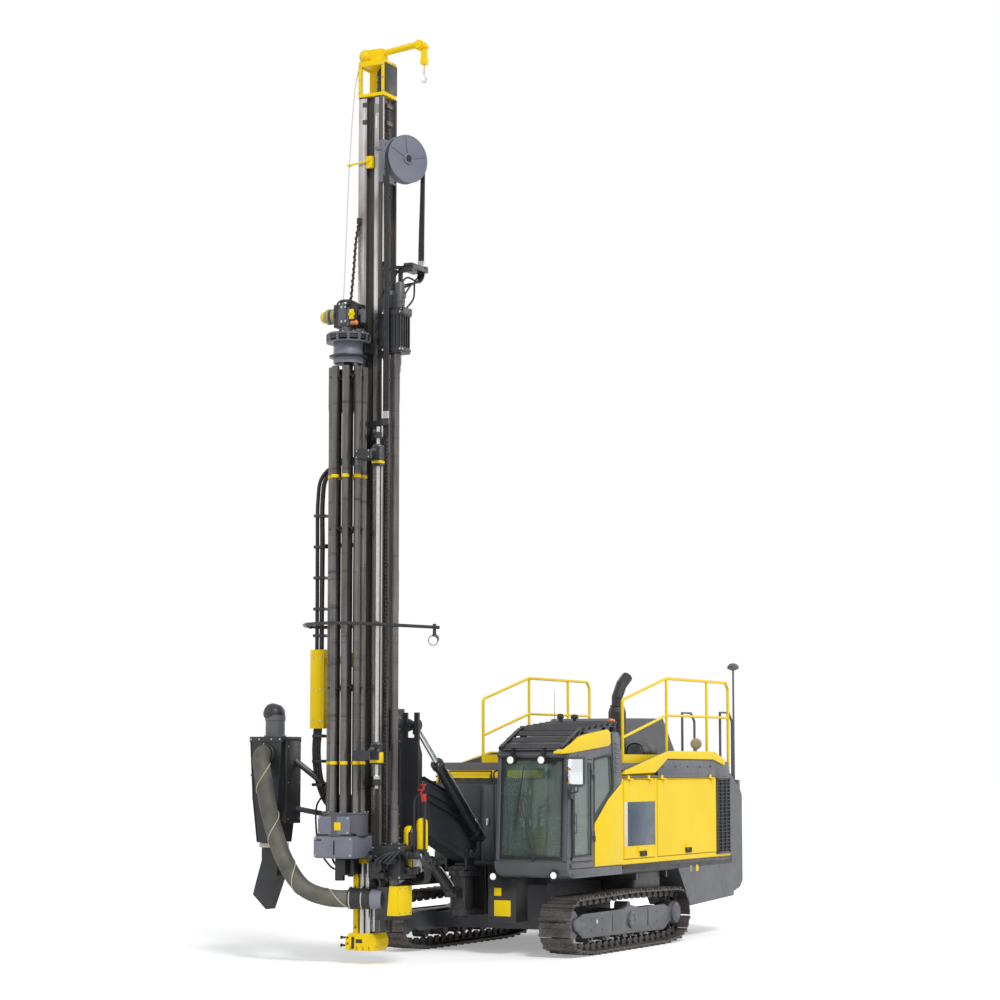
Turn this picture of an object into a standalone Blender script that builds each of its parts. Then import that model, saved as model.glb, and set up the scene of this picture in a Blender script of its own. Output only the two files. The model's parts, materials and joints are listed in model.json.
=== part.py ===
# Crawler drilling rig: tracks, cab, canopy, boom and a drilling feed with its rod carousel.
# Metres, +Z up. The rig's front is -Y and its left side +X. Outlines are drawn in the rig's own
# frame, whose middle is halfway between the tracks, and the whole rig is then centred.

from math import atan2, ceil, cos, hypot, pi, radians, sin, sqrt

import bmesh
import bpy
from mathutils import Vector

# Clearances
GAP = 0.0003        # pieces that touch
RUN = 0.006         # pieces that move past each other
PLAY = 0.012        # pieces that pass with room

# Middle of the whole rig's box, in the rig's own frame
BOX_MIDDLE = (-0.11, -0.09)

# Tracks: the pitch line is the joint between the shoes and the links
GAUGE = 2.15
SHOE_WIDTH = 0.40
SHOE_COUNT = 44
SHOE_PLATE = 0.022
LUG_HEIGHT = 0.028
LINK_DEPTH = 0.085
LINK_WIDTH = 0.045
LINK_OFFSET = 0.06
PITCH_Z = SHOE_PLATE + LUG_HEIGHT
WHEEL_BASE = 2.92
END_RADIUS = 0.27
END_Z = 0.36
ROLLER_BASE = 2.13
ROLLER_BEND = 0.10
CARRIER_Y = 0.12
CARRIER_Z = 0.556
FRAME_HALF = 0.10
ROLLER_RADIUS = 0.062
ROLLER_HALF = 0.085

# Main frame
FRAME_Z = (0.78, 1.00)
PLATFORM_Z = 0.90
PLATFORM_HALF = 1.22
TAIL_Y = 3.30
REAR_Y = 3.67

# Cab
CAB_X = (0.35, 1.25)
CAB_FRONT = -1.78
CAB_BACK = -0.30
CAB_TOP = 2.56
CAB_WALL = 0.05
DOOR_Y = (-1.66, -1.10)
DOOR_Z = (1.08, 2.24)
DOOR_THICK = 0.05
PANE = 0.012

# Canopy behind the cab
CANOPY_Y = (-0.26, 3.16)
CANOPY_HALF = 1.25
CANOPY_TOP = 2.11
CANOPY_WALL = 0.05
BEVEL = 0.10
HATCH_Z = (1.06, 2.00)
HATCHES = ((-0.22, 0.72), (0.78, 2.68))    # low y, high y
REAR_HALF = PLATFORM_HALF

# Boom: pivots as (y, z), all in one plane
BOOM_X = -0.36
SWING_Y = -1.28
POST_Z = (0.50, 0.88)
POST_RADIUS = 0.13
PIN_RADIUS = 0.07
EAR = 0.07
LIFT_PIVOT = (-1.34, 1.14)
DUMP_PIVOT = (-2.70, 1.60)
BOOM_HALF = 0.11
LIFT_BASE = (-1.50, 0.69)
LIFT_EYE = (-2.28, 1.24)
DUMP_X = -0.16
DUMP_EYE_HALF = 0.04
DUMP_BASE = (-1.20, 1.33)
DUMP_EYE = (-2.78, 2.62)
BARREL_RADIUS = 0.062
ROD_RADIUS = 0.034

# Feed
MAST = (-0.44, -3.20)          # middle of the beam, x and y
MAST_Z = (0.34, 9.74)
BEAM_HALF = 0.13
FLANGE = 0.025
FRONT_RAIL = 0.16              # half widths of the beam's rails
BACK_RAIL = 0.17
TILT_Z = 2.00
DRILL = (-0.07, -3.40)         # drill axis, x and y
CAROUSEL = (-0.56, -3.62)      # carousel axis, x and y
CAROUSEL_RADIUS = 0.235
ROD_CIRCLE = 0.175
ROD_COUNT = 8
PIPE_RADIUS = 0.0445
RODS_Z = (1.46, 6.59)
GRIPPER = (-0.17, -3.62)       # gripper shaft, x and y
JIB = (-0.44, -3.20)
JIB_Z = MAST_Z[1] + 0.42
SHEAVE = (-0.02, -3.30, 8.97)
SHEAVE_RADIUS = 0.276
SHEAVE_TURN = radians(-23)     # its axle, turned from the rig's left
HEAD_Z = (6.74, 7.20)
HOOD_Z = (0.52, 0.86)

# Colours as red, green, blue, roughness, metallic
LOOKS = {
    "yellow": (0.86, 0.60, 0.02, 0.40, 0.0),
    "graphite": (0.12, 0.13, 0.15, 0.50, 0.0),
    "dark": (0.045, 0.047, 0.052, 0.55, 0.0),
    "steel": (0.36, 0.34, 0.33, 0.42, 0.8),
    "shoe": (0.20, 0.18, 0.17, 0.60, 0.7),
    "chrome": (0.75, 0.75, 0.76, 0.15, 1.0),
    "rubber": (0.05, 0.05, 0.05, 0.80, 0.0),
    "glass": (0.25, 0.40, 0.33, 0.08, 0.0),
    "hose": (0.27, 0.27, 0.24, 0.70, 0.0),
    "fabric": (0.05, 0.05, 0.06, 0.90, 0.0),
    "sheave": (0.42, 0.42, 0.46, 0.50, 0.0),
}

PLACE = {
    "x": lambda a, b, h: (h, a, b),
    "y": lambda a, b, h: (a, h, b),
    "z": lambda a, b, h: (a, b, h),
}


# Solids: each helper returns a closed mesh in the rig's frame

def finish_mesh(bm, name):
    bmesh.ops.recalc_face_normals(bm, faces=bm.faces)
    mesh = bpy.data.meshes.new(name)
    bm.to_mesh(mesh)
    bm.free()
    mesh.shade_smooth()
    mesh.set_sharp_from_angle(angle=radians(35))
    return mesh


def prism(axis, outline, low, high):
    bm = bmesh.new()
    place = PLACE[axis]
    ends = [[bm.verts.new(place(a, b, h)) for a, b in outline] for h in (low, high)]
    bm.faces.new(ends[0])
    bm.faces.new(ends[1])
    count = len(outline)
    for i in range(count):
        j = (i + 1) % count
        bm.faces.new((ends[0][i], ends[0][j], ends[1][j], ends[1][i]))
    return finish_mesh(bm, "prism")


def block(x, y, z):
    outline = ((x[0], y[0]), (x[1], y[0]), (x[1], y[1]), (x[0], y[1]))
    return prism("z", outline, z[0], z[1])


def circle(centre, radius, sides, start=0.0):
    turn = 2 * pi / sides
    return [
        (centre[0] + radius * cos(start + turn * i), centre[1] + radius * sin(start + turn * i))
        for i in range(sides)
    ]


def disc(axis, centre, radius, low, high, sides=20):
    return prism(axis, circle(centre, radius, sides), low, high)


def sweep(points, radius, sides=10):
    # a round bar through the points, with mitred bends
    bm = bmesh.new()
    path = [Vector(p) for p in points]
    side = None
    rings = []
    for i, point in enumerate(path):
        before = (point - path[i - 1]).normalized() if i else None
        after = (path[i + 1] - point).normalized() if i < len(path) - 1 else None
        along = ((before or after) + (after or before)).normalized()
        if side is None:
            side = along.orthogonal().normalized()
        side = (side - along * side.dot(along)).normalized()
        across = along.cross(side)
        rings.append([
            bm.verts.new(point + radius * (cos(t) * side + sin(t) * across))
            for t in (2 * pi * k / sides for k in range(sides))
        ])
    for low, high in zip(rings, rings[1:]):
        for k in range(sides):
            j = (k + 1) % sides
            bm.faces.new((low[k], low[j], high[j], high[k]))
    bm.faces.new(rings[0])
    bm.faces.new(rings[-1])
    return finish_mesh(bm, "sweep")


def bar(start, end, radius, sides=12):
    return sweep((start, end), radius, sides)


def turned(base, along, profile, sides=24):
    # rows of (radius, distance along the axis) turned about the axis; the first and last rows close it
    bm = bmesh.new()
    along = Vector(along).normalized()
    side = along.orthogonal().normalized()
    across = along.cross(side)
    rings = [
        [
            bm.verts.new(Vector(base) + along * h + r * (cos(t) * side + sin(t) * across))
            for t in (2 * pi * k / sides for k in range(sides))
        ]
        for r, h in profile
    ]
    for low, high in zip(rings, rings[1:]):
        for k in range(sides):
            j = (k + 1) % sides
            bm.faces.new((low[k], low[j], high[j], high[k]))
    bm.faces.new(rings[0])
    bm.faces.new(rings[-1])
    return finish_mesh(bm, "turned")


def eye_outline(centre, radius, far, half, sides=10):
    # a strap: a round nose about the centre, running back to a straight end at far
    heading = atan2(far[1] - centre[1], far[0] - centre[0])
    nose = [
        (centre[0] + radius * cos(heading + pi / 2 + pi * k / sides),
         centre[1] + radius * sin(heading + pi / 2 + pi * k / sides))
        for k in range(sides + 1)
    ]
    tail = [
        (far[0] + half * cos(heading + s * pi / 2), far[1] + half * sin(heading + s * pi / 2))
        for s in (-1, 1)
    ]
    return nose + tail


# Objects: a base solid with its other solids joined to it and its cuts taken away

def holder(name, at, parent):
    empty = bpy.data.objects.new(name, None)
    bpy.context.scene.collection.objects.link(empty)
    empty["at"] = tuple(at)
    empty.parent = parent
    start = Vector(parent["at"]) if parent else Vector((0, 0, 0))
    empty.location = Vector(at) - start
    empty.empty_display_size = 0.2
    return empty


def look(name):
    found = bpy.data.materials.get(name)
    if found:
        return found
    red, green, blue, roughness, metallic = LOOKS[name]
    made = bpy.data.materials.new(name)
    made.use_nodes = True
    shader = made.node_tree.nodes["Principled BSDF"]
    shader.inputs["Base Color"].default_value = (red, green, blue, 1)
    shader.inputs["Roughness"].default_value = roughness
    shader.inputs["Metallic"].default_value = metallic
    return made


def put(name, mesh, finish, on):
    mesh.name = name
    mesh.materials.append(look(finish))
    for vertex in mesh.vertices:
        vertex.co -= Vector(on["at"])
    made = bpy.data.objects.new(name, mesh)
    made.parent = on
    return made


def operands(name, meshes, finish, on):
    group = bpy.data.collections.new(name)
    bpy.context.scene.collection.children.link(group)
    for mesh in meshes:
        made = put(name + "_tool", mesh, finish, on)
        made.hide_render = True
        made.display_type = "WIRE"
        group.objects.link(made)
    return group


def assemble(name, finish, on, solids, cuts=()):
    made = put(name, solids[0], finish, on)
    bpy.context.scene.collection.objects.link(made)
    for step, meshes in (("UNION", solids[1:]), ("DIFFERENCE", cuts)):
        if meshes:
            boolean = made.modifiers.new(step.capitalize(), "BOOLEAN")
            boolean.operation = step
            boolean.solver = "EXACT"
            boolean.operand_type = "COLLECTION"
            boolean.collection = operands(f"{name}_{step.lower()}", list(meshes), finish, on)
    return made


# Tracks

def belt_points(rolls, steps=16):
    # outline of a belt round the rolls (y, z, radius), listed anticlockwise seen from +X
    points = []
    count = len(rolls)
    normals = []
    for i in range(count):
        y1, z1, r1 = rolls[i]
        y2, z2, r2 = rolls[(i + 1) % count]
        reach = hypot(y2 - y1, z2 - z1)
        dy, dz = (y2 - y1) / reach, (z2 - z1) / reach
        lean = (r1 - r2) / reach
        out = sqrt(1 - lean * lean)
        normals.append((lean * dy + out * dz, lean * dz - out * dy))
    for i in range(count):
        y, z, r = rolls[i]
        start = atan2(normals[i - 1][1], normals[i - 1][0])
        end = atan2(normals[i][1], normals[i][0])
        while end < start:
            end += 2 * pi
        for k in range(steps + 1):
            t = start + (end - start) * k / steps
            points.append((y + r * cos(t), z + r * sin(t)))
    return points


def even_points(outline, count):
    # points spaced evenly along a closed outline
    lengths = [
        hypot(b[0] - a[0], b[1] - a[1]) for a, b in zip(outline, outline[1:] + outline[:1])
    ]
    step = sum(lengths) / count
    found = []
    walked = 0.0
    for i, length in enumerate(lengths):
        while len(found) < count and len(found) * step <= walked + length:
            share = (len(found) * step - walked) / length if length else 0.0
            a, b = outline[i], outline[(i + 1) % len(outline)]
            found.append((a[0] + (b[0] - a[0]) * share, a[1] + (b[1] - a[1]) * share))
        walked += length
    return found


TRACK_ROLLS = (
    (-ROLLER_BASE / 2, PITCH_Z + ROLLER_BEND, ROLLER_BEND),
    (ROLLER_BASE / 2, PITCH_Z + ROLLER_BEND, ROLLER_BEND),
    (WHEEL_BASE / 2, END_Z, END_RADIUS),
    (CARRIER_Y, CARRIER_Z, ROLLER_BEND),
    (-WHEEL_BASE / 2, END_Z, END_RADIUS),
)


def joint_frames():
    # each shoe joint with the outward direction there, and each shoe's own direction along and out
    joints = even_points(belt_points(TRACK_ROLLS), SHOE_COUNT)
    frames = []
    for i, (y, z) in enumerate(joints):
        y2, z2 = joints[(i + 1) % SHOE_COUNT]
        length = hypot(y2 - y, z2 - z)
        frames.append((y, z, (y2 - y) / length, (z2 - z) / length, length))
    rows = []
    for i, (y, z, dy, dz, length) in enumerate(frames):
        before = frames[i - 1]
        out_y, out_z = dz + before[3], -(dy + before[2])
        size = hypot(out_y, out_z)
        rows.append((y, z, out_y / size, out_z / size, dy, dz, length))
    return rows


def band(outer_rows, inner, low, high):
    # a closed ring with one row of outer points for each inner point
    bm = bmesh.new()
    ends = []
    for x in (low, high):
        inside = [bm.verts.new((x, y, z)) for y, z in inner]
        outside = [[bm.verts.new((x, y, z)) for y, z in row] for row in outer_rows]
        ends.append((inside, outside))
    count = len(inner)
    for i in range(count):
        j = (i + 1) % count
        for inside, outside in ends:
            bm.faces.new([inside[j], inside[i]] + outside[i] + [outside[j][0]])
        (in_a, out_a), (in_b, out_b) = ends
        bm.faces.new((in_a[i], in_a[j], in_b[j], in_b[i]))
        chain_a = out_a[i] + [out_a[j][0]]
        chain_b = out_b[i] + [out_b[j][0]]
        for k in range(len(chain_a) - 1):
            bm.faces.new((chain_a[k], chain_b[k], chain_b[k + 1], chain_a[k + 1]))
    return finish_mesh(bm, "band")


# one shoe's outline: share of its length, height above the pitch line
SHOE_PROFILE = (
    (0.05, SHOE_PLATE),
    (0.66, SHOE_PLATE),
    (0.70, SHOE_PLATE + LUG_HEIGHT),
    (0.90, SHOE_PLATE + LUG_HEIGHT),
)
SHOE_NOTCH = 0.008


def track(name, middle, on):
    rows = joint_frames()
    shoes = []
    for y, z, out_y, out_z, dy, dz, length in rows:
        row = [(y + out_y * SHOE_NOTCH, z + out_z * SHOE_NOTCH)]
        for share, height in SHOE_PROFILE:
            row.append((y + dy * length * share + dz * height, z + dz * length * share - dy * height))
        shoes.append(row)
    pitch = [(r[0], r[1]) for r in rows]
    outer = [[(r[0] + r[2] * SHOE_NOTCH / 2, r[1] + r[3] * SHOE_NOTCH / 2)] for r in rows]
    inner = [(r[0] - r[2] * LINK_DEPTH, r[1] - r[3] * LINK_DEPTH) for r in rows]
    solids = [band(shoes, pitch, middle - SHOE_WIDTH / 2, middle + SHOE_WIDTH / 2)]
    for side in (-1, 1):
        x = middle + side * LINK_OFFSET
        solids.append(band(outer, inner, x - LINK_WIDTH / 2, x + LINK_WIDTH / 2))
    return assemble(name, "shoe", on, solids)


SPROCKET_TEETH = 11


def sprocket_outline(y, z, root, tip):
    points = []
    for k in range(SPROCKET_TEETH):
        for share, radius in ((0.0, root), (0.32, root), (0.44, tip), (0.56, tip), (0.68, root)):
            t = 2 * pi * (k + share) / SPROCKET_TEETH
            if share:
                points.append((y + radius * cos(t), z + radius * sin(t)))
    return points


def running_gear(middle):
    # one side's frame, rollers, idler, sprocket and final drive
    outer = 1 if middle > 0 else -1
    half_turn = WHEEL_BASE / SHOE_COUNT / END_RADIUS * 1.25
    wheel = END_RADIUS * cos(half_turn) - LINK_DEPTH - RUN / 2
    front, back = -WHEEL_BASE / 2, WHEEL_BASE / 2
    low, high = middle - FRAME_HALF, middle + FRAME_HALF
    floor_z = PITCH_Z + LINK_DEPTH + GAP
    beam = (
        (front, END_Z - 0.06), (front + 0.32, 0.22), (back - 0.32, 0.22), (back, END_Z - 0.06),
        (back, END_Z + 0.06), (back - 0.36, 0.46), (front + 0.36, 0.46), (front, END_Z + 0.06),
    )
    solids = [prism("x", beam, low, high)]
    for k in range(5):
        y = (ROLLER_BASE - 0.20) * (k / 4 - 0.5)
        centre = (y, floor_z + ROLLER_RADIUS)
        solids.append(disc("x", centre, ROLLER_RADIUS, middle - ROLLER_HALF, middle + ROLLER_HALF, 12))
    solids.append(disc("x", (front, END_Z), wheel, middle - 0.09, middle + 0.09, 18))
    teeth = sprocket_outline(back, END_Z, wheel - 0.02, wheel + 0.045)
    solids.append(prism("x", teeth, middle - 0.025, middle + 0.025))
    solids.append(disc("x", (back, END_Z), wheel * 0.72, middle - 0.13, middle + 0.13, 14))
    carrier = (CARRIER_Y, CARRIER_Z + ROLLER_BEND - LINK_DEPTH - ROLLER_RADIUS - RUN)
    solids.append(disc("x", carrier, ROLLER_RADIUS - RUN, middle - ROLLER_HALF, middle + ROLLER_HALF, 10))
    solids.append(block((middle - 0.03, middle + 0.03), (CARRIER_Y - 0.04, CARRIER_Y + 0.04), (0.44, carrier[1])))
    face = middle + outer * FRAME_HALF
    solids.append(disc("x", (CARRIER_Y, 0.34), 0.10, min(face, face + outer * 0.03) - 0.01,
                       max(face, face + outer * 0.03) + 0.01, 20))
    return solids


def undercarriage(on):
    solids = [block((-0.52, 0.52), (-0.80, 1.00), (0.36, FRAME_Z[0] - GAP))]
    for y in (-0.62, 0.62):
        solids.append(block((-GAUGE / 2, GAUGE / 2), (y - 0.14, y + 0.14), (0.25, 0.43)))
    for middle in (-GAUGE / 2, GAUGE / 2):
        solids += running_gear(middle)
    return assemble("undercarriage", "graphite", on, solids)


def track_cover():
    outline = ((-1.90, 0.80), (-1.86, 0.77), (-0.77, 0.77), (-0.77, 0.995), (-1.55, 0.90))
    low, high = -GAUGE / 2 - SHOE_WIDTH / 2, -GAUGE / 2 + SHOE_WIDTH / 2 + 0.03
    return [prism("x", outline, low, high)]


# Main frame, with the yoke that carries the boom

def main_frame(on):
    low = FRAME_Z[0]
    top = FRAME_Z[1] - GAP
    yoke_x = (BOOM_X - 0.20, BOOM_X + 0.20)
    solids = [
        block((-0.62, 0.62), (-0.98, TAIL_Y), (low, top)),
        block((0.28, CAB_X[1] - 0.03), (CAB_FRONT + 0.20, CAB_BACK), (PLATFORM_Z, top)),
        block((-PLATFORM_HALF, PLATFORM_HALF), (CANOPY_Y[0], TAIL_Y), (PLATFORM_Z, top)),
        block((-1.05, 0.30), (-0.78, CANOPY_Y[0] + 0.01), (PLATFORM_Z, top)),
        block(yoke_x, (-1.04, -0.90), (POST_Z[0] - EAR, top)),
    ]
    for z in (POST_Z[0] - EAR, POST_Z[1]):
        ear = eye_outline((BOOM_X, SWING_Y), 0.15, (BOOM_X, -0.98), 0.19)
        solids.append(prism("z", ear, z, z + EAR))
    hole = disc("z", (BOOM_X, SWING_Y), PIN_RADIUS + RUN, POST_Z[0] - 0.3, POST_Z[1] + 0.2)
    return assemble("main_frame", "dark", on, solids + track_cover(), [hole])


def front_box(on):
    top = 1.98
    body = ((-0.76, FRAME_Z[1]), (-0.76, top - 0.10), (-0.68, top), (CANOPY_Y[0] - 0.01, top),
            (CANOPY_Y[0] - 0.01, FRAME_Z[1]))
    solids = [prism("x", body, -1.00, 0.30)]
    solids.append(block((-0.95, 0.25), (-0.70, CANOPY_Y[0] - 0.03), (top - 0.02, top + 0.04)))
    return assemble("front_box", "graphite", on, solids)


# Cab

CAB_OUTLINE = (
    (CAB_FRONT, 1.08), (CAB_FRONT + 0.06, FRAME_Z[1]), (CAB_BACK, FRAME_Z[1]), (CAB_BACK, CAB_TOP - 0.06),
    (CAB_BACK - 0.06, CAB_TOP), (CAB_BACK - 0.40, CAB_TOP), (CAB_FRONT + 0.48, CAB_TOP - 0.08),
    (CAB_FRONT + 0.12, CAB_TOP - 0.22), (CAB_FRONT + 0.06, CAB_TOP - 0.28),
)
SCREEN_Z = (1.13, CAB_TOP - 0.33)
# the window behind the door: its lower edge rises towards the back
REAR_WINDOW = (
    (DOOR_Y[1] + 0.06, 1.52), (CAB_BACK - 0.22, 1.87), (CAB_BACK - 0.26, DOOR_Z[1] + 0.05),
    (DOOR_Y[1] + 0.06, DOOR_Z[1]),
)


def inset(outline, wall):
    # a convex outline, listed anticlockwise, with every side moved in by the wall
    found = []
    count = len(outline)
    for i in range(count):
        lines = []
        for a, b in ((outline[i - 1], outline[i]), (outline[i], outline[(i + 1) % count])):
            dy, dz = b[0] - a[0], b[1] - a[1]
            size = hypot(dy, dz)
            normal = (-dz / size, dy / size)
            lines.append((normal, normal[0] * a[0] + normal[1] * a[1] + wall))
        (n1, d1), (n2, d2) = lines
        det = n1[0] * n2[1] - n1[1] * n2[0]
        found.append(((d1 * n2[1] - d2 * n1[1]) / det, (n1[0] * d2 - n2[0] * d1) / det))
    return found


def cab_shell(on):
    left, right = CAB_X[1], CAB_X[0]
    solids = [prism("x", CAB_OUTLINE, right, left)] + mirror() + door_knuckles(False)
    inside = prism("x", inset(CAB_OUTLINE, CAB_WALL), right + CAB_WALL, left - CAB_WALL)
    front = block((right + 0.07, left - 0.07), (CAB_FRONT - 0.1, CAB_FRONT + 0.3), SCREEN_Z)
    door = block((left - 0.2, left + 0.1), DOOR_Y, DOOR_Z)
    rear_side = prism("x", REAR_WINDOW, left - 0.2, left + 0.1)
    far_side = block((right - 0.1, right + 0.2), (CAB_FRONT + 0.20, CAB_BACK - 0.22), (1.30, DOOR_Z[1]))
    return assemble("cab_shell", "graphite", on, solids, [inside, front, door, rear_side, far_side])


def pane(name, on, x, y, z):
    return assemble(name, "glass", on, [block(x, y, z)])


def cab_glass(on):
    left, right = CAB_X[1], CAB_X[0]
    slope = 0.06 / (CAB_TOP - 0.28 - 1.08)
    edge = 0.07 + GAP
    low, high = SCREEN_Z[0] + GAP, SCREEN_Z[1] - GAP
    y = CAB_FRONT + 0.015 - slope * 1.08
    outline = (
        (y + slope * low, low), (y + slope * low + PANE, low),
        (y + slope * high + PANE, high), (y + slope * high, high),
    )
    assemble("windscreen", "glass", on, [prism("x", outline, right + edge, left - edge)])
    window = prism("x", inset(REAR_WINDOW, GAP), left - 0.03, left - 0.03 + PANE)
    assemble("rear_side_pane", "glass", on, [window])
    far_y = (CAB_FRONT + 0.20 + GAP, CAB_BACK - 0.22 - GAP)
    pane("right_side_pane", on, (right + 0.02, right + 0.02 + PANE), far_y, (1.30 + GAP, DOOR_Z[1] - GAP))


DOOR_HINGE = (CAB_X[1] + 0.026, DOOR_Y[1])
KNUCKLE = 0.014
KNUCKLE_LONG = 0.06


def door_knuckles(on_door):
    # half of each hinge: the lower knuckle is the pillar's, the upper one the door's
    x, y = DOOR_HINGE
    solids = []
    for z in (1.30, 2.00):
        low = z + (KNUCKLE_LONG + GAP if on_door else 0)
        leaf = (y - 0.05, y - 0.001) if on_door else (y, y + 0.05)
        solids.append(disc("z", DOOR_HINGE, KNUCKLE, low, low + KNUCKLE_LONG, 8))
        solids.append(block((CAB_X[1] - 0.01, x), leaf, (low, low + KNUCKLE_LONG)))
    return solids


def cab_door(on):
    left = CAB_X[1]
    y = (DOOR_Y[0] + RUN, DOOR_Y[1] - RUN)
    z = (DOOR_Z[0] + RUN, DOOR_Z[1] - RUN)
    x = (left - DOOR_THICK + 0.012, left + 0.012)
    frame = block(x, y, z)
    window = block((x[0] - 0.1, x[1] + 0.1), (y[0] + 0.05, y[1] - 0.05), (z[0] + 0.06, z[1] - 0.05))
    grip_y = y[0] + 0.026
    handle = sweep(((x[1] - 0.02, grip_y, 1.40), (x[1] + 0.04, grip_y, 1.41),
                    (x[1] + 0.04, grip_y, 1.62), (x[1] - 0.02, grip_y, 1.63)), 0.010, 8)
    assemble("cab_door", "graphite", on, [frame, handle] + door_knuckles(True), [window])
    pane("door_pane", on, (x[0] + 0.02, x[0] + 0.02 + PANE), (y[0] + 0.05 + GAP, y[1] - 0.05 - GAP),
         (z[0] + 0.06 + GAP, z[1] - 0.05 - GAP))


def seat(on):
    middle = (CAB_X[0] + CAB_X[1]) / 2
    base = FRAME_Z[1] + CAB_WALL + GAP
    outline = (
        (-1.02, base), (-0.72, base), (-0.72, 1.42), (-0.50, 1.42), (-0.38, 2.10), (-0.46, 2.14),
        (-0.62, 1.56), (-1.10, 1.56), (-1.12, 1.44), (-1.02, 1.42),
    )
    return assemble("seat", "fabric", on, [prism("x", outline, middle - 0.25, middle + 0.25)])


def guard_height(y):
    # top of the guard's side rails, which follow the roof
    knots = ((CAB_FRONT - 0.01, 2.38), (CAB_FRONT + 0.48, 2.60), (CAB_BACK - 0.30, 2.665), (CAB_BACK, 2.665))
    for (y1, z1), (y2, z2) in zip(knots, knots[1:]):
        if y <= y2:
            return z1 + (z2 - z1) * (y - y1) / (y2 - y1)
    return knots[-1][1]


def roof_guard(on):
    # side rails with slats across them, on four feet, and the lamp under the front slat
    rail = 0.045
    ends = (CAB_FRONT, CAB_FRONT + 0.48, CAB_BACK - 0.30, CAB_BACK - 0.06)
    upper = [(y, guard_height(y)) for y in ends]
    lower = [(y, z - rail) for y, z in reversed(upper)]
    slope = 0.08 / (CAB_BACK - 0.40 - CAB_FRONT - 0.48)
    solids = []
    for x in (CAB_X[0] + 0.04, CAB_X[1] - 0.04 - rail):
        solids.append(prism("x", upper + lower, x, x + rail))
        solids.append(block((x, x + rail), (-0.64, -0.52), (CAB_TOP + GAP, 2.64)))
        foot = [(y, CAB_TOP - 0.08 + slope * (y - CAB_FRONT - 0.48) + 2 * GAP) for y in (-1.24, -1.14)]
        solids.append(prism("x", foot + [(-1.14, 2.60), (-1.24, 2.59)], x, x + rail))
    slats = 9
    for k in range(slats):
        y = CAB_FRONT + 0.02 + k * (CAB_BACK - 0.14 - CAB_FRONT) / (slats - 1)
        z = guard_height(y) - 0.03
        tilt = ((y, z), (y + 0.016, z - 0.006), (y + 0.085, z + 0.045), (y + 0.075, z + 0.055))
        solids.append(prism("x", tilt, CAB_X[0] + 0.02, CAB_X[1] - 0.02))
    for x in (0.58, 0.97):
        solids.append(block((x - 0.012, x + 0.012), (CAB_FRONT - 0.03, CAB_FRONT + 0.03), (2.24, 2.37)))
        solids.append(turned((x, CAB_FRONT, 2.23), (0, -1, 0), ((0.050, 0.0), (0.050, 0.07)), 12))
    return assemble("roof_guard", "dark", on, solids)


def mirror():
    x = CAB_X[1]
    y = CAB_FRONT + 0.065
    return [
        block((x - 0.02, x + 0.03), (y, y + 0.05), (1.80, 1.90)),
        sweep(((x + 0.015, y + 0.018, 1.85), (x + 0.15, y - 0.08, 1.88), (x + 0.20, y - 0.18, 1.95),
               (x + 0.20, y - 0.18, 2.30)), 0.012, 8),
        block((x + 0.11, x + 0.29), (y - 0.19, y - 0.15), (1.97, 2.26)),
    ]


# Canopy

def canopy_outline(half, top, bevel, floor_z):
    return (
        (-half, floor_z), (half, floor_z), (half, top - bevel), (half - bevel, top),
        (-half + bevel, top), (-half, top - bevel),
    )


def canopy_shell(on):
    base = FRAME_Z[1]
    wall = CANOPY_WALL
    outer = prism("y", canopy_outline(CANOPY_HALF, CANOPY_TOP, BEVEL, base), CANOPY_Y[0], CANOPY_Y[1])
    inner = prism("y", canopy_outline(CANOPY_HALF - wall, CANOPY_TOP - wall, BEVEL, base - 0.1),
                  CANOPY_Y[0] + wall, CANOPY_Y[1] - wall)
    cuts = [inner]
    for low, high in HATCHES:
        cuts.append(block((-CANOPY_HALF - 0.1, CANOPY_HALF + 0.1), (low, high), HATCH_Z))
    for side in (-1, 1):
        for k in range(6):
            z = 1.12 + k * 0.145
            x = side * (CANOPY_HALF - 0.02)
            outline = ((x, z), (x + side * 0.05, z), (x + side * 0.05, z + 0.08), (x, z + 0.06))
            cuts.append(prism("y", outline, HATCHES[1][1] + 0.07, CANOPY_Y[1] - 0.07))
    hinges = []
    for side in (-1, 1):
        for span in HATCHES:
            hinges += hatch_knuckles(side, span, False)
    return assemble("canopy_shell", "yellow", on, [outer] + hinges, cuts)


HATCH_HINGE = (CANOPY_HALF + 0.02, HATCH_Z[1])


def hatch_knuckles(side, span, on_hatch):
    # half of each top hinge of one hatch
    x, z = HATCH_HINGE
    solids = []
    for y in (span[0] + 0.10, span[1] - 0.24):
        low = y + (KNUCKLE_LONG + GAP if on_hatch else 0)
        leaf = (z - 0.05, z - 0.001) if on_hatch else (z, z + 0.05)
        wide = sorted((side * (CANOPY_HALF - 0.01), side * x))
        solids.append(disc("y", (side * x, z), KNUCKLE, low, low + KNUCKLE_LONG, 8))
        solids.append(block(wide, (low, low + KNUCKLE_LONG), leaf))
    return solids


def hatch(name, side, span, on):
    # a top-hinged door as thick as the canopy's wall
    face = CANOPY_HALF + 0.006
    low, high = span[0] + RUN, span[1] - RUN
    x = sorted((side * (face - CANOPY_WALL), side * face))
    body = block(x, (low, high), (HATCH_Z[0] + RUN, HATCH_Z[1] - RUN))
    grip_y = (low + high) / 2
    out = sorted((side * (face - 0.01), side * (face + 0.018)))
    grip = block(out, (grip_y - 0.07, grip_y + 0.07), (HATCH_Z[0] + 0.09, HATCH_Z[0] + 0.14))
    return assemble(name, "yellow", on, [body, grip] + hatch_knuckles(side, span, True))


def engine(on):
    solids = [block((-0.55, 0.55), (0.95, 2.60), (FRAME_Z[1], 1.85))]
    solids.append(disc("y", (0.0, 1.45), 0.38, 0.25, 1.0, 14))
    return assemble("engine", "dark", on, solids)


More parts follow.
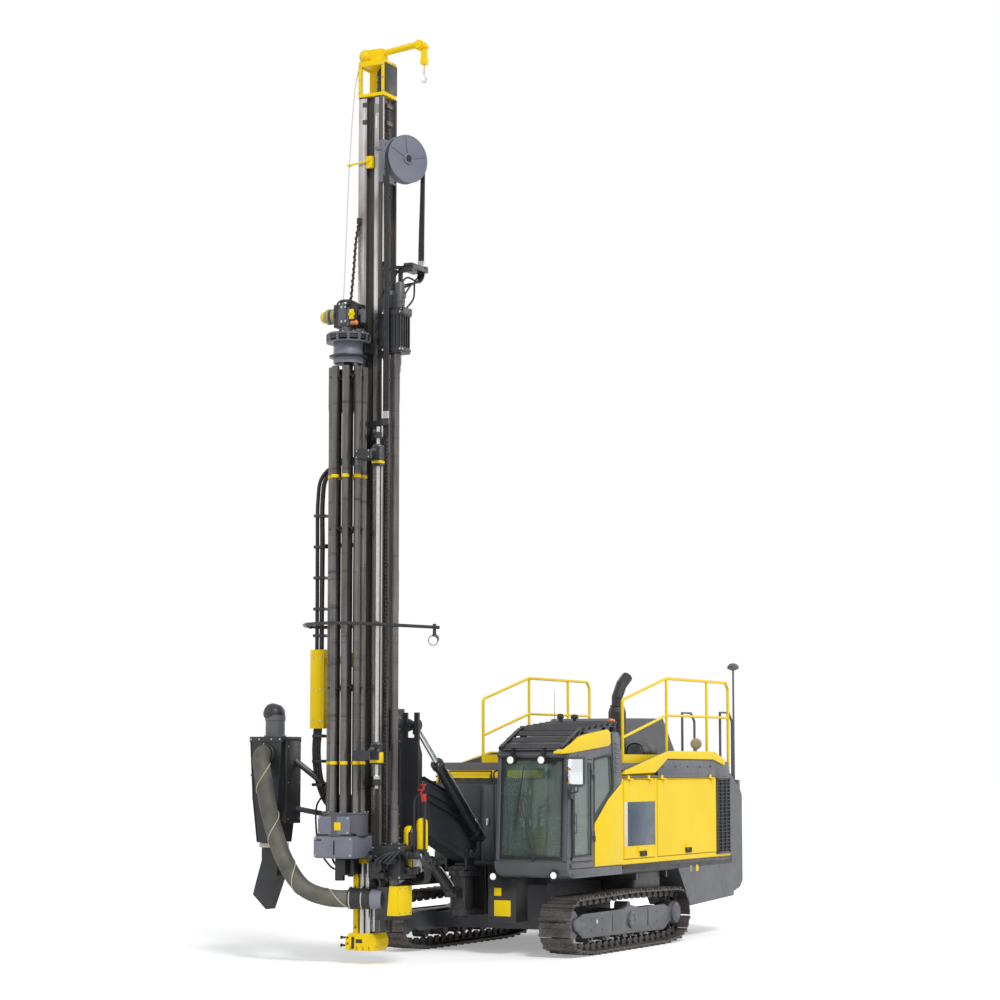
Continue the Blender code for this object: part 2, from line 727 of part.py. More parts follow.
# the sloped top of the rear housing as (y, z)
HOUSING_TOP = ((TAIL_Y - 0.04, 2.07), (TAIL_Y + 0.31, 1.85))


def housing_height(y):
    (y1, z1), (y2, z2) = HOUSING_TOP
    return z1 + (z2 - z1) * (y - y1) / (y2 - y1)


def rear_housing(on):
    skirt = (
        (CANOPY_Y[1] + GAP, FRAME_Z[1]), (CANOPY_Y[1] + GAP, HOUSING_TOP[0][1]), *HOUSING_TOP,
        (REAR_Y, HOUSING_TOP[1][1] - 0.07), (REAR_Y, 0.66), (REAR_Y - 0.10, 0.58), (TAIL_Y + GAP, 0.52), (TAIL_Y + GAP, FRAME_Z[1]),
    )
    panels, cuts = side_skirts()
    solids = [prism("x", skirt, -REAR_HALF, REAR_HALF)] + panels + rear_ladder() + aerial()
    return assemble("rear_housing", "graphite", on, solids, cuts)


def side_skirts():
    # hollow lower panels under the canopy, either side of the main frame
    floor_z = PLATFORM_Z - GAP
    outline = ((1.50, floor_z), (1.89, 0.42), (TAIL_Y + 0.05, 0.48), (TAIL_Y + 0.05, floor_z))
    room = ((1.56, floor_z + 0.1), (1.95, 0.475), (TAIL_Y - 0.05, 0.535), (TAIL_Y - 0.05, floor_z + 0.1))
    bodies = []
    rooms = []
    for side in (-1, 1):
        x = sorted((side * 0.66, side * REAR_HALF))
        bodies.append(prism("x", outline, x[0], x[1]))
        x = sorted((side * 0.55, side * (REAR_HALF - 0.05)))
        rooms.append(prism("x", room, x[0], x[1]))
    return bodies, rooms


DECK_TOP = 2.20


def deck(on):
    low = CANOPY_TOP + GAP
    side = CANOPY_HALF - 0.03
    solids = [block((-side, side), (CANOPY_Y[0] + 0.02, CANOPY_Y[1] - 0.02), (low, DECK_TOP))]
    hood = ((0.95, DECK_TOP - 0.02), (0.95, 2.36), (1.55, 2.76), (2.45, 2.77), (2.84, 2.34), (2.84, DECK_TOP - 0.02))
    solids.append(prism("x", hood, -0.55, 0.62))
    # upstands that rise along both edges
    edge = ((CANOPY_Y[0] + 0.04, low + 0.01), (3.02, low + 0.01), (3.02, 2.25), (2.66, 2.33), (1.19, 2.33))
    for x in (-side, side - 0.02):
        solids.append(prism("x", edge, x, x + 0.02))
    return assemble("deck", "graphite", on, solids + air_filter())


def handrail(name, x, posts, top, on):
    # posts are their y: the last one stands on the rear housing
    base = DECK_TOP + GAP
    first, last = posts[0], posts[-1]
    run = (
        (first, base), (first, top - 0.32), (first + 0.03, top - 0.29), (posts[1], top),
        (last - 0.08, top), (last, top - 0.08), (last, 2.0),
    )
    solids = [sweep([(x, y, z) for y, z in run], 0.02, 6)]
    for y in posts[1:-1]:
        solids.append(bar((x, y, base), (x, y, top), 0.019, 6))
    middle = top - 0.46
    solids.append(sweep(((x, first, middle - 0.29), (x, posts[1], middle), (x, last, middle)), 0.017, 6))
    solids.append(block((x - 0.012, x + 0.012), (first - 0.015, 3.10), (base, base + 0.10)))
    foot = [(y, housing_height(y) + 2 * GAP) for y in (last - 0.04, last + 0.04)]
    solids.append(prism("x", foot + [(last + 0.04, 2.02), (last - 0.04, 2.02)], x - 0.03, x + 0.03))
    return assemble(name, "yellow", on, solids)


def exhaust(on):
    base = DECK_TOP + GAP
    x, y = 0.76, 0.70
    can = ((0.13, 0.0), (0.13, 0.05), (0.11, 0.06), (0.11, 0.62), (0.09, 0.68), (0.07, 0.69))
    pipe = (
        (x, y, base + 0.66), (x, y, base + 0.80), (x + 0.02, y + 0.09, base + 0.96),
        (x + 0.05, y + 0.20, base + 1.06),
    )
    solids = [turned((x, y, base), (0, 0, 1), can, 14), sweep(pipe, 0.07, 10)]
    return assemble("exhaust", "dark", on, solids)


def air_filter():
    x, z = 0.86, DECK_TOP + 0.125
    drum = ((0.10, 0.0), (0.12, 0.02), (0.12, 0.36), (0.08, 0.42))
    return [
        turned((x, 1.00, z), (0, 1, 0), drum, 14),
        block((x - 0.08, x + 0.08), (1.06, 1.32), (DECK_TOP - 0.01, z)),
    ]


def aerial():
    x, y = 1.14, 3.60
    base = housing_height(y)
    return [
        block((x - 0.06, x + 0.06), (y - 0.03, y + 0.05), (base - 0.10, base + 0.12)),
        bar((x, y, base + 0.10), (x, y, 3.44), 0.014, 8),
        turned((x, y, 3.42), (0, 0, 1), ((0.03, 0.0), (0.075, 0.02), (0.08, 0.05), (0.05, 0.085), (0.02, 0.095)), 12),
    ]


LADDER_X = (0.50, 1.04)


def rear_ladder():
    y = REAR_Y + 0.12
    solids = []
    for x in LADDER_X:
        route = (
            (x, REAR_Y - 0.01, 0.90), (x, y, 0.90), (x, y, 2.75), (x, y - 0.12, 2.86),
            (x, y - 0.42, 2.86), (x, y - 0.42, 1.96),
        )
        solids.append(sweep(route, 0.018, 6))
    for k in range(4):
        solids.append(bar((LADDER_X[0], y, 1.0 + 0.3 * k), (LADDER_X[1], y, 1.0 + 0.3 * k), 0.015, 6))
    return solids


# Boom

def pin(y, z, x0, x1, radius=0.045):
    return disc("x", (y, z), radius, x0, x1, 12)


def boom_post(on):
    low, high = POST_Z
    centre = (BOOM_X, SWING_Y)
    top = high + EAR
    solids = [
        disc("z", centre, POST_RADIUS, low + GAP, high - GAP, 18),
        disc("z", centre, PIN_RADIUS, low - EAR - 0.03, top + 0.04, 14),
        disc("z", centre, POST_RADIUS, top + RUN, top + 0.045, 18),
    ]
    cheeks = eye_outline(LIFT_PIVOT, 0.085, (LIFT_PIVOT[0] + 0.03, top + RUN + 0.02), 0.10)
    for x in (BOOM_X - BOOM_HALF - RUN - 0.03, BOOM_X + BOOM_HALF + RUN):
        solids.append(prism("x", cheeks, x, x + 0.03))
    half = BOOM_HALF + RUN + 0.03
    solids.append(block((BOOM_X - half, BOOM_X + half), (SWING_Y - 0.12, SWING_Y + 0.09), (top + RUN, top + 0.04)))
    lug = eye_outline(LIFT_BASE, 0.05, (SWING_Y, LIFT_BASE[1]), 0.07)
    for x in (BOOM_X - 0.075, BOOM_X + 0.045):
        solids.append(prism("x", lug, x, x + 0.03))
    solids.append(pin(LIFT_BASE[0], LIFT_BASE[1], BOOM_X - 0.06, BOOM_X + 0.06, 0.022))
    hole = pin(LIFT_PIVOT[0], LIFT_PIVOT[1], BOOM_X - 0.4, BOOM_X + 0.4, 0.045 + RUN)
    return assemble("boom_post", "dark", on, solids, [hole])


def boom_arm(on):
    y, z = DUMP_PIVOT
    outline = [
        (-1.26, 1.03), (-1.10, 1.20), (-1.12, 1.44), (-1.36, 1.72), (-2.36, 2.00), (-2.44, 1.97),
        (-2.60, 1.74),
    ] + [(y + 0.10 * cos(t), z + 0.10 * sin(t)) for t in (radians(a) for a in range(130, 300, 20))] + [
        (-2.20, 1.36),
    ]
    solids = [prism("x", outline, BOOM_X - BOOM_HALF, BOOM_X + BOOM_HALF)]
    half = BOOM_HALF + RUN + 0.03 + 0.02
    for pivot in (LIFT_PIVOT, DUMP_PIVOT):
        solids.append(pin(*pivot, BOOM_X - half, BOOM_X + half))
        solids.append(pin(*pivot, BOOM_X - BOOM_HALF - RUN + GAP, BOOM_X + BOOM_HALF + RUN - GAP, 0.07))
    lug = eye_outline(LIFT_EYE, 0.05, (LIFT_EYE[0] + 0.03, LIFT_EYE[1] + 0.20), 0.07)
    for x in (BOOM_X - 0.075, BOOM_X + 0.045):
        solids.append(prism("x", lug, x, x + 0.03))
    solids.append(pin(DUMP_BASE[0], DUMP_BASE[1], BOOM_X + BOOM_HALF - 0.02, DUMP_X + 0.07, 0.025))
    solids.append(pin(DUMP_BASE[0], DUMP_BASE[1], BOOM_X + BOOM_HALF - 0.02, DUMP_X - DUMP_EYE_HALF - GAP, 0.05))
    cuts = []
    recess = ((-1.42, 1.48), (-1.42, 1.62), (-2.30, 1.86), (-2.42, 1.70))
    for x in (BOOM_X - BOOM_HALF, BOOM_X + BOOM_HALF):
        cuts.append(prism("x", recess, x - 0.02, x + 0.02))
    return assemble("boom_arm", "graphite", on, solids, cuts)


def cylinder(name, x, base, eye, length, on_barrel, on_rod, eye_half=0.03, base_hole=0.0):
    # a barrel on the base pin and its rod; the rod's eye ends short of the pin it would ride on
    reach = hypot(eye[0] - base[0], eye[1] - base[1])

    def at(distance):
        share = distance / reach
        return x, base[0] + (eye[0] - base[0]) * share, base[1] + (eye[1] - base[1]) * share

    barrel = [
        bar(at(0.09), at(length), BARREL_RADIUS, 12),
        pin(base[0], base[1], x - eye_half, x + eye_half, 0.05),
        prism("x", eye_outline(base, 0.04, at(0.12)[1:], 0.04), x - eye_half, x + eye_half),
        bar(at(length - 0.06), at(length - 0.002), BARREL_RADIUS + 0.010, 12),
    ]
    bore = bar(at(0.14), at(length + 0.1), ROD_RADIUS + 2 * GAP, 12)
    hole = pin(base[0], base[1], x - 0.2, x + 0.2, base_hole + RUN)
    assemble(name + "_barrel", "dark", on_barrel, barrel, [bore, hole])
    rod = [
        bar(at(0.45 * length), at(reach - 0.03), ROD_RADIUS, 12),
        pin(eye[0], eye[1], x - eye_half, x + eye_half, 0.045),
    ]
    assemble(name + "_rod", "chrome", on_rod, rod)


PLATE_Y = (-2.88, -2.84)       # feed mount's plate
CRADLE_Y = (-2.98, PLATE_Y[0] - GAP)


def feed_mount(on):
    solids = [block((-0.66, -0.06), PLATE_Y, (1.30, 2.76))]
    rib = [
        (PLATE_Y[0] + 0.01, 1.32), (-2.72, 1.48), (-2.60, 1.54), (-2.58, 1.66), (-2.64, 2.10), (PLATE_Y[0] + 0.01, 2.50),
    ]
    for x in (BOOM_X - BOOM_HALF - RUN - 0.03, BOOM_X + BOOM_HALF + RUN):
        solids.append(prism("x", rib, x, x + 0.03))
    lug = eye_outline(DUMP_EYE, 0.06, (PLATE_Y[0] + 0.01, DUMP_EYE[1]), 0.08)
    for x in (DUMP_X - DUMP_EYE_HALF - GAP - 0.025, DUMP_X + DUMP_EYE_HALF + GAP):
        solids.append(prism("x", lug, x, x + 0.025))
    slot = DUMP_EYE_HALF + RUN
    holes = [
        block((DUMP_X - slot, DUMP_X + slot), (PLATE_Y[0] - 0.1, PLATE_Y[1] + 0.004), (2.48, 3.0)),
        pin(DUMP_PIVOT[0], DUMP_PIVOT[1], BOOM_X - 0.4, BOOM_X + 0.4, 0.045 + RUN),
        disc("y", (MAST[0], TILT_Z), 0.11 + RUN, PLATE_Y[0] - 0.1, PLATE_Y[1] + 0.1, 18),
    ]
    return assemble("feed_mount", "graphite", on, solids, holes)


RAIL_BACK_Y = (MAST[1] + BEAM_HALF, MAST[1] + BEAM_HALF + FLANGE)
RAIL_FRONT_Y = (MAST[1] - BEAM_HALF - FLANGE, MAST[1] - BEAM_HALF)
CLAW = 0.03


def feed_cradle(on):
    # two shoes that grip the beam's back rail, on a plate with the tilt boss
    low, high = 1.28, 2.80
    reach = BACK_RAIL + RUN
    solids = [
        block((MAST[0] - reach - CLAW, MAST[0] + reach + CLAW), CRADLE_Y, (low, high)),
        disc("y", (MAST[0], TILT_Z), 0.11, CRADLE_Y[0] + 0.02, PLATE_Y[1] + 0.03, 18),
    ]
    for z in (low, high - 0.45):
        for side in (-1, 1):
            x = sorted((MAST[0] + side * reach, MAST[0] + side * (reach + CLAW)))
            solids.append(block(x, (RAIL_BACK_Y[0] - GAP - CLAW, CRADLE_Y[0] + 0.02), (z, z + 0.45)))
            lip = sorted((MAST[0] + side * (reach + CLAW), MAST[0] + side * (BEAM_HALF + RUN)))
            solids.append(block(lip, (RAIL_BACK_Y[0] - GAP - CLAW, RAIL_BACK_Y[0] - GAP), (z, z + 0.45)))
    return assemble("feed_cradle", "graphite", on, solids)


# Feed beam and what is fixed to it

def beam_outline():
    x, y = MAST
    fl, bk = FRONT_RAIL, BACK_RAIL
    h = BEAM_HALF
    groove = 0.045
    return (
        (x - fl, y - h - FLANGE), (x - groove, y - h - FLANGE), (x - groove, y - h + 0.03), (x + groove, y - h + 0.03),
        (x + groove, y - h - FLANGE), (x + fl, y - h - FLANGE), (x + fl, y - h), (x + h, y - h),
        (x + h, y - 0.05), (x + h - 0.02, y - 0.04), (x + h - 0.02, y + 0.04), (x + h, y + 0.05),
        (x + h, y + h), (x + bk, y + h), (x + bk, y + h + FLANGE), (x - bk, y + h + FLANGE), (x - bk, y + h),
        (x - h, y + h), (x - h, y - h), (x - fl, y - h),
    )


def mast_beam(on):
    return assemble("mast_beam", "steel", on, [prism("z", beam_outline(), MAST_Z[0], MAST_Z[1])])


def mast_foot(on):
    x, y = MAST
    top = MAST_Z[0] - GAP
    low = 0.15
    start = x - 0.23
    teeth = [(start, low + 0.05)]
    count = 5
    width = 0.38 / count
    for k in range(count):
        left = start + k * width
        teeth += [
            (left + 0.01, low), (left + width - 0.025, low),
            (left + width - 0.01, low + 0.05), (left + width, low + 0.05),
        ]
    teeth += [(start + 0.38, top - 0.06), (x + 0.12, top), (x - 0.18, top), (start, top - 0.06)]
    solids = [prism("y", teeth, y - 0.22, y + 0.07)]
    front = RAIL_FRONT_Y[0] - GAP
    solids.append(block((x - 0.14, x - 0.08), (front - 0.05, front), (0.28, 1.12)))
    for dx in (-0.03, 0.04):
        solids.append(bar((x + dx, front - 0.035, 0.28), (x + dx, front - 0.035, 1.12), 0.028, 10))
    solids.append(block((x - 0.15, x + 0.11), (front - 0.06, front), (1.10, 1.15)))
    return assemble("mast_foot", "yellow", on, solids)


def top_frame(on):
    # the yellow window frame that carries the jib, and the black plate behind it
    x, y = MAST
    low = MAST_Z[1] + GAP
    high = JIB_Z - GAP
    plate = block((x - 0.17, x + 0.17), (y - 0.15, y + 0.14), (low, high))
    across = block((x - 0.13, x + 0.13), (y - 0.3, y + 0.105), (low + 0.04, high - 0.06))
    through = block((x - 0.3, x + 0.3), (y - 0.11, y + 0.105), (low + 0.05, high - 0.07))
    return assemble("top_frame", "yellow", on, [plate], [across, through])


def service_jib(on):
    x, y = JIB
    z = JIB_Z
    arm_end = (x + 0.60, y - 0.08, z + 0.13)
    solids = [
        disc("z", (x, y), 0.10, z, z + 0.05, 14),
        block((x - 0.12, x + 0.10), (y - 0.05, y + 0.05), (z + 0.04, z + 0.15)),
        bar((x - 0.02, y, z + 0.10), arm_end, 0.035, 10),
        turned((x - 0.14, y - 0.06, z + 0.09), (0, 1, 0), ((0.075, 0.0), (0.075, 0.02), (0.055, 0.03), (0.055, 0.04), (0.075, 0.05), (0.075, 0.12)), 12),
        turned((arm_end[0], arm_end[1] - 0.05, z + 0.11), (0, 1, 0), ((0.06, 0.0), (0.06, 0.10)), 12),
        block((arm_end[0] + 0.02, arm_end[0] + 0.08), (arm_end[1] - 0.025, arm_end[1] + 0.025), (z - 0.08, z + 0.12)),
    ]
    solids.append(bar((arm_end[0] + 0.05, arm_end[1], z - 0.19), (arm_end[0] + 0.05, arm_end[1], z - 0.05), 0.008, 8))
    return assemble("service_jib", "yellow", on, solids)


def slide_plate(low, high):
    # the part of a feed carriage that grips the beam's front rail on its left side
    x = MAST[0] + BACK_RAIL + RUN + 0.002
    front = RAIL_FRONT_Y[0] - GAP
    inside = RAIL_FRONT_Y[1] + GAP
    return [
        block((x, x + CLAW), (front - 0.05, RAIL_BACK_Y[0] - 0.05), (low, high)),
        block((MAST[0] + 0.12, x + 0.01), (front - CLAW, front), (low, high)),
        block((MAST[0] + BEAM_HALF + RUN, x + 0.01), (inside, inside + CLAW), (low, high)),
    ]


def sheave_axis():
    return Vector((cos(SHEAVE_TURN), sin(SHEAVE_TURN), 0))


def sheave_along():
    return Vector((-sin(SHEAVE_TURN), cos(SHEAVE_TURN), 0))


def sheave_carriage(on):
    centre = Vector(SHEAVE)
    axis = sheave_axis()
    z = SHEAVE[2]
    solids = slide_plate(z - 0.24, z + 0.24)
    solids.append(bar(centre - axis * 0.22, centre + axis * 0.075, 0.03, 12))
    solids.append(bar(centre - axis * 0.22, centre - axis * (0.055 + GAP), 0.05, 12))
    solids.append(block((-0.27, -0.17), (-3.34, -3.16), (z - 0.08, z + 0.08)))
    return assemble("sheave_carriage", "sheave", on, solids)


def hose_sheave(on):
    centre = Vector(SHEAVE)
    axis = sheave_axis()
    r = SHEAVE_RADIUS
    half = 0.055
    rim = (
        (r * 0.96, -half), (r, -half + 0.006), (r, -half + 0.012), (r - 0.035, -half + 0.024), (r - 0.035, half - 0.024),
        (r, half - 0.012), (r, half - 0.006), (r * 0.96, half),
    )
    bore = bar(centre - axis * 0.3, centre + axis * 0.3, 0.03 + RUN, 12)
    return assemble("hose_sheave", "sheave", on, [turned(centre, axis, rim, 24)], [bore])


HOSE_RADIUS = 0.016


def hose_bundle(name, routes, clamp, finish, on):
    solids = [sweep(route, HOSE_RADIUS, 6) for route in routes] + [clamp]
    return assemble(name, finish, on, solids)


def strand(offset, side, low):
    # one hose from the top of the sheave down to a height on one side of it
    centre = Vector(SHEAVE)
    along, axis = sheave_along(), sheave_axis()
    radius = SHEAVE_RADIUS - 0.035 + HOSE_RADIUS + 0.002
    points = []
    for k in range(7):
        t = pi / 2 * (1 - k / 6)
        points.append(centre + axis * offset + along * side * radius * cos(t) + Vector((0, 0, radius * sin(t))))
    foot = points[-1].copy()
    foot.z = low
    return [points[0] + along * 0.004 * side] + points[1:] + [foot]


def head_hoses(on):
    foot = Vector(SHEAVE) + sheave_along() * (SHEAVE_RADIUS - 0.015)
    clamp = block((foot.x - 0.05, foot.x + 0.05), (foot.y - 0.03, foot.y + 0.03), (7.80, 7.84))
    return hose_bundle("head_hoses", [strand(0.0175 * k, 1, 7.77) for k in (-1, 1)], clamp, "rubber", on)


def feed_hoses(on):
    foot = Vector(SHEAVE) - sheave_along() * (SHEAVE_RADIUS - 0.015)
    clamp = block((foot.x - 0.05, foot.x + 0.05), (foot.y - 0.03, foot.y + 0.03), (6.03, 6.07))
    return hose_bundle("feed_hoses", [strand(0.0175 * k, -1, 6.0) for k in (-1, 1)], clamp, "rubber", on)


def hose_anchor(on):
    foot = Vector(SHEAVE) - sheave_along() * (SHEAVE_RADIUS - 0.015)
    front = RAIL_FRONT_Y[0] - GAP
    # out from the rail between the carousel and the head's path, then across to the hoses
    route = (
        (MAST[0] + 0.04, front), (MAST[0] + 0.10, front), (MAST[0] + 0.12, -3.48), (foot.x + 0.03, foot.y - 0.02),
        (foot.x - 0.02, foot.y - 0.045), (MAST[0] + 0.08, -3.52),
    )
    solids = [
        prism("z", route, 5.92, 5.98),
        block((foot.x - 0.045, foot.x + 0.045), (foot.y - 0.02, foot.y + 0.02), (5.93, 6.0 - GAP)),
    ]
    return assemble("hose_anchor", "dark", on, solids)


def rotation_head(on):
    x, y = DRILL
    low, high = HEAD_Z
    foot = Vector(SHEAVE) + sheave_along() * (SHEAVE_RADIUS - 0.015)
    solids = slide_plate(low - 0.02, high + 0.20)
    solids += [
        block((x - 0.11, x + 0.11), (y - 0.10, y + 0.12), (low, high)),
        block((-0.27, x - 0.10), (y - 0.05, y + 0.20), (low + 0.05, high - 0.05)),
        disc("z", (x, y), 0.085, high - 0.01, high + 0.20, 12),
        disc("z", (x + 0.06, y - 0.02), 0.05, high - 0.01, high + 0.32, 10),
        block((x - 0.13, x + 0.14), (y - 0.09, y + 0.11), (high - 0.02, high + 0.05)),
        block((x + 0.01, x + 0.05), (y + 0.02, y + 0.06), (high, high + 0.52)),
        block((x + 0.01, foot.x + 0.05), (y + 0.02, foot.y + 0.02), (high + 0.50, high + 0.54)),
        block((foot.x - 0.05, foot.x + 0.05), (foot.y - 0.03, foot.y + 0.03), (high + 0.50, 7.77 - GAP)),
    ]
    return assemble("rotation_head", "graphite", on, solids)


def drill_string(on):
    x, y = DRILL
    top = HEAD_Z[0] - GAP
    profile = (
        (0.060, 0.0), (0.060, 0.12), (0.052, 0.15), (0.052, 0.20), (PIPE_RADIUS, 0.22), (PIPE_RADIUS, 5.00),
        (0.050, 5.03), (0.050, 5.25), (0.056, 5.30), (0.056, 5.90), (0.063, 5.94), (0.063, 6.06),
    )
    return assemble("drill_string", "steel", on, [turned((x, y, top), (0, 0, -1), profile, 14)])


# Carousel and grippers

def carousel_rotor(on):
    low, high = RODS_Z
    solids = [disc("z", CAROUSEL, 0.055, low - 0.05, high + 0.05, 12)]
    for z in (low + 0.10, high - 0.13):
        solids.append(disc("z", CAROUSEL, CAROUSEL_RADIUS - 0.02, z, z + 0.025, 18))
    for centre in circle(CAROUSEL, ROD_CIRCLE, ROD_COUNT, pi / ROD_COUNT):
        solids.append(disc("z", centre, PIPE_RADIUS, low, high, 8))
    return assemble("carousel_rotor", "steel", on, solids)


def carousel_top(on):
    x, y = CAROUSEL
    low = RODS_Z[1] + RUN
    front = RAIL_FRONT_Y[0] - GAP
    solids = [
        disc("z", CAROUSEL, 0.16, low + 0.03, low + 0.34, 14),
        disc("z", CAROUSEL, 0.215, low + 0.10, low + 0.125, 18),
        disc("z", CAROUSEL, 0.24, low + 0.30, low + 0.35, 18),
        disc("z", CAROUSEL, 0.09, low + 0.34, low + 0.52, 12),
        block((x - 0.14, x + 0.16), (y - 0.09, y + 0.10), (low + 0.44, low + 0.70)),
        turned((x - 0.12, y - 0.02, low + 0.58), (-1, 0, 0), ((0.085, 0.0), (0.085, 0.10), (0.06, 0.13), (0.06, 0.20)), 12),
        block((x + 0.05, x + 0.20), (y + 0.05, front), (low + 0.16, low + 0.28)),
    ]
    hub = disc("z", CAROUSEL, 0.055 + RUN, low - 0.1, low + 0.10, 12)
    return assemble("carousel_top", "graphite", on, solids, [hub])


def carousel_base(on):
    x, y = CAROUSEL
    high = RODS_Z[0] - RUN
    front = RAIL_FRONT_Y[0] - GAP
    r = CAROUSEL_RADIUS
    solids = [
        block((x - r, x + r - 0.02), (y - r, y + r - 0.03), (1.17, high - 0.02)),
        disc("z", CAROUSEL, r + 0.012, high - 0.05, high + 0.19, 18),
        block((x - 0.05, x + 0.19), (y + 0.10, front), (1.20, 1.36)),
    ]
    cup = disc("z", CAROUSEL, r - 0.008, high, high + 0.3, 18)
    hub = disc("z", CAROUSEL, 0.055 + RUN, RODS_Z[0] - 0.05 - GAP, high + 0.3, 12)
    return assemble("carousel_base", "graphite", on, solids, [cup, hub])


GRIPPER_LEVELS = (("lower_gripper", 2.18), ("upper_gripper", 5.46))
SHAFT_RADIUS = 0.022
SHAFT_ARMS = (1.96, 5.78)
JAW_RADIUS = 0.074


def shaft_arm(name, z, on):
    # holds the gripper shaft off the front of the beam
    front = RAIL_FRONT_Y[0] - GAP
    strap = eye_outline(GRIPPER, 0.045, (MAST[0] + 0.06, front - 0.015), 0.018)
    solids = [
        block((MAST[0] + 0.03, MAST[0] + 0.105), (front - 0.03, front), (z, z + 0.06)),
        prism("z", strap, z, z + 0.06),
    ]
    hole = disc("z", GRIPPER, SHAFT_RADIUS + RUN, z - 0.1, z + 0.2, 10)
    return assemble(name, "dark", on, solids, [hole])


def gripper_shaft(on):
    low = SHAFT_ARMS[0] + 0.06 + GAP
    collar = disc("z", GRIPPER, 0.04, low, low + 0.04, 10)
    return assemble("gripper_shaft", "dark", on, [disc("z", GRIPPER, SHAFT_RADIUS, 1.92, 5.90, 10), collar])


def gripper(name, z, on):
    gx, gy = GRIPPER
    jaw_x, jaw_y = gx, gy - hypot(DRILL[0] - gx, DRILL[1] - gy)
    solids = [
        block((gx - 0.05, gx + 0.05), (gy - 0.05, gy + 0.05), (z, z + 0.22)),
        block((gx - 0.035, gx + 0.035), (jaw_y + 0.10, gy), (z + 0.06, z + 0.14)),
        block((jaw_x - 0.10, jaw_x + 0.10), (jaw_y - 0.10, jaw_y + 0.125), (z + 0.05, z + 0.15)),
    ]
    # the slot opens the way the arm swings and widens towards the shaft, because the jaw moves on an arc
    half = JAW_RADIUS - 0.002
    slot = (
        (jaw_x, jaw_y - half), (jaw_x + 0.2, jaw_y - half), (jaw_x + 0.2, jaw_y + half + 0.085),
        (jaw_x + 0.10, jaw_y + half + 0.024), (jaw_x, jaw_y + half),
    )
    cuts = [
        disc("z", (jaw_x, jaw_y), JAW_RADIUS, z - 0.1, z + 0.3, 14),
        prism("z", slot, z - 0.1, z + 0.3),
        disc("z", GRIPPER, SHAFT_RADIUS + 2 * GAP, z - 0.1, z + 0.3, 10),
    ]
    return assemble(name, "dark", on, solids, cuts)


# Foot of the feed

def breakout_table(on):
    x, y = DRILL
    solids = [
        block((x - 0.17, x + 0.17), (y - 0.17, y + 0.17), (0.95, 1.30)),
        block((MAST[0] + BEAM_HALF + GAP, x - 0.10), (y + 0.075, y + 0.25), (0.98, 1.20)),
        turned((x + 0.16, y + 0.08, 1.12), (1, 0, 0), ((0.07, 0.0), (0.07, 0.16), (0.05, 0.18)), 10),
        turned((x - 0.04, y - 0.16, 1.08), (0, -1, 0), ((0.06, 0.0), (0.06, 0.14), (0.04, 0.16)), 10),
        turned((x + 0.14, y + 0.16, 1.28), (0, 0, 1), ((0.075, 0.0), (0.075, 0.16), (0.05, 0.21), (0.02, 0.23)), 12),
    ]
    hole = disc("z", DRILL, 0.095, 0.8, 1.5, 14)
    return assemble("breakout_table", "dark", on, solids, [hole])


COLLAR = (DRILL[0] - 0.08, DRILL[1] - 0.10, 0.72)
COLLAR_WAY = Vector((-1, -0.25, 0.02)).normalized()
COLLAR_LENGTH = 0.17


def dust_hood(on):
    x, y = DRILL
    low, high = HOOD_Z
    outline = ((x - 0.12, y - 0.16), (x + 0.14, y - 0.16), (x + 0.14, y + 0.14), (x - 0.12, y + 0.14))
    solids = [
        prism("z", outline, low, high),
        turned(COLLAR, COLLAR_WAY, ((0.10, 0.0), (0.10, 0.12), (0.11, 0.13), (0.11, COLLAR_LENGTH)), 12),
        block((MAST[0] + FRONT_RAIL + GAP, x - 0.10), (y + 0.04, y + 0.10), (0.60, 0.80)),
    ]
    inside = block((x - 0.09, x + 0.11), (y - 0.13, y + 0.11), (low - 0.1, high - 0.03))
    hole = block((x - 0.085, x + 0.085), (y - 0.085, y + 0.085), (high - 0.1, high + 0.1))
    return assemble("dust_hood", "yellow", on, solids, [inside, hole])


SEPARATOR = (-1.55, -3.50)


def dust_separator(on):
    x, y = SEPARATOR
    right = MAST[0] - BEAM_HALF - GAP
    taper = ((x - 0.21, 2.48), (x - 0.17, 1.80), (x - 0.11, 1.32), (x + 0.11, 1.32), (x + 0.17, 1.80), (x + 0.21, 2.48))
    solids = [
        prism("y", taper, y - 0.19, y + 0.19),
        disc("z", (x, y), 0.105, 2.45, 2.74, 12),
        turned((x - 0.02, y, 2.74), (0.35, 0, 1), ((0.10, -0.06), (0.12, 0.0), (0.11, 0.07), (0.05, 0.11)), 12),
        disc("z", (x, y), 0.14, 1.26, 1.33, 14),
        block((x + 0.15, x + 0.24), (y - 0.13, y + 0.13), (1.55, 2.42)),
        sweep(((x + 0.20, y + 0.05, 2.25), (x + 0.45, y + 0.12, 2.05), (-0.80, MAST[1] - 0.02, 1.75), (right - 0.02, MAST[1], 1.72)), 0.035, 10),
        sweep(((x + 0.20, y + 0.05, 1.70), (-0.95, MAST[1] - 0.10, 1.62), (right - 0.02, MAST[1], 1.60)), 0.03, 10),
        block((right - 0.03, right), (MAST[1] - 0.06, MAST[1] + 0.06), (1.50, 1.82)),
    ]
    boot, mouth = separator_boot()
    return assemble("dust_separator", "dark", on, solids + [boot], [mouth])


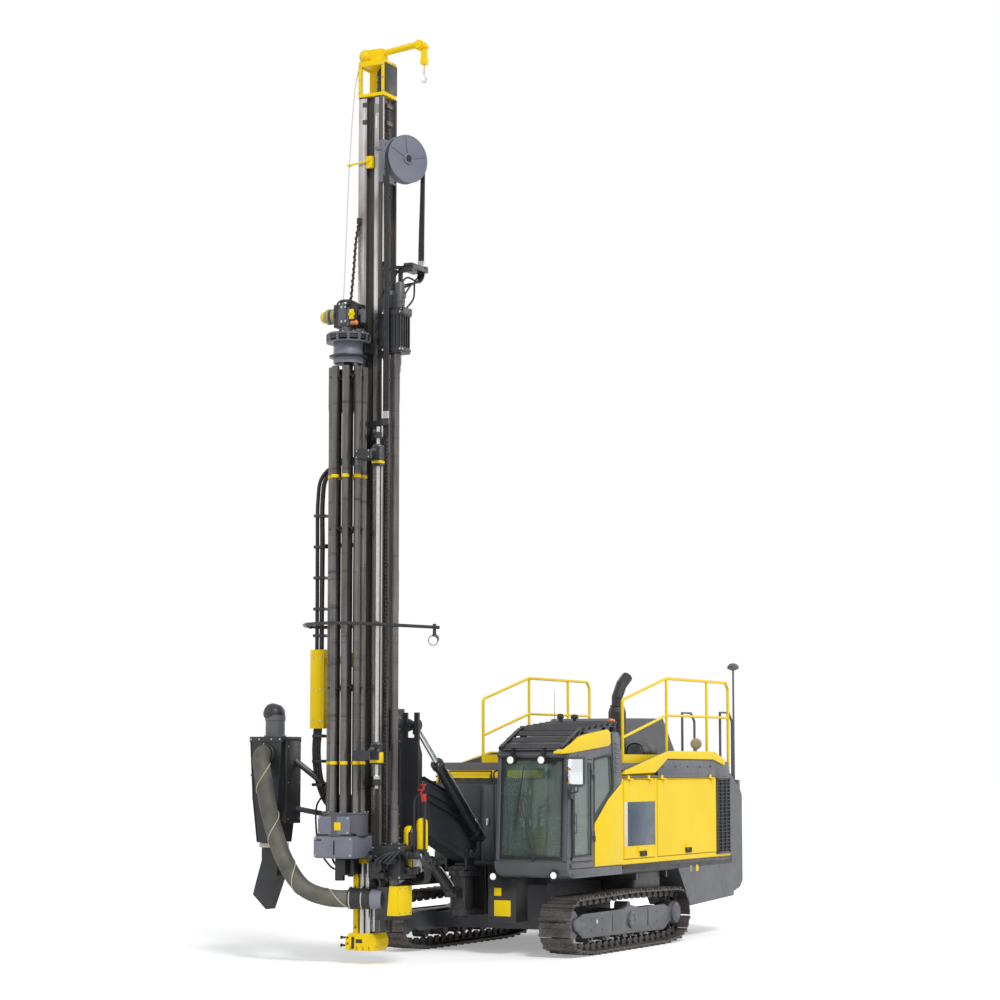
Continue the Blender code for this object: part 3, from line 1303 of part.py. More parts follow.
def separator_boot():
    # the rubber outlet, flattened towards its mouth
    x, y = SEPARATOR
    low = 1.28
    front = ((x - 0.10, low), (x - 0.10, 1.12), (x - 0.19, 0.82), (x - 0.21, 0.74), (x - 0.04, 0.58), (x + 0.10, 0.95), (x + 0.11, 1.12), (x + 0.10, low))
    solid = prism("y", front, y - 0.10, y + 0.10)
    hollow = ((x - 0.08, low - 0.04), (x - 0.08, 1.12), (x - 0.165, 0.83), (x - 0.30, 0.65), (x - 0.08, 0.45), (x + 0.075, 0.96), (x + 0.085, 1.12), (x + 0.08, low - 0.04))
    return solid, prism("y", hollow, y - 0.08, y + 0.08)


def smooth_run(points, steps):
    # points along a smooth curve through the route's own points
    run = [Vector(p) for p in points]
    run = [run[0] * 2 - run[1]] + run + [run[-1] * 2 - run[-2]]
    found = []
    for a, b, c, d in zip(run, run[1:], run[2:], run[3:]):
        for k in range(steps):
            t = k / steps
            found.append(0.5 * ((2 * b) + (c - a) * t + (2 * a - 5 * b + 4 * c - d) * t * t + (3 * b - a - 3 * c + d) * t ** 3))
    found.append(run[-2])
    return found


DUST_ROUTE = (
    (-1.55, -3.72, 2.30), (-1.53, -3.82, 2.26), (-1.46, -3.89, 2.08), (-1.38, -3.87, 1.65),
    (-1.24, -3.83, 1.20), (-1.02, -3.78, 0.86), (-0.74, -3.70, 0.71),
)


def dust_hose(on):
    start = (SEPARATOR[0], SEPARATOR[1] - 0.19 - GAP, 2.30)
    end = Vector(COLLAR) + COLLAR_WAY * (COLLAR_LENGTH + GAP)
    curve = smooth_run(DUST_ROUTE + (tuple(end + COLLAR_WAY * 0.06),), 3)
    return assemble("dust_hose", "hose", on, [sweep([start] + curve + [end], 0.098, 10)])


def hose_cover():
    right = MAST[0] - BACK_RAIL - 0.01
    x, y = -1.05, -3.36
    return [
        block((x - 0.09, x + 0.09), (y - 0.07, y + 0.08), (2.58, 3.46)),
        block((x + 0.08, right + 0.01), (y + 0.0, y + 0.06), (3.30, 3.38)),
        block((right - 0.04, MAST[0] - BEAM_HALF - GAP), (y + 0.05, MAST[1] + 0.05), (3.26, 3.42)),
        block((right - 0.04, right + 0.01), (y + 0.0, y + 0.07), (3.26, 3.42)),
    ]


def hose_tray(on):
    # the cover box and the hoses that rise from it, held off the beam's right side
    right = MAST[0] - BACK_RAIL - 0.01
    x, y = -1.05, -3.36
    base = 3.45
    solids = hose_cover()
    for dx, dy in ((-0.03, -0.02), (0.015, 0.015), (0.03, -0.03)):
        run = (
            (x + dx, y + dy, base), (x + dx, y + dy, 5.15), (x + dx + 0.06, y + dy + 0.02, 5.42),
            (right - 0.10 + dx, y + dy + 0.06, 5.62), (right - 0.05 + dx, y + 0.12 + dy, 5.58),
        )
        solids.append(sweep(run, 0.022, 6))
    for z in (3.9, 4.6):
        solids.append(block((x - 0.065, x + 0.065), (y - 0.06, y + 0.045), (z, z + 0.05)))
    solids.append(block((x - 0.02, right + 0.01), (y + 0.02, y + 0.06), (4.62, 4.67)))
    solids.append(block((right - 0.03, MAST[0] - BEAM_HALF - GAP), (y + 0.04, MAST[1] + 0.05), (4.58, 4.70)))
    solids.append(block((right - 0.16, MAST[0] - BEAM_HALF - GAP), (y + 0.10, MAST[1] + 0.03), (5.54, 5.62)))
    return assemble("hose_tray", "yellow", on, solids)


def guard_bar(on):
    z = 3.72
    right = MAST[0] - BEAM_HALF - GAP
    route = (
        (right - 0.02, -3.20, z), (-1.03, -3.20, z), (-1.15, -3.29, z), (-1.12, -3.56, z), (-0.93, -3.85, z),
        (-0.56, -3.97, z), (-0.22, -3.88, z - 0.01), (0.16, -3.75, z - 0.03), (0.59, -3.62, z - 0.06),
    )
    solids = [
        sweep(smooth_run(route, 2), 0.02, 6),
        block((right - 0.03, right), (MAST[1] - 0.07, MAST[1] + 0.05), (z - 0.06, z + 0.06)),
        turned((0.55, -3.61, z - 0.17), (0.3, -0.9, -0.3), ((0.035, 0.0), (0.05, 0.03), (0.05, 0.10)), 10),
        bar((0.55, -3.63, z - 0.17), (0.55, -3.63, z - 0.05), 0.012, 8),
    ]
    return assemble("guard_bar", "dark", on, solids)


# The rig

def clear_scene():
    for item in list(bpy.data.objects):
        bpy.data.objects.remove(item)


def build_chassis(rig):
    undercarriage(rig)
    track("track_left", GAUGE / 2, rig)
    track("track_right", -GAUGE / 2, rig)
    main_frame(rig)
    front_box(rig)
    cab_shell(rig)
    cab_glass(rig)
    seat(rig)
    roof_guard(rig)
    canopy_shell(rig)
    engine(rig)
    rear_housing(rig)
    deck(rig)
    handrail("handrail_left", 1.10, (0.10, 1.44, 2.76, 3.50), 3.25, rig)
    handrail("handrail_right", -0.92, (0.36, 1.65, 2.82, 3.50), 3.29, rig)
    exhaust(rig)


def build_doors(rig):
    cab_door(holder("cab_door_hinge", (*DOOR_HINGE, 1.0), rig))
    for word, side in (("left", 1), ("right", -1)):
        for place, span in zip(("front", "rear"), HATCHES):
            at = (side * HATCH_HINGE[0], span[0], HATCH_HINGE[1])
            hatch(f"hatch_{place}_{word}", side, span, holder(f"hatch_{place}_{word}_hinge", at, rig))


def build_boom(rig):
    swing = holder("boom_swing_axis", (BOOM_X, SWING_Y, POST_Z[0]), rig)
    lift = holder("boom_lift_axis", (BOOM_X, *LIFT_PIVOT), swing)
    dump = holder("feed_dump_axis", (BOOM_X, *DUMP_PIVOT), lift)
    tilt = holder("feed_swing_axis", (MAST[0], PLATE_Y[0], TILT_Z), dump)
    boom_post(swing)
    boom_arm(lift)
    lift_barrel = holder("lift_barrel_axis", (BOOM_X, *LIFT_BASE), swing)
    lift_rod = holder("lift_rod_axis", (BOOM_X, *LIFT_EYE), lift_barrel)
    cylinder("lift_cylinder", BOOM_X, LIFT_BASE, LIFT_EYE, 0.68, lift_barrel, lift_rod, 0.045 - GAP, 0.022)
    dump_barrel = holder("dump_barrel_axis", (DUMP_X, *DUMP_BASE), lift)
    dump_rod = holder("dump_rod_axis", (DUMP_X, *DUMP_EYE), dump_barrel)
    cylinder("dump_cylinder", DUMP_X, DUMP_BASE, DUMP_EYE, 1.38, dump_barrel, dump_rod, DUMP_EYE_HALF, 0.025)
    feed_mount(dump)
    feed_cradle(tilt)
    return holder("feed_slide_axis", (MAST[0], MAST[1], MAST_Z[0]), tilt)


def build_feed(feed):
    mast_beam(feed)
    mast_foot(feed)
    top_frame(feed)
    carousel_top(feed)
    carousel_base(feed)
    breakout_table(feed)
    dust_separator(feed)
    dust_hose(feed)
    hose_tray(feed)
    guard_bar(feed)
    service_jib(holder("jib_axis", (*JIB, JIB_Z), feed))
    carousel_rotor(holder("carousel_axis", (*CAROUSEL, RODS_Z[0]), feed))
    shaft_arm("lower_shaft_arm", SHAFT_ARMS[0], feed)
    shaft_arm("upper_shaft_arm", SHAFT_ARMS[1], feed)
    hose_anchor(feed)
    swinging = holder("gripper_axis", (*GRIPPER, GRIPPER_LEVELS[0][1]), feed)
    gripper_shaft(swinging)
    for name, z in GRIPPER_LEVELS:
        gripper(name, z, swinging)
    dust_hood(holder("hood_slide_axis", (*DRILL, HOOD_Z[0]), feed))
    carriage = holder("carriage_axis", (MAST[0], MAST[1], SHEAVE[2]), feed)
    sheave_carriage(carriage)
    feed_hoses(feed)
    hose_sheave(holder("sheave_axis", SHEAVE, carriage))
    head = holder("head_axis", (*DRILL, HEAD_Z[0]), carriage)
    head_hoses(carriage)
    rotation_head(head)
    drill_string(holder("spindle_axis", (*DRILL, HEAD_Z[0]), head))


def main():
    clear_scene()
    rig = holder("rig", (0, 0, 0), None)
    rig.location = (-BOX_MIDDLE[0], -BOX_MIDDLE[1], 0)
    build_chassis(rig)
    build_doors(rig)
    build_feed(build_boom(rig))


main()
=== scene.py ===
import json
from math import atan2, cos, hypot, pi, radians, sin, sqrt

import bmesh
import bpy
from mathutils import Matrix, Vector

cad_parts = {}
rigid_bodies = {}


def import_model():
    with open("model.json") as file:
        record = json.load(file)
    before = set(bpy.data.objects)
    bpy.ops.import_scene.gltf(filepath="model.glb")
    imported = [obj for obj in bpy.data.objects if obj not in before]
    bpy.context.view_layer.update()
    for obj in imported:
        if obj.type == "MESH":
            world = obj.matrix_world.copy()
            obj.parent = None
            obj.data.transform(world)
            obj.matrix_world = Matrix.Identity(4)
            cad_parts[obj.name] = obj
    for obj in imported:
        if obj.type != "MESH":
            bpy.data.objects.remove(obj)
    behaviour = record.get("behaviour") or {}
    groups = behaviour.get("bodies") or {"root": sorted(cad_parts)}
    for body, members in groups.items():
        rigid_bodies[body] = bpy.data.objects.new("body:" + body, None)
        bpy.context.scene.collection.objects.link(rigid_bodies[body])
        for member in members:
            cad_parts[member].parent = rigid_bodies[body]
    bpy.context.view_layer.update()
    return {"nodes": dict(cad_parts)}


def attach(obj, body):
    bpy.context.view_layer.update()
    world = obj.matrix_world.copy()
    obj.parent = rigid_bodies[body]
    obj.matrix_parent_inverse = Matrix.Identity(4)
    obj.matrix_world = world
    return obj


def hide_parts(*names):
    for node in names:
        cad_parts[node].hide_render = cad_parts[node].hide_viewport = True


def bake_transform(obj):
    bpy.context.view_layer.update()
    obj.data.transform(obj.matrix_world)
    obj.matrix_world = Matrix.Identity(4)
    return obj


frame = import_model()
nodes = frame["nodes"]
shift = Vector((0.11, 0.09, 0.0))    # the rig's own middle, as the part places it


# Camera, floor and light

view = {"place": (13.60, -27.37, 2.2), "turn": 27.0, "pitch": 6.0, "lens": 90.0}
studio = {"sky": 0.55, "key": 1.9, "fill": 260.0, "rim": 420.0, "floor": (0.86, 0.86, 0.86)}


def setCamera():
    bpy.ops.object.camera_add(location=view["place"])
    camera = bpy.context.object
    camera.rotation_euler = (radians(90 + view["pitch"]), 0, radians(view["turn"]))
    camera.data.lens = view["lens"]
    camera.data.sensor_width = 36
    camera.data.clip_end = 300
    bpy.context.scene.camera = camera


def seenRays(tree):
    # 1 where the camera, a reflection or a pane looks, and 0 for the light that falls on things
    path = tree.nodes.new("ShaderNodeLightPath")
    either = tree.nodes.new("ShaderNodeMath")
    either.operation = "MAXIMUM"
    tree.links.new(path.outputs["Is Camera Ray"], either.inputs[0])
    tree.links.new(path.outputs["Is Glossy Ray"], either.inputs[1])
    both = tree.nodes.new("ShaderNodeMath")
    both.operation = "MAXIMUM"
    tree.links.new(either.outputs[0], both.inputs[0])
    tree.links.new(path.outputs["Is Transmission Ray"], both.inputs[1])
    return both.outputs[0]


def setFloor():
    bpy.ops.mesh.primitive_circle_add(vertices=96, radius=140, fill_type="NGON", location=(0, 40, 0))
    floor = bpy.context.object
    floor.name = "studioFloor"
    paint = bpy.data.materials.new("studioFloorPaint")
    paint.use_nodes = True
    tree = paint.node_tree
    shader = tree.nodes["Principled BSDF"]
    shader.inputs["Base Color"].default_value = (*studio["floor"], 1)
    shader.inputs["Roughness"].default_value = 0.9
    shader.inputs["Specular IOR Level"].default_value = 0.1
    lift = tree.nodes.new("ShaderNodeEmission")
    lift.inputs["Color"].default_value = (1, 1, 1, 1)
    share = tree.nodes.new("ShaderNodeMath")
    share.operation = "MULTIPLY"
    share.inputs[1].default_value = 0.30
    tree.links.new(seenRays(tree), share.inputs[0])
    tree.links.new(share.outputs[0], lift.inputs["Strength"])
    add = tree.nodes.new("ShaderNodeAddShader")
    tree.links.new(shader.outputs[0], add.inputs[0])
    tree.links.new(lift.outputs[0], add.inputs[1])
    tree.links.new(add.outputs[0], tree.nodes["Material Output"].inputs["Surface"])
    floor.data.materials.append(paint)


def setWorld():
    world = bpy.data.worlds.new("studioSky")
    bpy.context.scene.world = world
    world.use_nodes = True
    tree = world.node_tree
    tree.nodes["Background"].inputs["Color"].default_value = (0.96, 0.98, 1.0, 1)
    tree.nodes["Background"].inputs["Strength"].default_value = studio["sky"]
    seen = tree.nodes.new("ShaderNodeBackground")
    seen.inputs["Color"].default_value = (1, 1, 1, 1)
    seen.inputs["Strength"].default_value = 1.0
    mix = tree.nodes.new("ShaderNodeMixShader")
    tree.links.new(seenRays(tree), mix.inputs[0])
    tree.links.new(tree.nodes["Background"].outputs[0], mix.inputs[1])
    tree.links.new(seen.outputs[0], mix.inputs[2])
    tree.links.new(mix.outputs[0], tree.nodes["World Output"].inputs["Surface"])


def setLamps():
    bpy.ops.object.light_add(type="SUN", location=(8, -12, 16),
        rotation=(radians(48), radians(6), radians(42)))
    key = bpy.context.object
    key.data.energy = studio["key"]
    key.data.angle = radians(14)
    for place, power, size in (((-14, -16, 9), studio["fill"], 9), ((10, 14, 10), studio["rim"], 9)):
        bpy.ops.object.light_add(type="AREA", location=place)
        lamp = bpy.context.object
        lamp.data.energy = power
        lamp.data.size = size
        toRig = Vector((0, 0, 3)) - Vector(place)
        lamp.rotation_euler = toRig.to_track_quat("-Z", "Y").to_euler()


setCamera()
setFloor()
setWorld()
setLamps()
bpy.context.scene.view_settings.view_transform = "Standard"
print("camera, floor and light ready")


# Materials: each reads Object coordinates, and its own function holds its values

def startMaterial(name, rough, metallic=0.0, specular=0.5):
    made = bpy.data.materials.new(name)
    made.use_nodes = True
    tree = made.node_tree
    shader = tree.nodes["Principled BSDF"]
    shader.inputs["Roughness"].default_value = rough
    shader.inputs["Metallic"].default_value = metallic
    shader.inputs["Specular IOR Level"].default_value = specular
    return made, tree, shader


def coordinates(tree, stretch=(1, 1, 1), turn=(0, 0, 0)):
    where = tree.nodes.new("ShaderNodeTexCoord")
    mapping = tree.nodes.new("ShaderNodeMapping")
    mapping.inputs["Scale"].default_value = stretch
    mapping.inputs["Rotation"].default_value = turn
    tree.links.new(where.outputs["Object"], mapping.inputs["Vector"])
    return mapping.outputs[0]


def noise(tree, scale, detail=4.0, stretch=(1, 1, 1), rough=0.55):
    made = tree.nodes.new("ShaderNodeTexNoise")
    made.inputs["Scale"].default_value = scale
    made.inputs["Detail"].default_value = detail
    made.inputs["Roughness"].default_value = rough
    tree.links.new(coordinates(tree, stretch), made.inputs["Vector"])
    return made.outputs["Fac"]


def spread(tree, value, low, high, toLow=0.0, toHigh=1.0):
    made = tree.nodes.new("ShaderNodeMapRange")
    made.inputs["From Min"].default_value = low
    made.inputs["From Max"].default_value = high
    made.inputs["To Min"].default_value = toLow
    made.inputs["To Max"].default_value = toHigh
    tree.links.new(value, made.inputs["Value"])
    return made.outputs[0]


def blendColour(tree, share, first, second):
    made = tree.nodes.new("ShaderNodeMix")
    made.data_type = "RGBA"
    tree.links.new(share, made.inputs["Factor"])
    for socket, value in ((made.inputs["A"], first), (made.inputs["B"], second)):
        if isinstance(value, tuple):
            socket.default_value = (*value, 1)
        else:
            tree.links.new(value, socket)
    return made.outputs["Result"]


def multiply(tree, first, second):
    made = tree.nodes.new("ShaderNodeMath")
    made.operation = "MULTIPLY"
    for socket, value in ((made.inputs[0], first), (made.inputs[1], second)):
        if isinstance(value, float):
            socket.default_value = value
        else:
            tree.links.new(value, socket)
    return made.outputs[0]


def lowDust(tree, top=1.6):
    # more dust towards the ground, broken up in patches
    where = tree.nodes.new("ShaderNodeSeparateXYZ")
    tree.links.new(coordinates(tree), where.inputs[0])
    height = spread(tree, where.outputs["Z"], top, 0.0)
    return multiply(tree, height, spread(tree, noise(tree, 3.1, 6), 0.40, 0.72))


def bump(tree, shader, height, strength, distance):
    made = tree.nodes.new("ShaderNodeBump")
    made.inputs["Strength"].default_value = strength
    made.inputs["Distance"].default_value = distance
    tree.links.new(height, made.inputs["Height"])
    tree.links.new(made.outputs[0], shader.inputs["Normal"])


def setColour(tree, shader, value):
    tree.links.new(value, shader.inputs["Base Color"])


def setRough(tree, shader, value):
    tree.links.new(value, shader.inputs["Roughness"])


def coat(name, look):
    # a sprayed finish: slow colour drift, fine speckle, dust low down, orange peel
    made, tree, shader = startMaterial(name, look["rough"], 0.0, look.get("specular", 0.5))
    drift = blendColour(tree, spread(tree, noise(tree, 1.4, 5), 0.35, 0.65), look["dark"], look["light"])
    dust = multiply(tree, lowDust(tree, look.get("dustTop", 1.6)), look["dust"])
    dusted = blendColour(tree, dust, drift, (0.30, 0.26, 0.21))
    setColour(tree, shader, dusted)
    smear = spread(tree, noise(tree, 9.0, 6), 0.3, 0.7, look["rough"] - 0.07, look["rough"] + 0.10)
    setRough(tree, shader, smear)
    bump(tree, shader, noise(tree, 260.0, 2), 0.06, 0.002)
    return made


def yellowPaint():
    return coat("yellowPaint", {"dark": (0.87, 0.60, 0.002), "light": (0.92, 0.64, 0.004), "rough": 0.38,
        "specular": 0.2, "dust": 0.07, "dustTop": 0.8})


def graphitePaint():
    return coat("graphitePaint", {"dark": (0.078, 0.083, 0.097), "light": (0.104, 0.110, 0.127),
        "rough": 0.42, "dust": 0.18})


def blackPaint():
    return coat("blackPaint", {"dark": (0.010, 0.0105, 0.012), "light": (0.021, 0.022, 0.025),
        "rough": 0.40, "dust": 0.14, "dustTop": 1.2})


def slatePaint():
    return coat("slatePaint", {"dark": (0.026, 0.028, 0.034), "light": (0.042, 0.045, 0.054),
        "rough": 0.36, "dust": 0.12})


def steelBluePaint():
    return coat("steelBluePaint", {"dark": (0.15, 0.16, 0.20), "light": (0.21, 0.22, 0.26), "rough": 0.40,
        "dust": 0.2})


def mastPaint():
    # brown-grey paint rubbed along its length
    look = {"paint": (0.060, 0.054, 0.050), "worn": (0.165, 0.150, 0.140)}
    made, tree, shader = startMaterial("mastPaint", 0.42, 0.25)
    streaks = noise(tree, 14.0, 6, (1, 1, 0.045))
    patches = noise(tree, 2.2, 5, (1, 1, 0.35))
    share = multiply(tree, spread(tree, streaks, 0.42, 0.66), spread(tree, patches, 0.32, 0.66))
    setColour(tree, shader, blendColour(tree, share, look["paint"], look["worn"]))
    setRough(tree, shader, spread(tree, streaks, 0.3, 0.7, 0.50, 0.30))
    bump(tree, shader, streaks, 0.08, 0.003)
    return made


def railSteel():
    # bright running faces of the beam
    made, tree, shader = startMaterial("railSteel", 0.28, 0.9)
    streaks = noise(tree, 22.0, 6, (1, 1, 0.03))
    rubs = noise(tree, 1.6, 4, (1, 1, 0.5))
    colour = blendColour(tree, spread(tree, streaks, 0.35, 0.65), (0.30, 0.28, 0.27), (0.62, 0.61, 0.60))
    setColour(tree, shader, blendColour(tree, spread(tree, rubs, 0.52, 0.72), colour, (0.16, 0.13, 0.11)))
    setRough(tree, shader, spread(tree, rubs, 0.4, 0.7, 0.22, 0.5))
    bump(tree, shader, streaks, 0.05, 0.001)
    return made


def rodSteel():
    # drill pipe: dark brown-grey, with scuffs round it
    made, tree, shader = startMaterial("rodSteel", 0.42, 0.65)
    length = noise(tree, 9.0, 6, (1, 1, 0.12))
    rings = noise(tree, 6.0, 5, (0.25, 0.25, 3.0))
    colour = blendColour(tree, spread(tree, length, 0.35, 0.68), (0.090, 0.083, 0.079),
        (0.194, 0.184, 0.176))
    setColour(tree, shader, blendColour(tree, spread(tree, rings, 0.56, 0.74), colour,
        (0.059, 0.047, 0.041)))
    setRough(tree, shader, spread(tree, rings, 0.4, 0.7, 0.30, 0.48))
    bump(tree, shader, rings, 0.06, 0.002)
    return made


def trackSteel():
    made, tree, shader = startMaterial("trackSteel", 0.55, 0.55)
    grain = noise(tree, 34.0, 7)
    patches = noise(tree, 5.0, 5)
    colour = blendColour(tree, spread(tree, patches, 0.35, 0.66), (0.060, 0.052, 0.048),
        (0.135, 0.120, 0.112))
    setColour(tree, shader, blendColour(tree, spread(tree, grain, 0.55, 0.75), colour,
        (0.21, 0.185, 0.165)))
    setRough(tree, shader, spread(tree, patches, 0.3, 0.7, 0.42, 0.68))
    bump(tree, shader, grain, 0.18, 0.003)
    return made


def brightSteel():
    made, tree, shader = startMaterial("brightSteel", 0.30, 1.0)
    setColour(tree, shader, blendColour(tree, noise(tree, 18.0, 5), (0.34, 0.33, 0.33), (0.66, 0.66, 0.66)))
    setRough(tree, shader, spread(tree, noise(tree, 40.0, 4), 0.3, 0.7, 0.24, 0.42))
    return made


def chromeRod():
    made, tree, shader = startMaterial("chromeRod", 0.12, 1.0)
    setColour(tree, shader, blendColour(tree, noise(tree, 12.0, 3), (0.62, 0.62, 0.63), (0.80, 0.80, 0.81)))
    setRough(tree, shader, spread(tree, noise(tree, 60.0, 3), 0.3, 0.7, 0.08, 0.18))
    return made


def rubberHose():
    made, tree, shader = startMaterial("rubberHose", 0.55, 0.0, 0.4)
    setColour(tree, shader, blendColour(tree, spread(tree, noise(tree, 20.0, 5), 0.3, 0.7),
        (0.012, 0.012, 0.013), (0.034, 0.034, 0.036)))
    setRough(tree, shader, spread(tree, noise(tree, 7.0, 4), 0.3, 0.7, 0.42, 0.66))
    bump(tree, shader, noise(tree, 400.0, 2), 0.10, 0.001)
    return made


def dustHoseRubber():
    made, tree, shader = startMaterial("dustHoseRubber", 0.62, 0.0, 0.35)
    base = blendColour(tree, spread(tree, noise(tree, 6.0, 6), 0.3, 0.7), (0.075, 0.072, 0.060),
        (0.125, 0.120, 0.102))
    setColour(tree, shader, blendColour(tree, lowDust(tree, 2.4), base, (0.20, 0.185, 0.155)))
    setRough(tree, shader, spread(tree, noise(tree, 9.0, 4), 0.3, 0.7, 0.52, 0.72))
    bump(tree, shader, noise(tree, 160.0, 3), 0.12, 0.002)
    return made


def dustHoseWire():
    made, tree, shader = startMaterial("dustHoseWire", 0.5, 0.0, 0.4)
    setColour(tree, shader, blendColour(tree, spread(tree, noise(tree, 8.0, 6), 0.3, 0.7),
        (0.40, 0.39, 0.26), (0.58, 0.56, 0.38)))
    setRough(tree, shader, spread(tree, noise(tree, 11.0, 4), 0.3, 0.7, 0.42, 0.6))
    return made


def cabGlass():
    # green-grey laminated glass, faintly smeared
    made, tree, shader = startMaterial("cabGlass", 0.03, 0.0, 0.5)
    shader.inputs["Transmission Weight"].default_value = 0.92
    shader.inputs["IOR"].default_value = 1.45
    setColour(tree, shader, blendColour(tree, noise(tree, 2.0, 3), (0.60, 0.76, 0.69), (0.68, 0.84, 0.77)))
    setRough(tree, shader, spread(tree, noise(tree, 3.0, 4), 0.3, 0.7, 0.01, 0.06))
    return made


def seatCloth():
    made, tree, shader = startMaterial("seatCloth", 0.9, 0.0, 0.2)
    shader.inputs["Sheen Weight"].default_value = 0.3
    weave = tree.nodes.new("ShaderNodeTexWave")
    weave.inputs["Scale"].default_value = 90.0
    weave.inputs["Distortion"].default_value = 1.5
    tree.links.new(coordinates(tree), weave.inputs["Vector"])
    setColour(tree, shader, blendColour(tree, weave.outputs["Fac"], (0.030, 0.031, 0.036),
        (0.062, 0.064, 0.072)))
    bump(tree, shader, weave.outputs["Fac"], 0.3, 0.002)
    return made


def mouldedBlack():
    made, tree, shader = startMaterial("mouldedBlack", 0.6, 0.0, 0.4)
    setColour(tree, shader, blendColour(tree, noise(tree, 15.0, 4), (0.018, 0.018, 0.020),
        (0.038, 0.038, 0.042)))
    bump(tree, shader, noise(tree, 500.0, 2), 0.25, 0.001)
    return made


def bluePanel():
    return coat("bluePanel", {"dark": (0.022, 0.045, 0.082), "light": (0.030, 0.058, 0.100),
        "rough": 0.30, "dust": 0.12})


def whitePanel():
    return coat("whitePanel", {"dark": (0.62, 0.63, 0.63), "light": (0.72, 0.73, 0.73), "rough": 0.40,
        "dust": 0.25})


def greenPlate():
    return coat("greenPlate", {"dark": (0.20, 0.25, 0.20), "light": (0.27, 0.31, 0.26), "rough": 0.45,
        "dust": 0.2})


def khakiPaint():
    return coat("khakiPaint", {"dark": (0.26, 0.22, 0.11), "light": (0.38, 0.33, 0.17), "rough": 0.5,
        "dust": 0.2})


def orangeLens():
    return coat("orangeLens", {"dark": (0.72, 0.15, 0.02), "light": (0.85, 0.22, 0.03), "rough": 0.15,
        "dust": 0.0})


def redPaint():
    return coat("redPaint", {"dark": (0.45, 0.015, 0.012), "light": (0.60, 0.025, 0.020), "rough": 0.35,
        "dust": 0.1})


def lampLens():
    made, tree, shader = startMaterial("lampLens", 0.12, 0.0, 0.6)
    ribs = tree.nodes.new("ShaderNodeTexWave")
    ribs.inputs["Scale"].default_value = 40.0
    tree.links.new(coordinates(tree), ribs.inputs["Vector"])
    setColour(tree, shader, blendColour(tree, ribs.outputs["Fac"], (0.78, 0.80, 0.82), (0.95, 0.96, 0.98)))
    shader.inputs["Emission Color"].default_value = (1.0, 0.98, 0.92, 1)
    shader.inputs["Emission Strength"].default_value = 0.35
    return made


def mirrorGlass():
    made, tree, shader = startMaterial("mirrorGlass", 0.04, 1.0)
    setColour(tree, shader, blendColour(tree, noise(tree, 5.0, 3), (0.72, 0.75, 0.78), (0.80, 0.82, 0.84)))
    return made


def creamRubber():
    return coat("creamRubber", {"dark": (0.46, 0.42, 0.34), "light": (0.60, 0.56, 0.47), "rough": 0.6,
        "dust": 0.2})


def whiteRope():
    made, tree, shader = startMaterial("whiteRope", 0.8, 0.0, 0.3)
    lay = tree.nodes.new("ShaderNodeTexWave")
    lay.inputs["Scale"].default_value = 30.0
    lay.bands_direction = "Z"
    tree.links.new(coordinates(tree), lay.inputs["Vector"])
    setColour(tree, shader, blendColour(tree, lay.outputs["Fac"], (0.50, 0.50, 0.48), (0.74, 0.74, 0.72)))
    return made


def meshGrille():
    # woven dark mesh behind the grilles
    made, tree, shader = startMaterial("meshGrille", 0.6, 0.3, 0.4)
    checks = tree.nodes.new("ShaderNodeTexChecker")
    checks.inputs["Scale"].default_value = 120.0
    tree.links.new(coordinates(tree), checks.inputs["Vector"])
    setColour(tree, shader, blendColour(tree, checks.outputs["Fac"], (0.006, 0.006, 0.007),
        (0.050, 0.050, 0.054)))
    bump(tree, shader, checks.outputs["Fac"], 0.4, 0.002)
    return made


finishes = {"yellow": yellowPaint(), "graphite": graphitePaint(), "black": blackPaint(),
    "steelBlue": steelBluePaint(), "slate": slatePaint(), "mast": mastPaint(), "rail": railSteel(),
    "rod": rodSteel(), "track": trackSteel(), "bright": brightSteel(), "chrome": chromeRod(),
    "rubber": rubberHose(), "hose": dustHoseRubber(), "hoseWire": dustHoseWire(), "glass": cabGlass(),
    "cloth": seatCloth(), "moulded": mouldedBlack(), "blue": bluePanel(), "white": whitePanel(),
    "green": greenPlate(), "khaki": khakiPaint(), "orange": orangeLens(), "red": redPaint(),
    "lamp": lampLens(), "mirror": mirrorGlass(), "cream": creamRubber(), "rope": whiteRope(),
    "grille": meshGrille()}
print("materials ready")


# Modelling helpers: a piece is opened in edit mode, filled with shaped parts, and finished

def rig(x, y, z):
    return Vector((x, y, z)) + shift


def begin(name):
    bpy.ops.object.select_all(action="DESELECT")
    bpy.ops.object.add(type="MESH")
    piece = bpy.context.object
    piece.name = name
    piece.data.name = name
    bpy.ops.object.mode_set(mode="EDIT")
    return piece


def block(x, y, z, turn=(0, 0, 0)):
    middle = rig((x[0] + x[1]) / 2, (y[0] + y[1]) / 2, (z[0] + z[1]) / 2)
    size = (abs(x[1] - x[0]), abs(y[1] - y[0]), abs(z[1] - z[0]))
    bpy.ops.mesh.primitive_cube_add(size=1, location=middle, scale=size, rotation=turn)


def rod(start, end, radius, sides=16, endRadius=None):
    a, b = rig(*start), rig(*end)
    way = b - a
    bpy.ops.mesh.primitive_cone_add(
        vertices=sides, radius1=radius, radius2=radius if endRadius is None else endRadius,
        depth=way.length, location=(a + b) / 2, rotation=way.to_track_quat("Z", "Y").to_euler())


def ball(centre, radius, sides=16):
    bpy.ops.mesh.primitive_uv_sphere_add(segments=sides, ring_count=sides // 2, radius=radius,
        location=rig(*centre))


def pickedVerts(piece):
    # the picked vertices stay good only while the mesh that they come with is held
    mesh = bmesh.from_edit_mesh(piece.data)
    return mesh, [v for v in mesh.verts if v.select]


def laid(axis, a, b, height):
    # where a point drawn on a plane lies at a height along the axis
    return {"x": rig(height, a, b), "y": rig(a, height, b), "z": rig(a, b, height)}[axis]


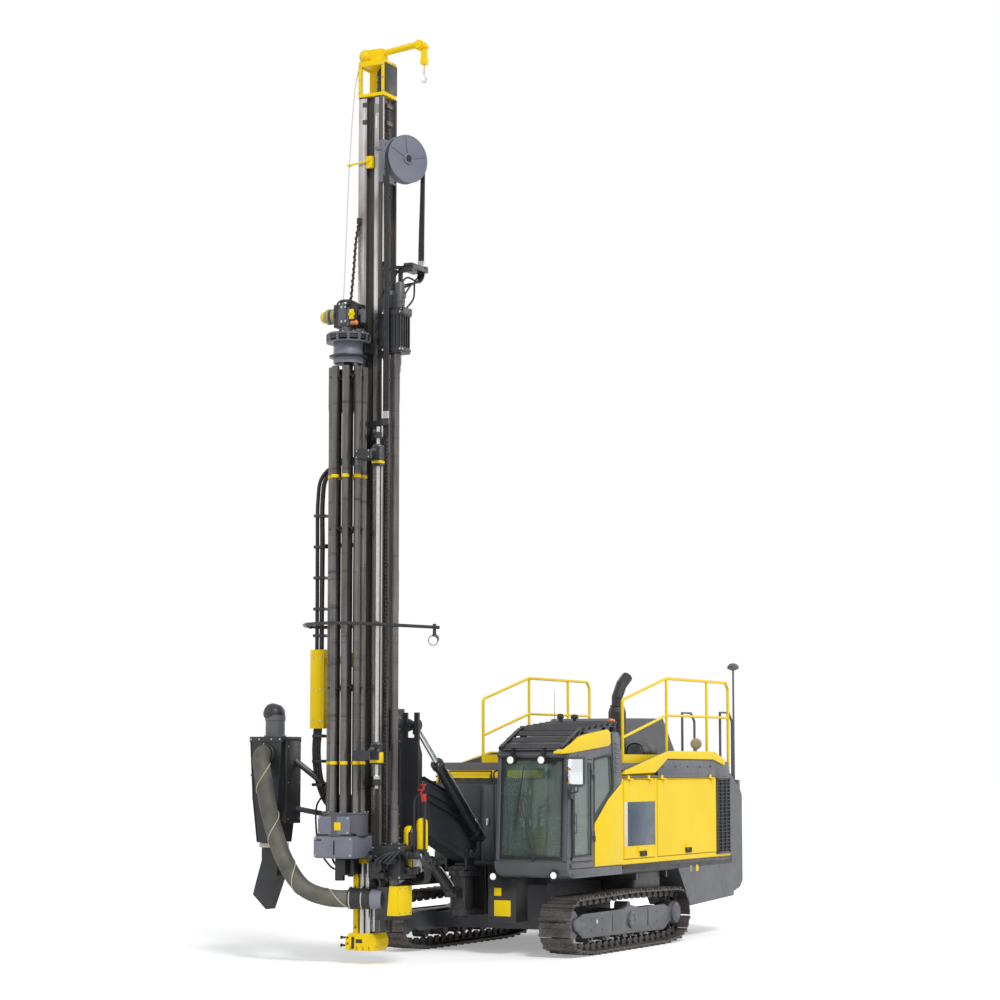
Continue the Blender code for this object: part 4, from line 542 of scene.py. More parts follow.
def plate(axis, outline, low, high):
    # an outline drawn on a plane and extruded along the axis
    piece = bpy.context.object
    bpy.ops.mesh.primitive_circle_add(vertices=len(outline), radius=1, fill_type="NGON")
    mesh, picked = pickedVerts(piece)
    for vertex, (a, b) in zip(picked, outline):
        vertex.co = laid(axis, a, b, low)
    bmesh.update_edit_mesh(piece.data)
    move = Vector([high - low if axis == letter else 0 for letter in "xyz"])
    bpy.ops.mesh.extrude_region_move(TRANSFORM_OT_translate={"value": move})
    bpy.ops.mesh.select_linked()
    bpy.ops.mesh.normals_make_consistent(inside=False)


def spun(base, along, profile, sides=32):
    # a closed profile of (radius, distance along the axis) spun right round
    piece = bpy.context.object
    start = rig(*base)
    way = Vector(along).normalized()
    side = way.orthogonal().normalized()
    bpy.ops.mesh.primitive_circle_add(vertices=len(profile), radius=1, fill_type="NOTHING")
    mesh, picked = pickedVerts(piece)
    for vertex, (radius, distance) in zip(picked, profile):
        vertex.co = start + way * distance + side * radius
    bmesh.update_edit_mesh(piece.data)
    bpy.ops.mesh.spin(steps=sides, angle=2 * pi, center=start, axis=way, use_auto_merge=True)
    bpy.ops.mesh.select_linked()
    bpy.ops.mesh.remove_doubles(threshold=0.0002)
    bpy.ops.mesh.select_linked()
    bpy.ops.mesh.normals_make_consistent(inside=False)


def capped(base, along, profile, sides=32):
    # a spun profile with flat ends that reach in to the axis
    spun(base, along, [(0.0005, profile[0][1]), *profile, (0.0005, profile[-1][1])], sides)


def finish(look, body="chassis", edge=0.004, rows=2, smooth=32, replaced=(), ride=True):
    # closes the open piece: eased edges, its finish, and the body that it rides on
    piece = bpy.context.object
    bpy.ops.object.mode_set(mode="OBJECT")
    bpy.ops.object.select_all(action="DESELECT")
    piece.select_set(True)
    if edge:
        bevel = piece.modifiers.new("edges", "BEVEL")
        bevel.width = edge
        bevel.segments = rows
        bevel.limit_method = "ANGLE"
        bevel.angle_limit = radians(38)
        bpy.ops.object.modifier_apply(modifier=bevel.name)
    bpy.ops.object.shade_smooth_by_angle(angle=radians(smooth))
    piece.data.materials.clear()
    piece.data.materials.append(finishes[look])
    if ride:
        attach(piece, body)
    if replaced:
        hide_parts(*replaced)
    return piece


def blockPiece(name, look, body, edge, x, y, z):
    begin(name)
    block(x, y, z)
    return finish(look, body, edge)


def rounded(points, radius, steps=6):
    # the route with each corner turned on an arc
    route = [Vector(p) for p in points]
    found = [route[0]]
    for before, corner, after in zip(route, route[1:], route[2:]):
        back, ahead = (before - corner), (after - corner)
        reach = min(radius, back.length * 0.45, ahead.length * 0.45)
        a, b = corner + back.normalized() * reach, corner + ahead.normalized() * reach
        for k in range(steps + 1):
            t = k / steps
            found.append(a * (1 - t) ** 2 + corner * 2 * t * (1 - t) + b * t * t)
    found.append(route[-1])
    return found


def flowing(points, steps=8):
    # a smooth curve through every point
    run = [Vector(p) for p in points]
    run = [run[0] * 2 - run[1]] + run + [run[-1] * 2 - run[-2]]
    found = []
    for a, b, c, d in zip(run, run[1:], run[2:], run[3:]):
        for k in range(steps):
            t = k / steps
            found.append(0.5 * ((2 * b) + (c - a) * t + (2 * a - 5 * b + 4 * c - d) * t * t
                + (3 * b - a - 3 * c + d) * t ** 3))
    found.append(run[-2])
    return found


def tubes(name, runs, radius, look, body="chassis", sides=3, smooth=50, ride=True, replaced=()):
    # round bars or hoses along routes in the rig's frame, as one piece
    curve = bpy.data.curves.new(name, "CURVE")
    curve.dimensions = "3D"
    curve.bevel_depth = radius
    curve.bevel_resolution = sides
    curve.use_fill_caps = True
    for run in runs:
        spline = curve.splines.new("POLY")
        spline.points.add(len(run) - 1)
        for point, place in zip(spline.points, run):
            point.co = (*(Vector(place) + shift), 1)
    piece = bpy.data.objects.new(name, curve)
    bpy.context.scene.collection.objects.link(piece)
    bpy.ops.object.select_all(action="DESELECT")
    piece.select_set(True)
    bpy.context.view_layer.objects.active = piece
    bpy.ops.object.convert(target="MESH")
    piece = bpy.context.object
    bpy.ops.object.mode_set(mode="EDIT")
    bpy.ops.mesh.select_all(action="SELECT")
    bpy.ops.mesh.remove_doubles(threshold=0.00001)
    bpy.ops.mesh.normals_make_consistent(inside=False)
    return finish(look, body, 0, 1, smooth, replaced, ride)


def coil(route, radius, turns, each=14):
    # a helix round a route, for a hose's wire or spiral guard
    run = [Vector(p) for p in route]
    lengths = [0.0]
    for a, b in zip(run, run[1:]):
        lengths.append(lengths[-1] + (b - a).length)
    side = (run[1] - run[0]).orthogonal().normalized()
    found = []
    count = int(turns * each)
    at = 0
    for k in range(count + 1):
        walked = lengths[-1] * k / count
        while at < len(run) - 2 and lengths[at + 1] < walked:
            at += 1
        way = (run[at + 1] - run[at]).normalized()
        share = (walked - lengths[at]) / (lengths[at + 1] - lengths[at])
        side = (side - way * side.dot(way)).normalized()
        turn = 2 * pi * k / each
        found.append(run[at].lerp(run[at + 1],
            share) + radius * (cos(turn) * side + sin(turn) * way.cross(side)))
    return found


def repeat(piece, places):
    # copies of one modelled piece, each with its own mesh, joined into it
    copies = []
    for place in places:
        twin = piece.copy()
        twin.data = piece.data.copy()
        twin.matrix_world = place
        bpy.context.scene.collection.objects.link(twin)
        copies.append(twin)
    name = piece.name
    bpy.data.objects.remove(piece)
    bpy.ops.object.select_all(action="DESELECT")
    for twin in copies:
        twin.select_set(True)
    bpy.context.view_layer.objects.active = copies[0]
    if len(copies) > 1:
        bpy.ops.object.join()
    bpy.ops.object.transform_apply(location=True, rotation=True, scale=True)
    joined = bpy.context.object
    joined.name = name
    return joined


def bolts(name, spots, radius, look="bright", body="chassis", tall=0.6):
    # hexagon heads with a washer: spots are (place, way out)
    piece = begin(name)
    bpy.ops.mesh.primitive_cylinder_add(vertices=12, radius=radius * 1.35, depth=radius * 0.3,
        location=(0, 0, radius * 0.15))
    bpy.ops.mesh.primitive_cylinder_add(vertices=6, radius=radius, depth=radius * tall * 2,
        location=(0, 0, radius * tall))
    bpy.ops.object.mode_set(mode="OBJECT")
    places = [Matrix.Translation(Vector(spot) + shift) @ Vector(way).to_track_quat("Z",
        "Y").to_matrix().to_4x4() for spot, way in spots]
    repeat(piece, places)
    return finish(look, body, 0)


def boltCircle(centre, radius, count, way, start=0.0):
    # bolt places evenly round a circle that faces along the way out, from a share of one step
    x, y, z = centre
    found = []
    for k in range(count):
        a = 2 * pi * (k + start) / count
        u, v = radius * cos(a), radius * sin(a)
        if way[2]:
            found.append(((x + u, y + v, z), way))
        elif way[1]:
            found.append(((x + u, y, z + v), way))
        else:
            found.append(((x, y + u, z + v), way))
    return found


# CAD nodes whose shape is right keep it, with eased edges and a real finish

nodeFinishes = {
    "graphite": "undercarriage cab_shell rear_housing deck cab_door",
    "black": (
        "main_frame roof_guard engine exhaust boom_post lift_cylinder_barrel "
        "dump_cylinder_barrel feed_mount feed_cradle carousel_top carousel_base breakout_table "
        "dust_separator guard_bar rotation_head lower_gripper upper_gripper lower_shaft_arm "
        "upper_shaft_arm hose_anchor dust_hood"),
    "slate": "front_box boom_arm",
    "glass": "windscreen rear_side_pane right_side_pane door_pane",
    "cloth": "seat",
    "yellow": (
        "canopy_shell handrail_left handrail_right mast_foot top_frame hose_tray service_jib "
        "hatch_front_left hatch_front_right hatch_rear_left hatch_rear_right"),
    "chrome": "lift_cylinder_rod dump_cylinder_rod",
    "mast": "mast_beam",
    "hose": "dust_hose",
    "rubber": "feed_hoses head_hoses",
    "steelBlue": "sheave_carriage hose_sheave",
    "rod": "drill_string carousel_rotor",
    "bright": "gripper_shaft",
    "track": "track_left track_right",
}
plainEdges = ("windscreen", "rear_side_pane", "right_side_pane", "door_pane")


def dressNodes():
    for name, look in ((name, look) for look, names in nodeFinishes.items() for name in names.split()):
        node = nodes[name]
        node.data.materials.clear()
        node.data.materials.append(finishes[look])
        weld = node.modifiers.new("weld", "WELD")
        weld.merge_threshold = 0.00005
        if name in plainEdges:
            continue
        flat = node.modifiers.new("flat", "DECIMATE")
        flat.decimate_type = "DISSOLVE"
        flat.angle_limit = radians(1.5)
        bevel = node.modifiers.new("edges", "BEVEL")
        bevel.width = 0.006
        bevel.segments = 2
        bevel.limit_method = "ANGLE"
        bevel.angle_limit = radians(40)
        bevel.harden_normals = False


dressNodes()
print("carried nodes dressed")


# Tracks: separate shoes on linked chains

trackLook = {"gauge": 2.15, "width": 0.40, "shoes": 44, "plate": 0.022, "lug": 0.028,
    "rolls": ((-1.065, 0.15, 0.10), (1.065, 0.15, 0.10), (1.46, 0.36, 0.27), (0.12, 0.556, 0.10),
    (-1.46, 0.36, 0.27))}


def beltRoute(rolls, steps=16):
    ways = []
    for i, (y, z, r) in enumerate(rolls):
        y2, z2, r2 = rolls[(i + 1) % len(rolls)]
        reach = hypot(y2 - y, z2 - z)
        dy, dz, lean = (y2 - y) / reach, (z2 - z) / reach, (r - r2) / reach
        out = sqrt(1 - lean * lean)
        ways.append(atan2(lean * dz - out * dy, lean * dy + out * dz))
    found = []
    for i, (y, z, r) in enumerate(rolls):
        start, end = ways[i - 1], ways[i]
        while end < start:
            end += 2 * pi
        for k in range(steps + 1):
            t = start + (end - start) * k / steps
            found.append((y + r * cos(t), z + r * sin(t)))
    return found


def evenJoints(route, count):
    lengths = [hypot(b[0] - a[0], b[1] - a[1]) for a, b in zip(route, route[1:] + route[:1])]
    step = sum(lengths) / count
    found, walked = [], 0.0
    for i, length in enumerate(lengths):
        while len(found) < count and len(found) * step <= walked + length:
            share = (len(found) * step - walked) / length if length else 0.0
            a, b = route[i], route[(i + 1) % len(route)]
            found.append((a[0] + (b[0] - a[0]) * share, a[1] + (b[1] - a[1]) * share))
        walked += length
    return found


def shoePlaces(middle):
    # one placing matrix for each shoe, along its length and out from the belt, and the pitch
    joints = evenJoints(beltRoute(trackLook["rolls"]), trackLook["shoes"])
    places, lengths = [], []
    for (y, z), (y2, z2) in zip(joints, joints[1:] + joints[:1]):
        length = hypot(y2 - y, z2 - z)
        dy, dz = (y2 - y) / length, (z2 - z) / length
        places.append(Matrix(((-1, 0, 0, middle + shift.x), (0, dy, dz, y + shift.y), (0, dz, -dy, z),
            (0, 0, 0, 1))))
        lengths.append(length)
    return places, lengths[0]


def localPlate(name, outline, low, high):
    # an outline of (along, out) extruded across, drawn at the origin
    piece = begin(name)
    bpy.ops.mesh.primitive_circle_add(vertices=len(outline), radius=1, fill_type="NGON")
    mesh, picked = pickedVerts(piece)
    for vertex, (a, b) in zip(picked, outline):
        vertex.co = (low, a, b)
    bmesh.update_edit_mesh(piece.data)
    bpy.ops.mesh.extrude_region_move(TRANSFORM_OT_translate={"value": (high - low, 0, 0)})
    bpy.ops.mesh.select_linked()
    bpy.ops.mesh.normals_make_consistent(inside=False)
    return piece


def makeTracks():
    look = trackLook
    half, plateTop, lugTop = look["width"] / 2, look["plate"], look["plate"] + look["lug"]
    for side, word in ((1, "left"), (-1, "right")):
        places, pitch = shoePlaces(side * look["gauge"] / 2)
        outline = ((0.004, 0.006), (pitch * 0.9, 0.004), (pitch * 0.97, 0.006),
            (pitch * 0.97, plateTop - 0.006), (pitch * 0.90, lugTop), (pitch * 0.80, lugTop),
            (pitch * 0.72, plateTop), (pitch * 0.40, plateTop), (pitch * 0.34, plateTop + 0.013),
            (pitch * 0.26, plateTop + 0.013), (pitch * 0.20, plateTop), (0.004, plateTop - 0.003))
        shoe = localPlate("shoes_" + word, outline, -half, half)
        for x in (-0.085, -0.035, 0.035, 0.085):
            bpy.ops.mesh.primitive_cylinder_add(vertices=6, radius=0.011, depth=0.012,
                location=(x, pitch * 0.56, plateTop + 0.003))
        bpy.ops.object.mode_set(mode="OBJECT")
        repeat(shoe, places)
        finish("track", edge=0.0025, rows=1, replaced=("track_" + word,))
        link = localPlate("links_" + word, ((-0.012, 0.004), (0.030, 0.004), (pitch * 0.6, 0.004),
            (pitch * 0.95, 0.002), (pitch * 1.02, -0.030), (pitch * 0.93, -0.052), (pitch * 0.75, -0.074),
            (pitch * 0.30, -0.074), (pitch * 0.12, -0.052), (-0.010, -0.052), (-0.034, -0.030)), 0.040,
            0.058)
        bpy.ops.mesh.select_all(action="SELECT")
        bpy.ops.mesh.duplicate_move(TRANSFORM_OT_translate={"value": (-0.098, 0, 0)})
        for x in (-0.066, 0.066):
            bpy.ops.mesh.primitive_cylinder_add(vertices=12, radius=0.023, depth=0.030,
                location=(x, 0.0, -0.030), rotation=(0, pi / 2, 0))
        bpy.ops.mesh.primitive_cylinder_add(vertices=10, radius=0.014, depth=0.17,
            location=(0, 0.0, -0.030), rotation=(0, pi / 2, 0))
        bpy.ops.object.mode_set(mode="OBJECT")
        repeat(link, places)
        finish("track", edge=0.0, smooth=28)


makeTracks()
print("tracks ready")


# Running gear details on each track frame

gearLook = {"sprocketY": 1.46, "axleZ": 0.36, "face": 0.10}


def makeRunningGear():
    for side, word in ((1, "left"), (-1, "right")):
        middle = side * trackLook["gauge"] / 2
        face = middle + side * gearLook["face"]
        out = (side, 0, 0)
        begin("trackFramePlates_" + word)
        panel = ((-1.42, 0.30), (-1.22, 0.20), (1.10, 0.17), (1.30, 0.26), (1.36, 0.40), (1.12, 0.475),
            (-1.22, 0.475), (-1.42, 0.42))
        plate("x", panel, face - side * 0.004, face + side * 0.014)
        saddle = ((-0.30, 0.445), (0.54, 0.445), (0.36, 0.47), (0.20, 0.505), (0.04, 0.505), (-0.12, 0.47))
        plate("x", saddle, face - side * 0.14, face + side * 0.010)
        for y in (-0.42, 0.62):
            plate("x", ((y, 0.24), (y + 0.016, 0.24), (y + 0.016, 0.44), (y, 0.44)), face + side * 0.010,
                face + side * 0.022)
        finish("graphite", edge=0.005)
        begin("trackFrameBoss_" + word)
        spun((face, 0.12, 0.335), out, ((0, 0), (0.098, 0), (0.098, 0.030), (0.088, 0.042),
            (0.060, 0.046), (0.055, 0.038), (0, 0.038)), 36)
        spun((face - side * 0.01, -1.40, 0.36), out,
            ((0, 0), (0.075, 0), (0.075, 0.028), (0.066, 0.036), (0, 0.036)), 28)
        block((face - side * 0.03, face + side * 0.02), (-1.46, -1.18), (0.335, 0.385))
        finish("graphite", edge=0.003)
        begin("finalDrive_" + word)
        spun((middle + side * 0.06, gearLook["sprocketY"], gearLook["axleZ"]), out,
            ((0, 0), (0.140, 0), (0.140, 0.035), (0.128, 0.045), (0.128, 0.070), (0.112, 0.082),
            (0.085, 0.086), (0.080, 0.095), (0, 0.095)), 44)
        finish("graphite", edge=0.0025)
        spots = boltCircle((middle + side * 0.128, gearLook["sprocketY"], gearLook["axleZ"]), 0.118, 16,
            out)
        spots += boltCircle((face + side * 0.042, 0.12, 0.335), 0.072, 6, out)
        spots += [((face + side * 0.012, y, z), out) for y in (-1.0, -0.7, 0.9) for z in (0.28, 0.40)]
        bolts("trackFrameBolts_" + word, spots, 0.0085, "graphite")
        begin("trackRollers_" + word)
        for k in range(6):
            y = -0.96 + k * 0.384
            spun((middle - 0.105, y, 0.195), (1, 0, 0),
                ((0, 0), (0.030, 0), (0.034, 0.02), (0.052, 0.022), (0.058, 0.030), (0.058, 0.060),
                (0.045, 0.066), (0.045, 0.144), (0.058, 0.150), (0.058, 0.180), (0.052, 0.188),
                (0.034, 0.190), (0.030, 0.21), (0, 0.21)), 20)
        finish("track", edge=0.0)
        begin("frameGrease_" + word)
        spun((face + side * 0.012, -0.86, 0.37), out,
            ((0, 0), (0.028, 0), (0.028, 0.010), (0.020, 0.016), (0, 0.016)), 18)
        finish("bright", edge=0.0015)


makeRunningGear()
print("running gear ready")


# Carrier between the tracks, and the dark hull under the deck

def makeHull():
    begin("hullPlates")
    for x in (-0.64, 0.62):
        block((x, x + 0.02), (-0.95, 3.2), (0.80, 0.985))
    block((-1.19, 1.19), (-0.2, 3.1), (0.885, 0.899))
    for y in (0.3, 1.2, 2.4):
        block((0.64, 1.18), (y, y + 0.05), (0.80, 0.898))
        block((-1.18, -0.64), (y, y + 0.05), (0.80, 0.898))
    finish("black", edge=0.004)
    begin("underTank")
    block((0.68, 1.14), (0.34, 1.12), (0.62, 0.90))
    block((-1.14, -0.68), (0.34, 1.12), (0.62, 0.90))
    finish("black", edge=0.03, rows=4)
    begin("slewRing")
    spun((0, 0.1, 0.70), (0, 0, 1), ((0.40, 0), (0.52, 0), (0.52, 0.035), (0.50, 0.045), (0.50, 0.079),
        (0.40, 0.079)), 48)
    finish("track", edge=0.002)
    tubes("hullHoses", [flowing([(0.70 + 0.05 * k, 1.2, 0.86), (0.80 + 0.04 * k, 1.5, 0.70 - 0.03 * k),
        (0.86, 1.62 + 0.05 * k, 0.58)], 6) for k in range(3)], 0.016, "rubber")


makeHull()
print("hull ready")


# Cab: seals, lower panel, visor, lamps, seat and controls

cabLook = {"right": 0.35, "left": 1.25, "front": -1.78, "seal": 0.022}


def screenY(z):
    # the windscreen's slope
    return cabLook["front"] + 0.05 * (z - 1.08)


def ringPlate(axis, outline, hole, low, high):
    # a flat frame: an outline with the same number of points as its opening
    piece = bpy.context.object
    mesh = bmesh.from_edit_mesh(piece.data)
    rows = [[mesh.verts.new(laid(axis, a, b, h)) for a, b in ring] for h in (low, high)
        for ring in (outline, hole)]
    outerLow, innerLow, outerHigh, innerHigh = rows
    count = len(outline)
    made = []
    for i in range(count):
        j = (i + 1) % count
        for a, b in ((outerLow, innerLow), (innerLow, innerHigh), (innerHigh, outerHigh),
                (outerHigh, outerLow)):
            made.append(mesh.faces.new((a[i], a[j], b[j], b[i])))
    bmesh.ops.recalc_face_normals(mesh, faces=made)
    bmesh.update_edit_mesh(piece.data)


def grown(outline, by):
    # a convex outline moved outwards (or inwards) by a distance
    count = len(outline)
    area = sum(a[0] * b[1] - b[0] * a[1] for a, b in zip(outline, outline[1:] + outline[:1]))
    way = 1 if area > 0 else -1
    found = []
    for i in range(count):
        lines = []
        for a, b in ((outline[i - 1], outline[i]), (outline[i], outline[(i + 1) % count])):
            dx, dy = b[0] - a[0], b[1] - a[1]
            size = hypot(dx, dy)
            normal = (dy / size * way, -dx / size * way)
            lines.append((normal, normal[0] * a[0] + normal[1] * a[1] + by))
        (n1, d1), (n2, d2) = lines
        det = n1[0] * n2[1] - n1[1] * n2[0]
        found.append(((d1 * n2[1] - d2 * n1[1]) / det, (n1[0] * d2 - n2[0] * d1) / det))
    return found


def makeCabSeals():
    piece = begin("cabSeals")
    edge = cabLook["seal"]
    low, high = 1.13, 2.23
    x = (cabLook["right"] + 0.07, cabLook["left"] - 0.07)
    opening = [(x[0], low), (x[1], low), (x[1], high), (x[0], high)]
    ringPlate("y", grown(opening, edge), grown(opening, -0.012), -0.004, 0.004)
    mesh = bmesh.from_edit_mesh(piece.data)
    for vertex in mesh.verts:
        vertex.co.y += screenY(vertex.co.z) - 0.004
    bmesh.update_edit_mesh(piece.data)
    window = [(-1.04, 1.52), (-0.52, 1.87), (-0.56, 2.29), (-1.04, 2.24)]
    side = cabLook["left"]
    ringPlate("x", grown(window, 0.018), grown(window, -0.012), side - 0.001, side + 0.005)
    far = [(-1.58, 1.30), (-0.52, 1.30), (-0.52, 2.24), (-1.58, 2.24)]
    right = cabLook["right"]
    ringPlate("x", grown(far, 0.018), grown(far, -0.012), right - 0.005, right + 0.001)
    finish("rubber", "chassis", 0.002)
    begin("doorSeal")
    pane = [(-1.604, 1.146), (-1.156, 1.146), (-1.156, 2.184), (-1.604, 2.184)]
    ringPlate("x", grown(pane, 0.016), grown(pane, -0.010), side + 0.011, side + 0.016)
    finish("rubber", "left_cab_door", 0.002)


def makeCabPanels():
    side = cabLook["left"]
    begin("cabSidePanel")
    plate("x", [(-1.042, 1.008), (-0.285, 1.008), (-0.285, 1.958), (-0.66, 1.775), (-1.042, 1.502)],
        side + 0.0005, side + 0.012)
    finish("yellow", "chassis", 0.005, 3)
    begin("cabVisor")
    plate("x", [(-1.925, 2.298), (-1.66, 2.312), (-0.66, 2.395), (-0.60, 2.43), (-0.62, 2.56),
        (-0.70, 2.588), (-1.34, 2.520), (-1.46, 2.495), (-1.66, 2.415), (-1.925, 2.325)], side - 0.018,
        side + 0.020)
    plate("x", [(-1.925, 2.300), (-1.80, 2.306), (-1.80, 2.355), (-1.925, 2.325)], side - 0.10,
        side - 0.016)
    finish("yellow", "chassis", 0.009, 3)
    begin("cabSkirt")
    plate("x", [(-1.800, 1.082), (-1.795, 1.02), (-1.735, 0.925), (-1.60, 0.895), (-1.60, 0.935),
        (-1.72, 0.97), (-1.757, 1.02), (-1.765, 1.082)], cabLook["right"] - 0.01, side + 0.012)
    plate("x", [(-1.72, 0.998), (-1.72, 0.93), (-1.60, 0.895), (-0.285, 0.895), (-0.285, 0.998)],
        side - 0.03, side + 0.012)
    plate("x", [(-1.69, 1.062), (-1.69, 1.008), (-1.10, 1.008), (-1.10, 1.062)], side + 0.0005,
        side + 0.020)
    finish("graphite", "chassis", 0.006, 2)
    begin("rearCornerPanel")
    # the grey corner behind the side window, with its louvres
    plate("x", [(-0.50, 1.905), (-0.285, 1.985), (-0.285, 2.30), (-0.40, 2.545), (-0.56, 2.545),
        (-0.535, 2.33)], side + 0.0005, side + 0.010)
    for k in range(7):
        z = 2.085 + 0.055 * k
        y = -0.475 + 0.001 * k
        block((side + 0.008, side + 0.018), (y, y + 0.125 - 0.010 * max(0, k - 4)), (z, z + 0.020),
            (0, radians(-14), 0))
    finish("graphite", "chassis", 0.003)
    begin("cabPillars")
    # raised front corner posts and the rim over the windscreen
    for x in (cabLook["right"], side - 0.058):
        plate("x", [(screenY(1.09) - 0.014, 1.09), (screenY(2.30) - 0.014, 2.30),
            (screenY(2.30) + 0.01, 2.30), (screenY(1.09) + 0.01, 1.09)], x + 0.004, x + 0.050)
    plate("x", [(-1.742, 2.255), (-1.762, 2.285), (-1.70, 2.350), (-1.66, 2.340)],
        cabLook["right"] + 0.004, side - 0.004)
    finish("graphite", "chassis", 0.008, 3)


def makeCabDetails():
    side = cabLook["left"]
    begin("cabWiper")
    foot = (0.84, screenY(1.12) - 0.026, 1.12)
    tip = (0.64, screenY(1.85) - 0.020, 1.85)
    rod((foot[0], foot[1] - 0.012, foot[2]), (foot[0], foot[1] + 0.016, foot[2]), 0.022, 20)
    rod((foot[0], foot[1] - 0.008, foot[2]), (tip[0], tip[1] - 0.006, tip[2]), 0.008, 10, 0.005)
    rod((0.60, screenY(1.42) - 0.016, 1.42), (0.69, screenY(2.16) - 0.016, 2.16), 0.007, 8)
    rod((0.605, screenY(1.42) - 0.024, 1.46), (0.685, screenY(2.16) - 0.024, 2.12), 0.005, 8)
    finish("moulded", "chassis", 0)
    tubes("cabGrabRails", [rounded([(0.335, -1.66, 1.20), (0.285, -1.70, 1.22), (0.285, -1.70, 2.10),
        (0.335, -1.66, 2.12)], 0.04), rounded([(1.262, -1.70, 1.12), (1.300, -1.72, 1.14),
        (1.300, -1.72, 1.78), (1.262, -1.70, 1.80)], 0.03)], 0.011, "moulded", "chassis", 4)
    begin("doorHandle")
    plate("x", [(-1.648, 1.36), (-1.606, 1.36), (-1.606, 1.68), (-1.648, 1.68)], side + 0.012, side + 0.018)
    block((side + 0.012, side + 0.030), (-1.640, -1.614), (1.50, 1.545))
    rod((side + 0.017, -1.627, 1.42), (side + 0.026, -1.627, 1.42), 0.011, 16)
    finish("moulded", "left_cab_door", 0.003)
    piece = begin("mirrorHead")
    # a rounded shell round the CAD's mirror, glass on its rear face
    y = -1.905
    block((side + 0.050, side + 0.290), (y - 0.022, y + 0.030), (1.93, 2.27))
    bevelled = bmesh.from_edit_mesh(piece.data)
    bmesh.ops.bevel(bevelled, geom=bevelled.edges[:], offset=0.020, segments=4, affect="EDGES")
    bmesh.update_edit_mesh(piece.data)
    finish("graphite", "chassis", 0)
    begin("mirrorFace")
    block((side + 0.068, side + 0.272), (y + 0.028, y + 0.034), (1.950, 2.250))
    block((side + 0.068, side + 0.272), (y - 0.0255, y - 0.021), (1.960, 2.240))
    finish("mirror", "chassis", 0.003)
    begin("frontLamps")
    lampSpots = ((0.58, -1.85, 2.23, 0.048), (0.97, -1.85, 2.23, 0.048), (0.30, -1.735, 0.905, 0.045),
        (1.10, -1.800, 0.935, 0.045))
    for x, y, z, r in lampSpots:
        spun((x, y, z), (0, -1, 0), [(0.0005, 0.012), (r * 0.86, 0.012), (r * 0.86, 0.018),
            (r * 0.7, 0.026), (0.0005, 0.030)], 24)
    finish("lamp", "chassis", 0)
    begin("lampShells")
    for x, y, z, r in lampSpots:
        spun((x, y, z), (0, -1, 0), [(r * 0.55, -0.045), (r, -0.010), (r * 1.08, 0.022),
            (r * 0.92, 0.024), (r * 0.90, 0.008), (0.0005, 0.006), (0.0005, -0.045)], 24)
    for x, y, z, r in lampSpots[2:]:
        block((x - 0.012, x + 0.012), (y + 0.01, y + 0.10), (z + 0.005, z + 0.030))
    finish("moulded", "chassis", 0)
    begin("roofBeacon")
    block((1.07, 1.17), (-0.36, -0.22), (2.562, 2.578))
    capped((1.12, -0.27, 2.575), (0, 0, 1), [(0.060, 0.0), (0.060, 0.045), (0.052, 0.050)], 24)
    finish("moulded", "chassis", 0.003)
    begin("beaconLens")
    spun((1.12, -0.27, 2.625), (0, 0, 1), [(0.0005, 0.0), (0.050, 0.0), (0.048, 0.070), (0.040, 0.092),
        (0.0005, 0.098)], 24)
    finish("orange", "chassis", 0)
    begin("roofPods")
    for x, y, r, tall in ((0.52, -0.42, 0.038, 0.06), (0.70, -0.40, 0.045, 0.05),
            (0.62, -0.60, 0.030, 0.05)):
        spun((x, y, 2.62), (0, 0, 1), [(0.0005, 0.0), (0.018, 0.0), (0.018, 0.10), (r, 0.105),
            (r * 1.06, 0.12), (r * 0.8, 0.10 + tall), (0.0005, 0.105 + tall)], 20)
    rod((0.46, -0.45, 2.55), (0.46, -0.45, 3.05), 0.004, 8, 0.002)
    finish("moulded", "chassis", 0)


cushionLook = {"crown": 0.22, "corner": 0.30, "groove": 0.10, "grooveWidth": 0.07}


def cushion(name, x, y, z, lean, grooves=()):
    # a crowned pad: sides pulled in between its corners, with sewn channels across it
    piece = begin(name)
    bpy.ops.mesh.primitive_cube_add(size=2)
    bpy.ops.mesh.subdivide(number_cuts=11)
    mesh = bmesh.from_edit_mesh(piece.data)
    half = [(b - a) / 2 for a, b in (x, y, z)]
    middle = [(a + b) / 2 for a, b in (x, y, z)]
    turn = Matrix.Rotation(lean, 3, "X")
    for vertex in mesh.verts:
        u, v, w = vertex.co
        pull = cushionLook["corner"]
        full = [sqrt(max(0.0, 1 - pull * b * b - pull * c * c + 0.12 * b * b * c * c))
            for b, c in ((v, w), (u, w), (u, v))]
        px, py, pz = u * full[0] ** 0.5, v * full[1] ** 0.5, w * full[2]
        fall = (1 - u * u) * (1 - v * v)
        pz *= 0.78 + cushionLook["crown"] * fall
        for place in grooves:
            sink = cushionLook["groove"] if w > 0 else 0.0
            pz -= sink * 2.718 ** (-((v - place) / cushionLook["grooveWidth"]) ** 2) * (1 - u ** 6)
        local = turn @ Vector((px * half[0], py * half[1], pz * half[2]))
        vertex.co = rig(*middle) + local
    bmesh.update_edit_mesh(piece.data)
    bpy.ops.object.mode_set(mode="OBJECT")
    smooth = piece.modifiers.new("soft", "SUBSURF")
    smooth.levels = smooth.render_levels = 1
    bpy.ops.object.modifier_apply(modifier=smooth.name)
    bpy.ops.object.mode_set(mode="EDIT")
    made = finish("cloth", "chassis", 0, 1, 60)
    return made


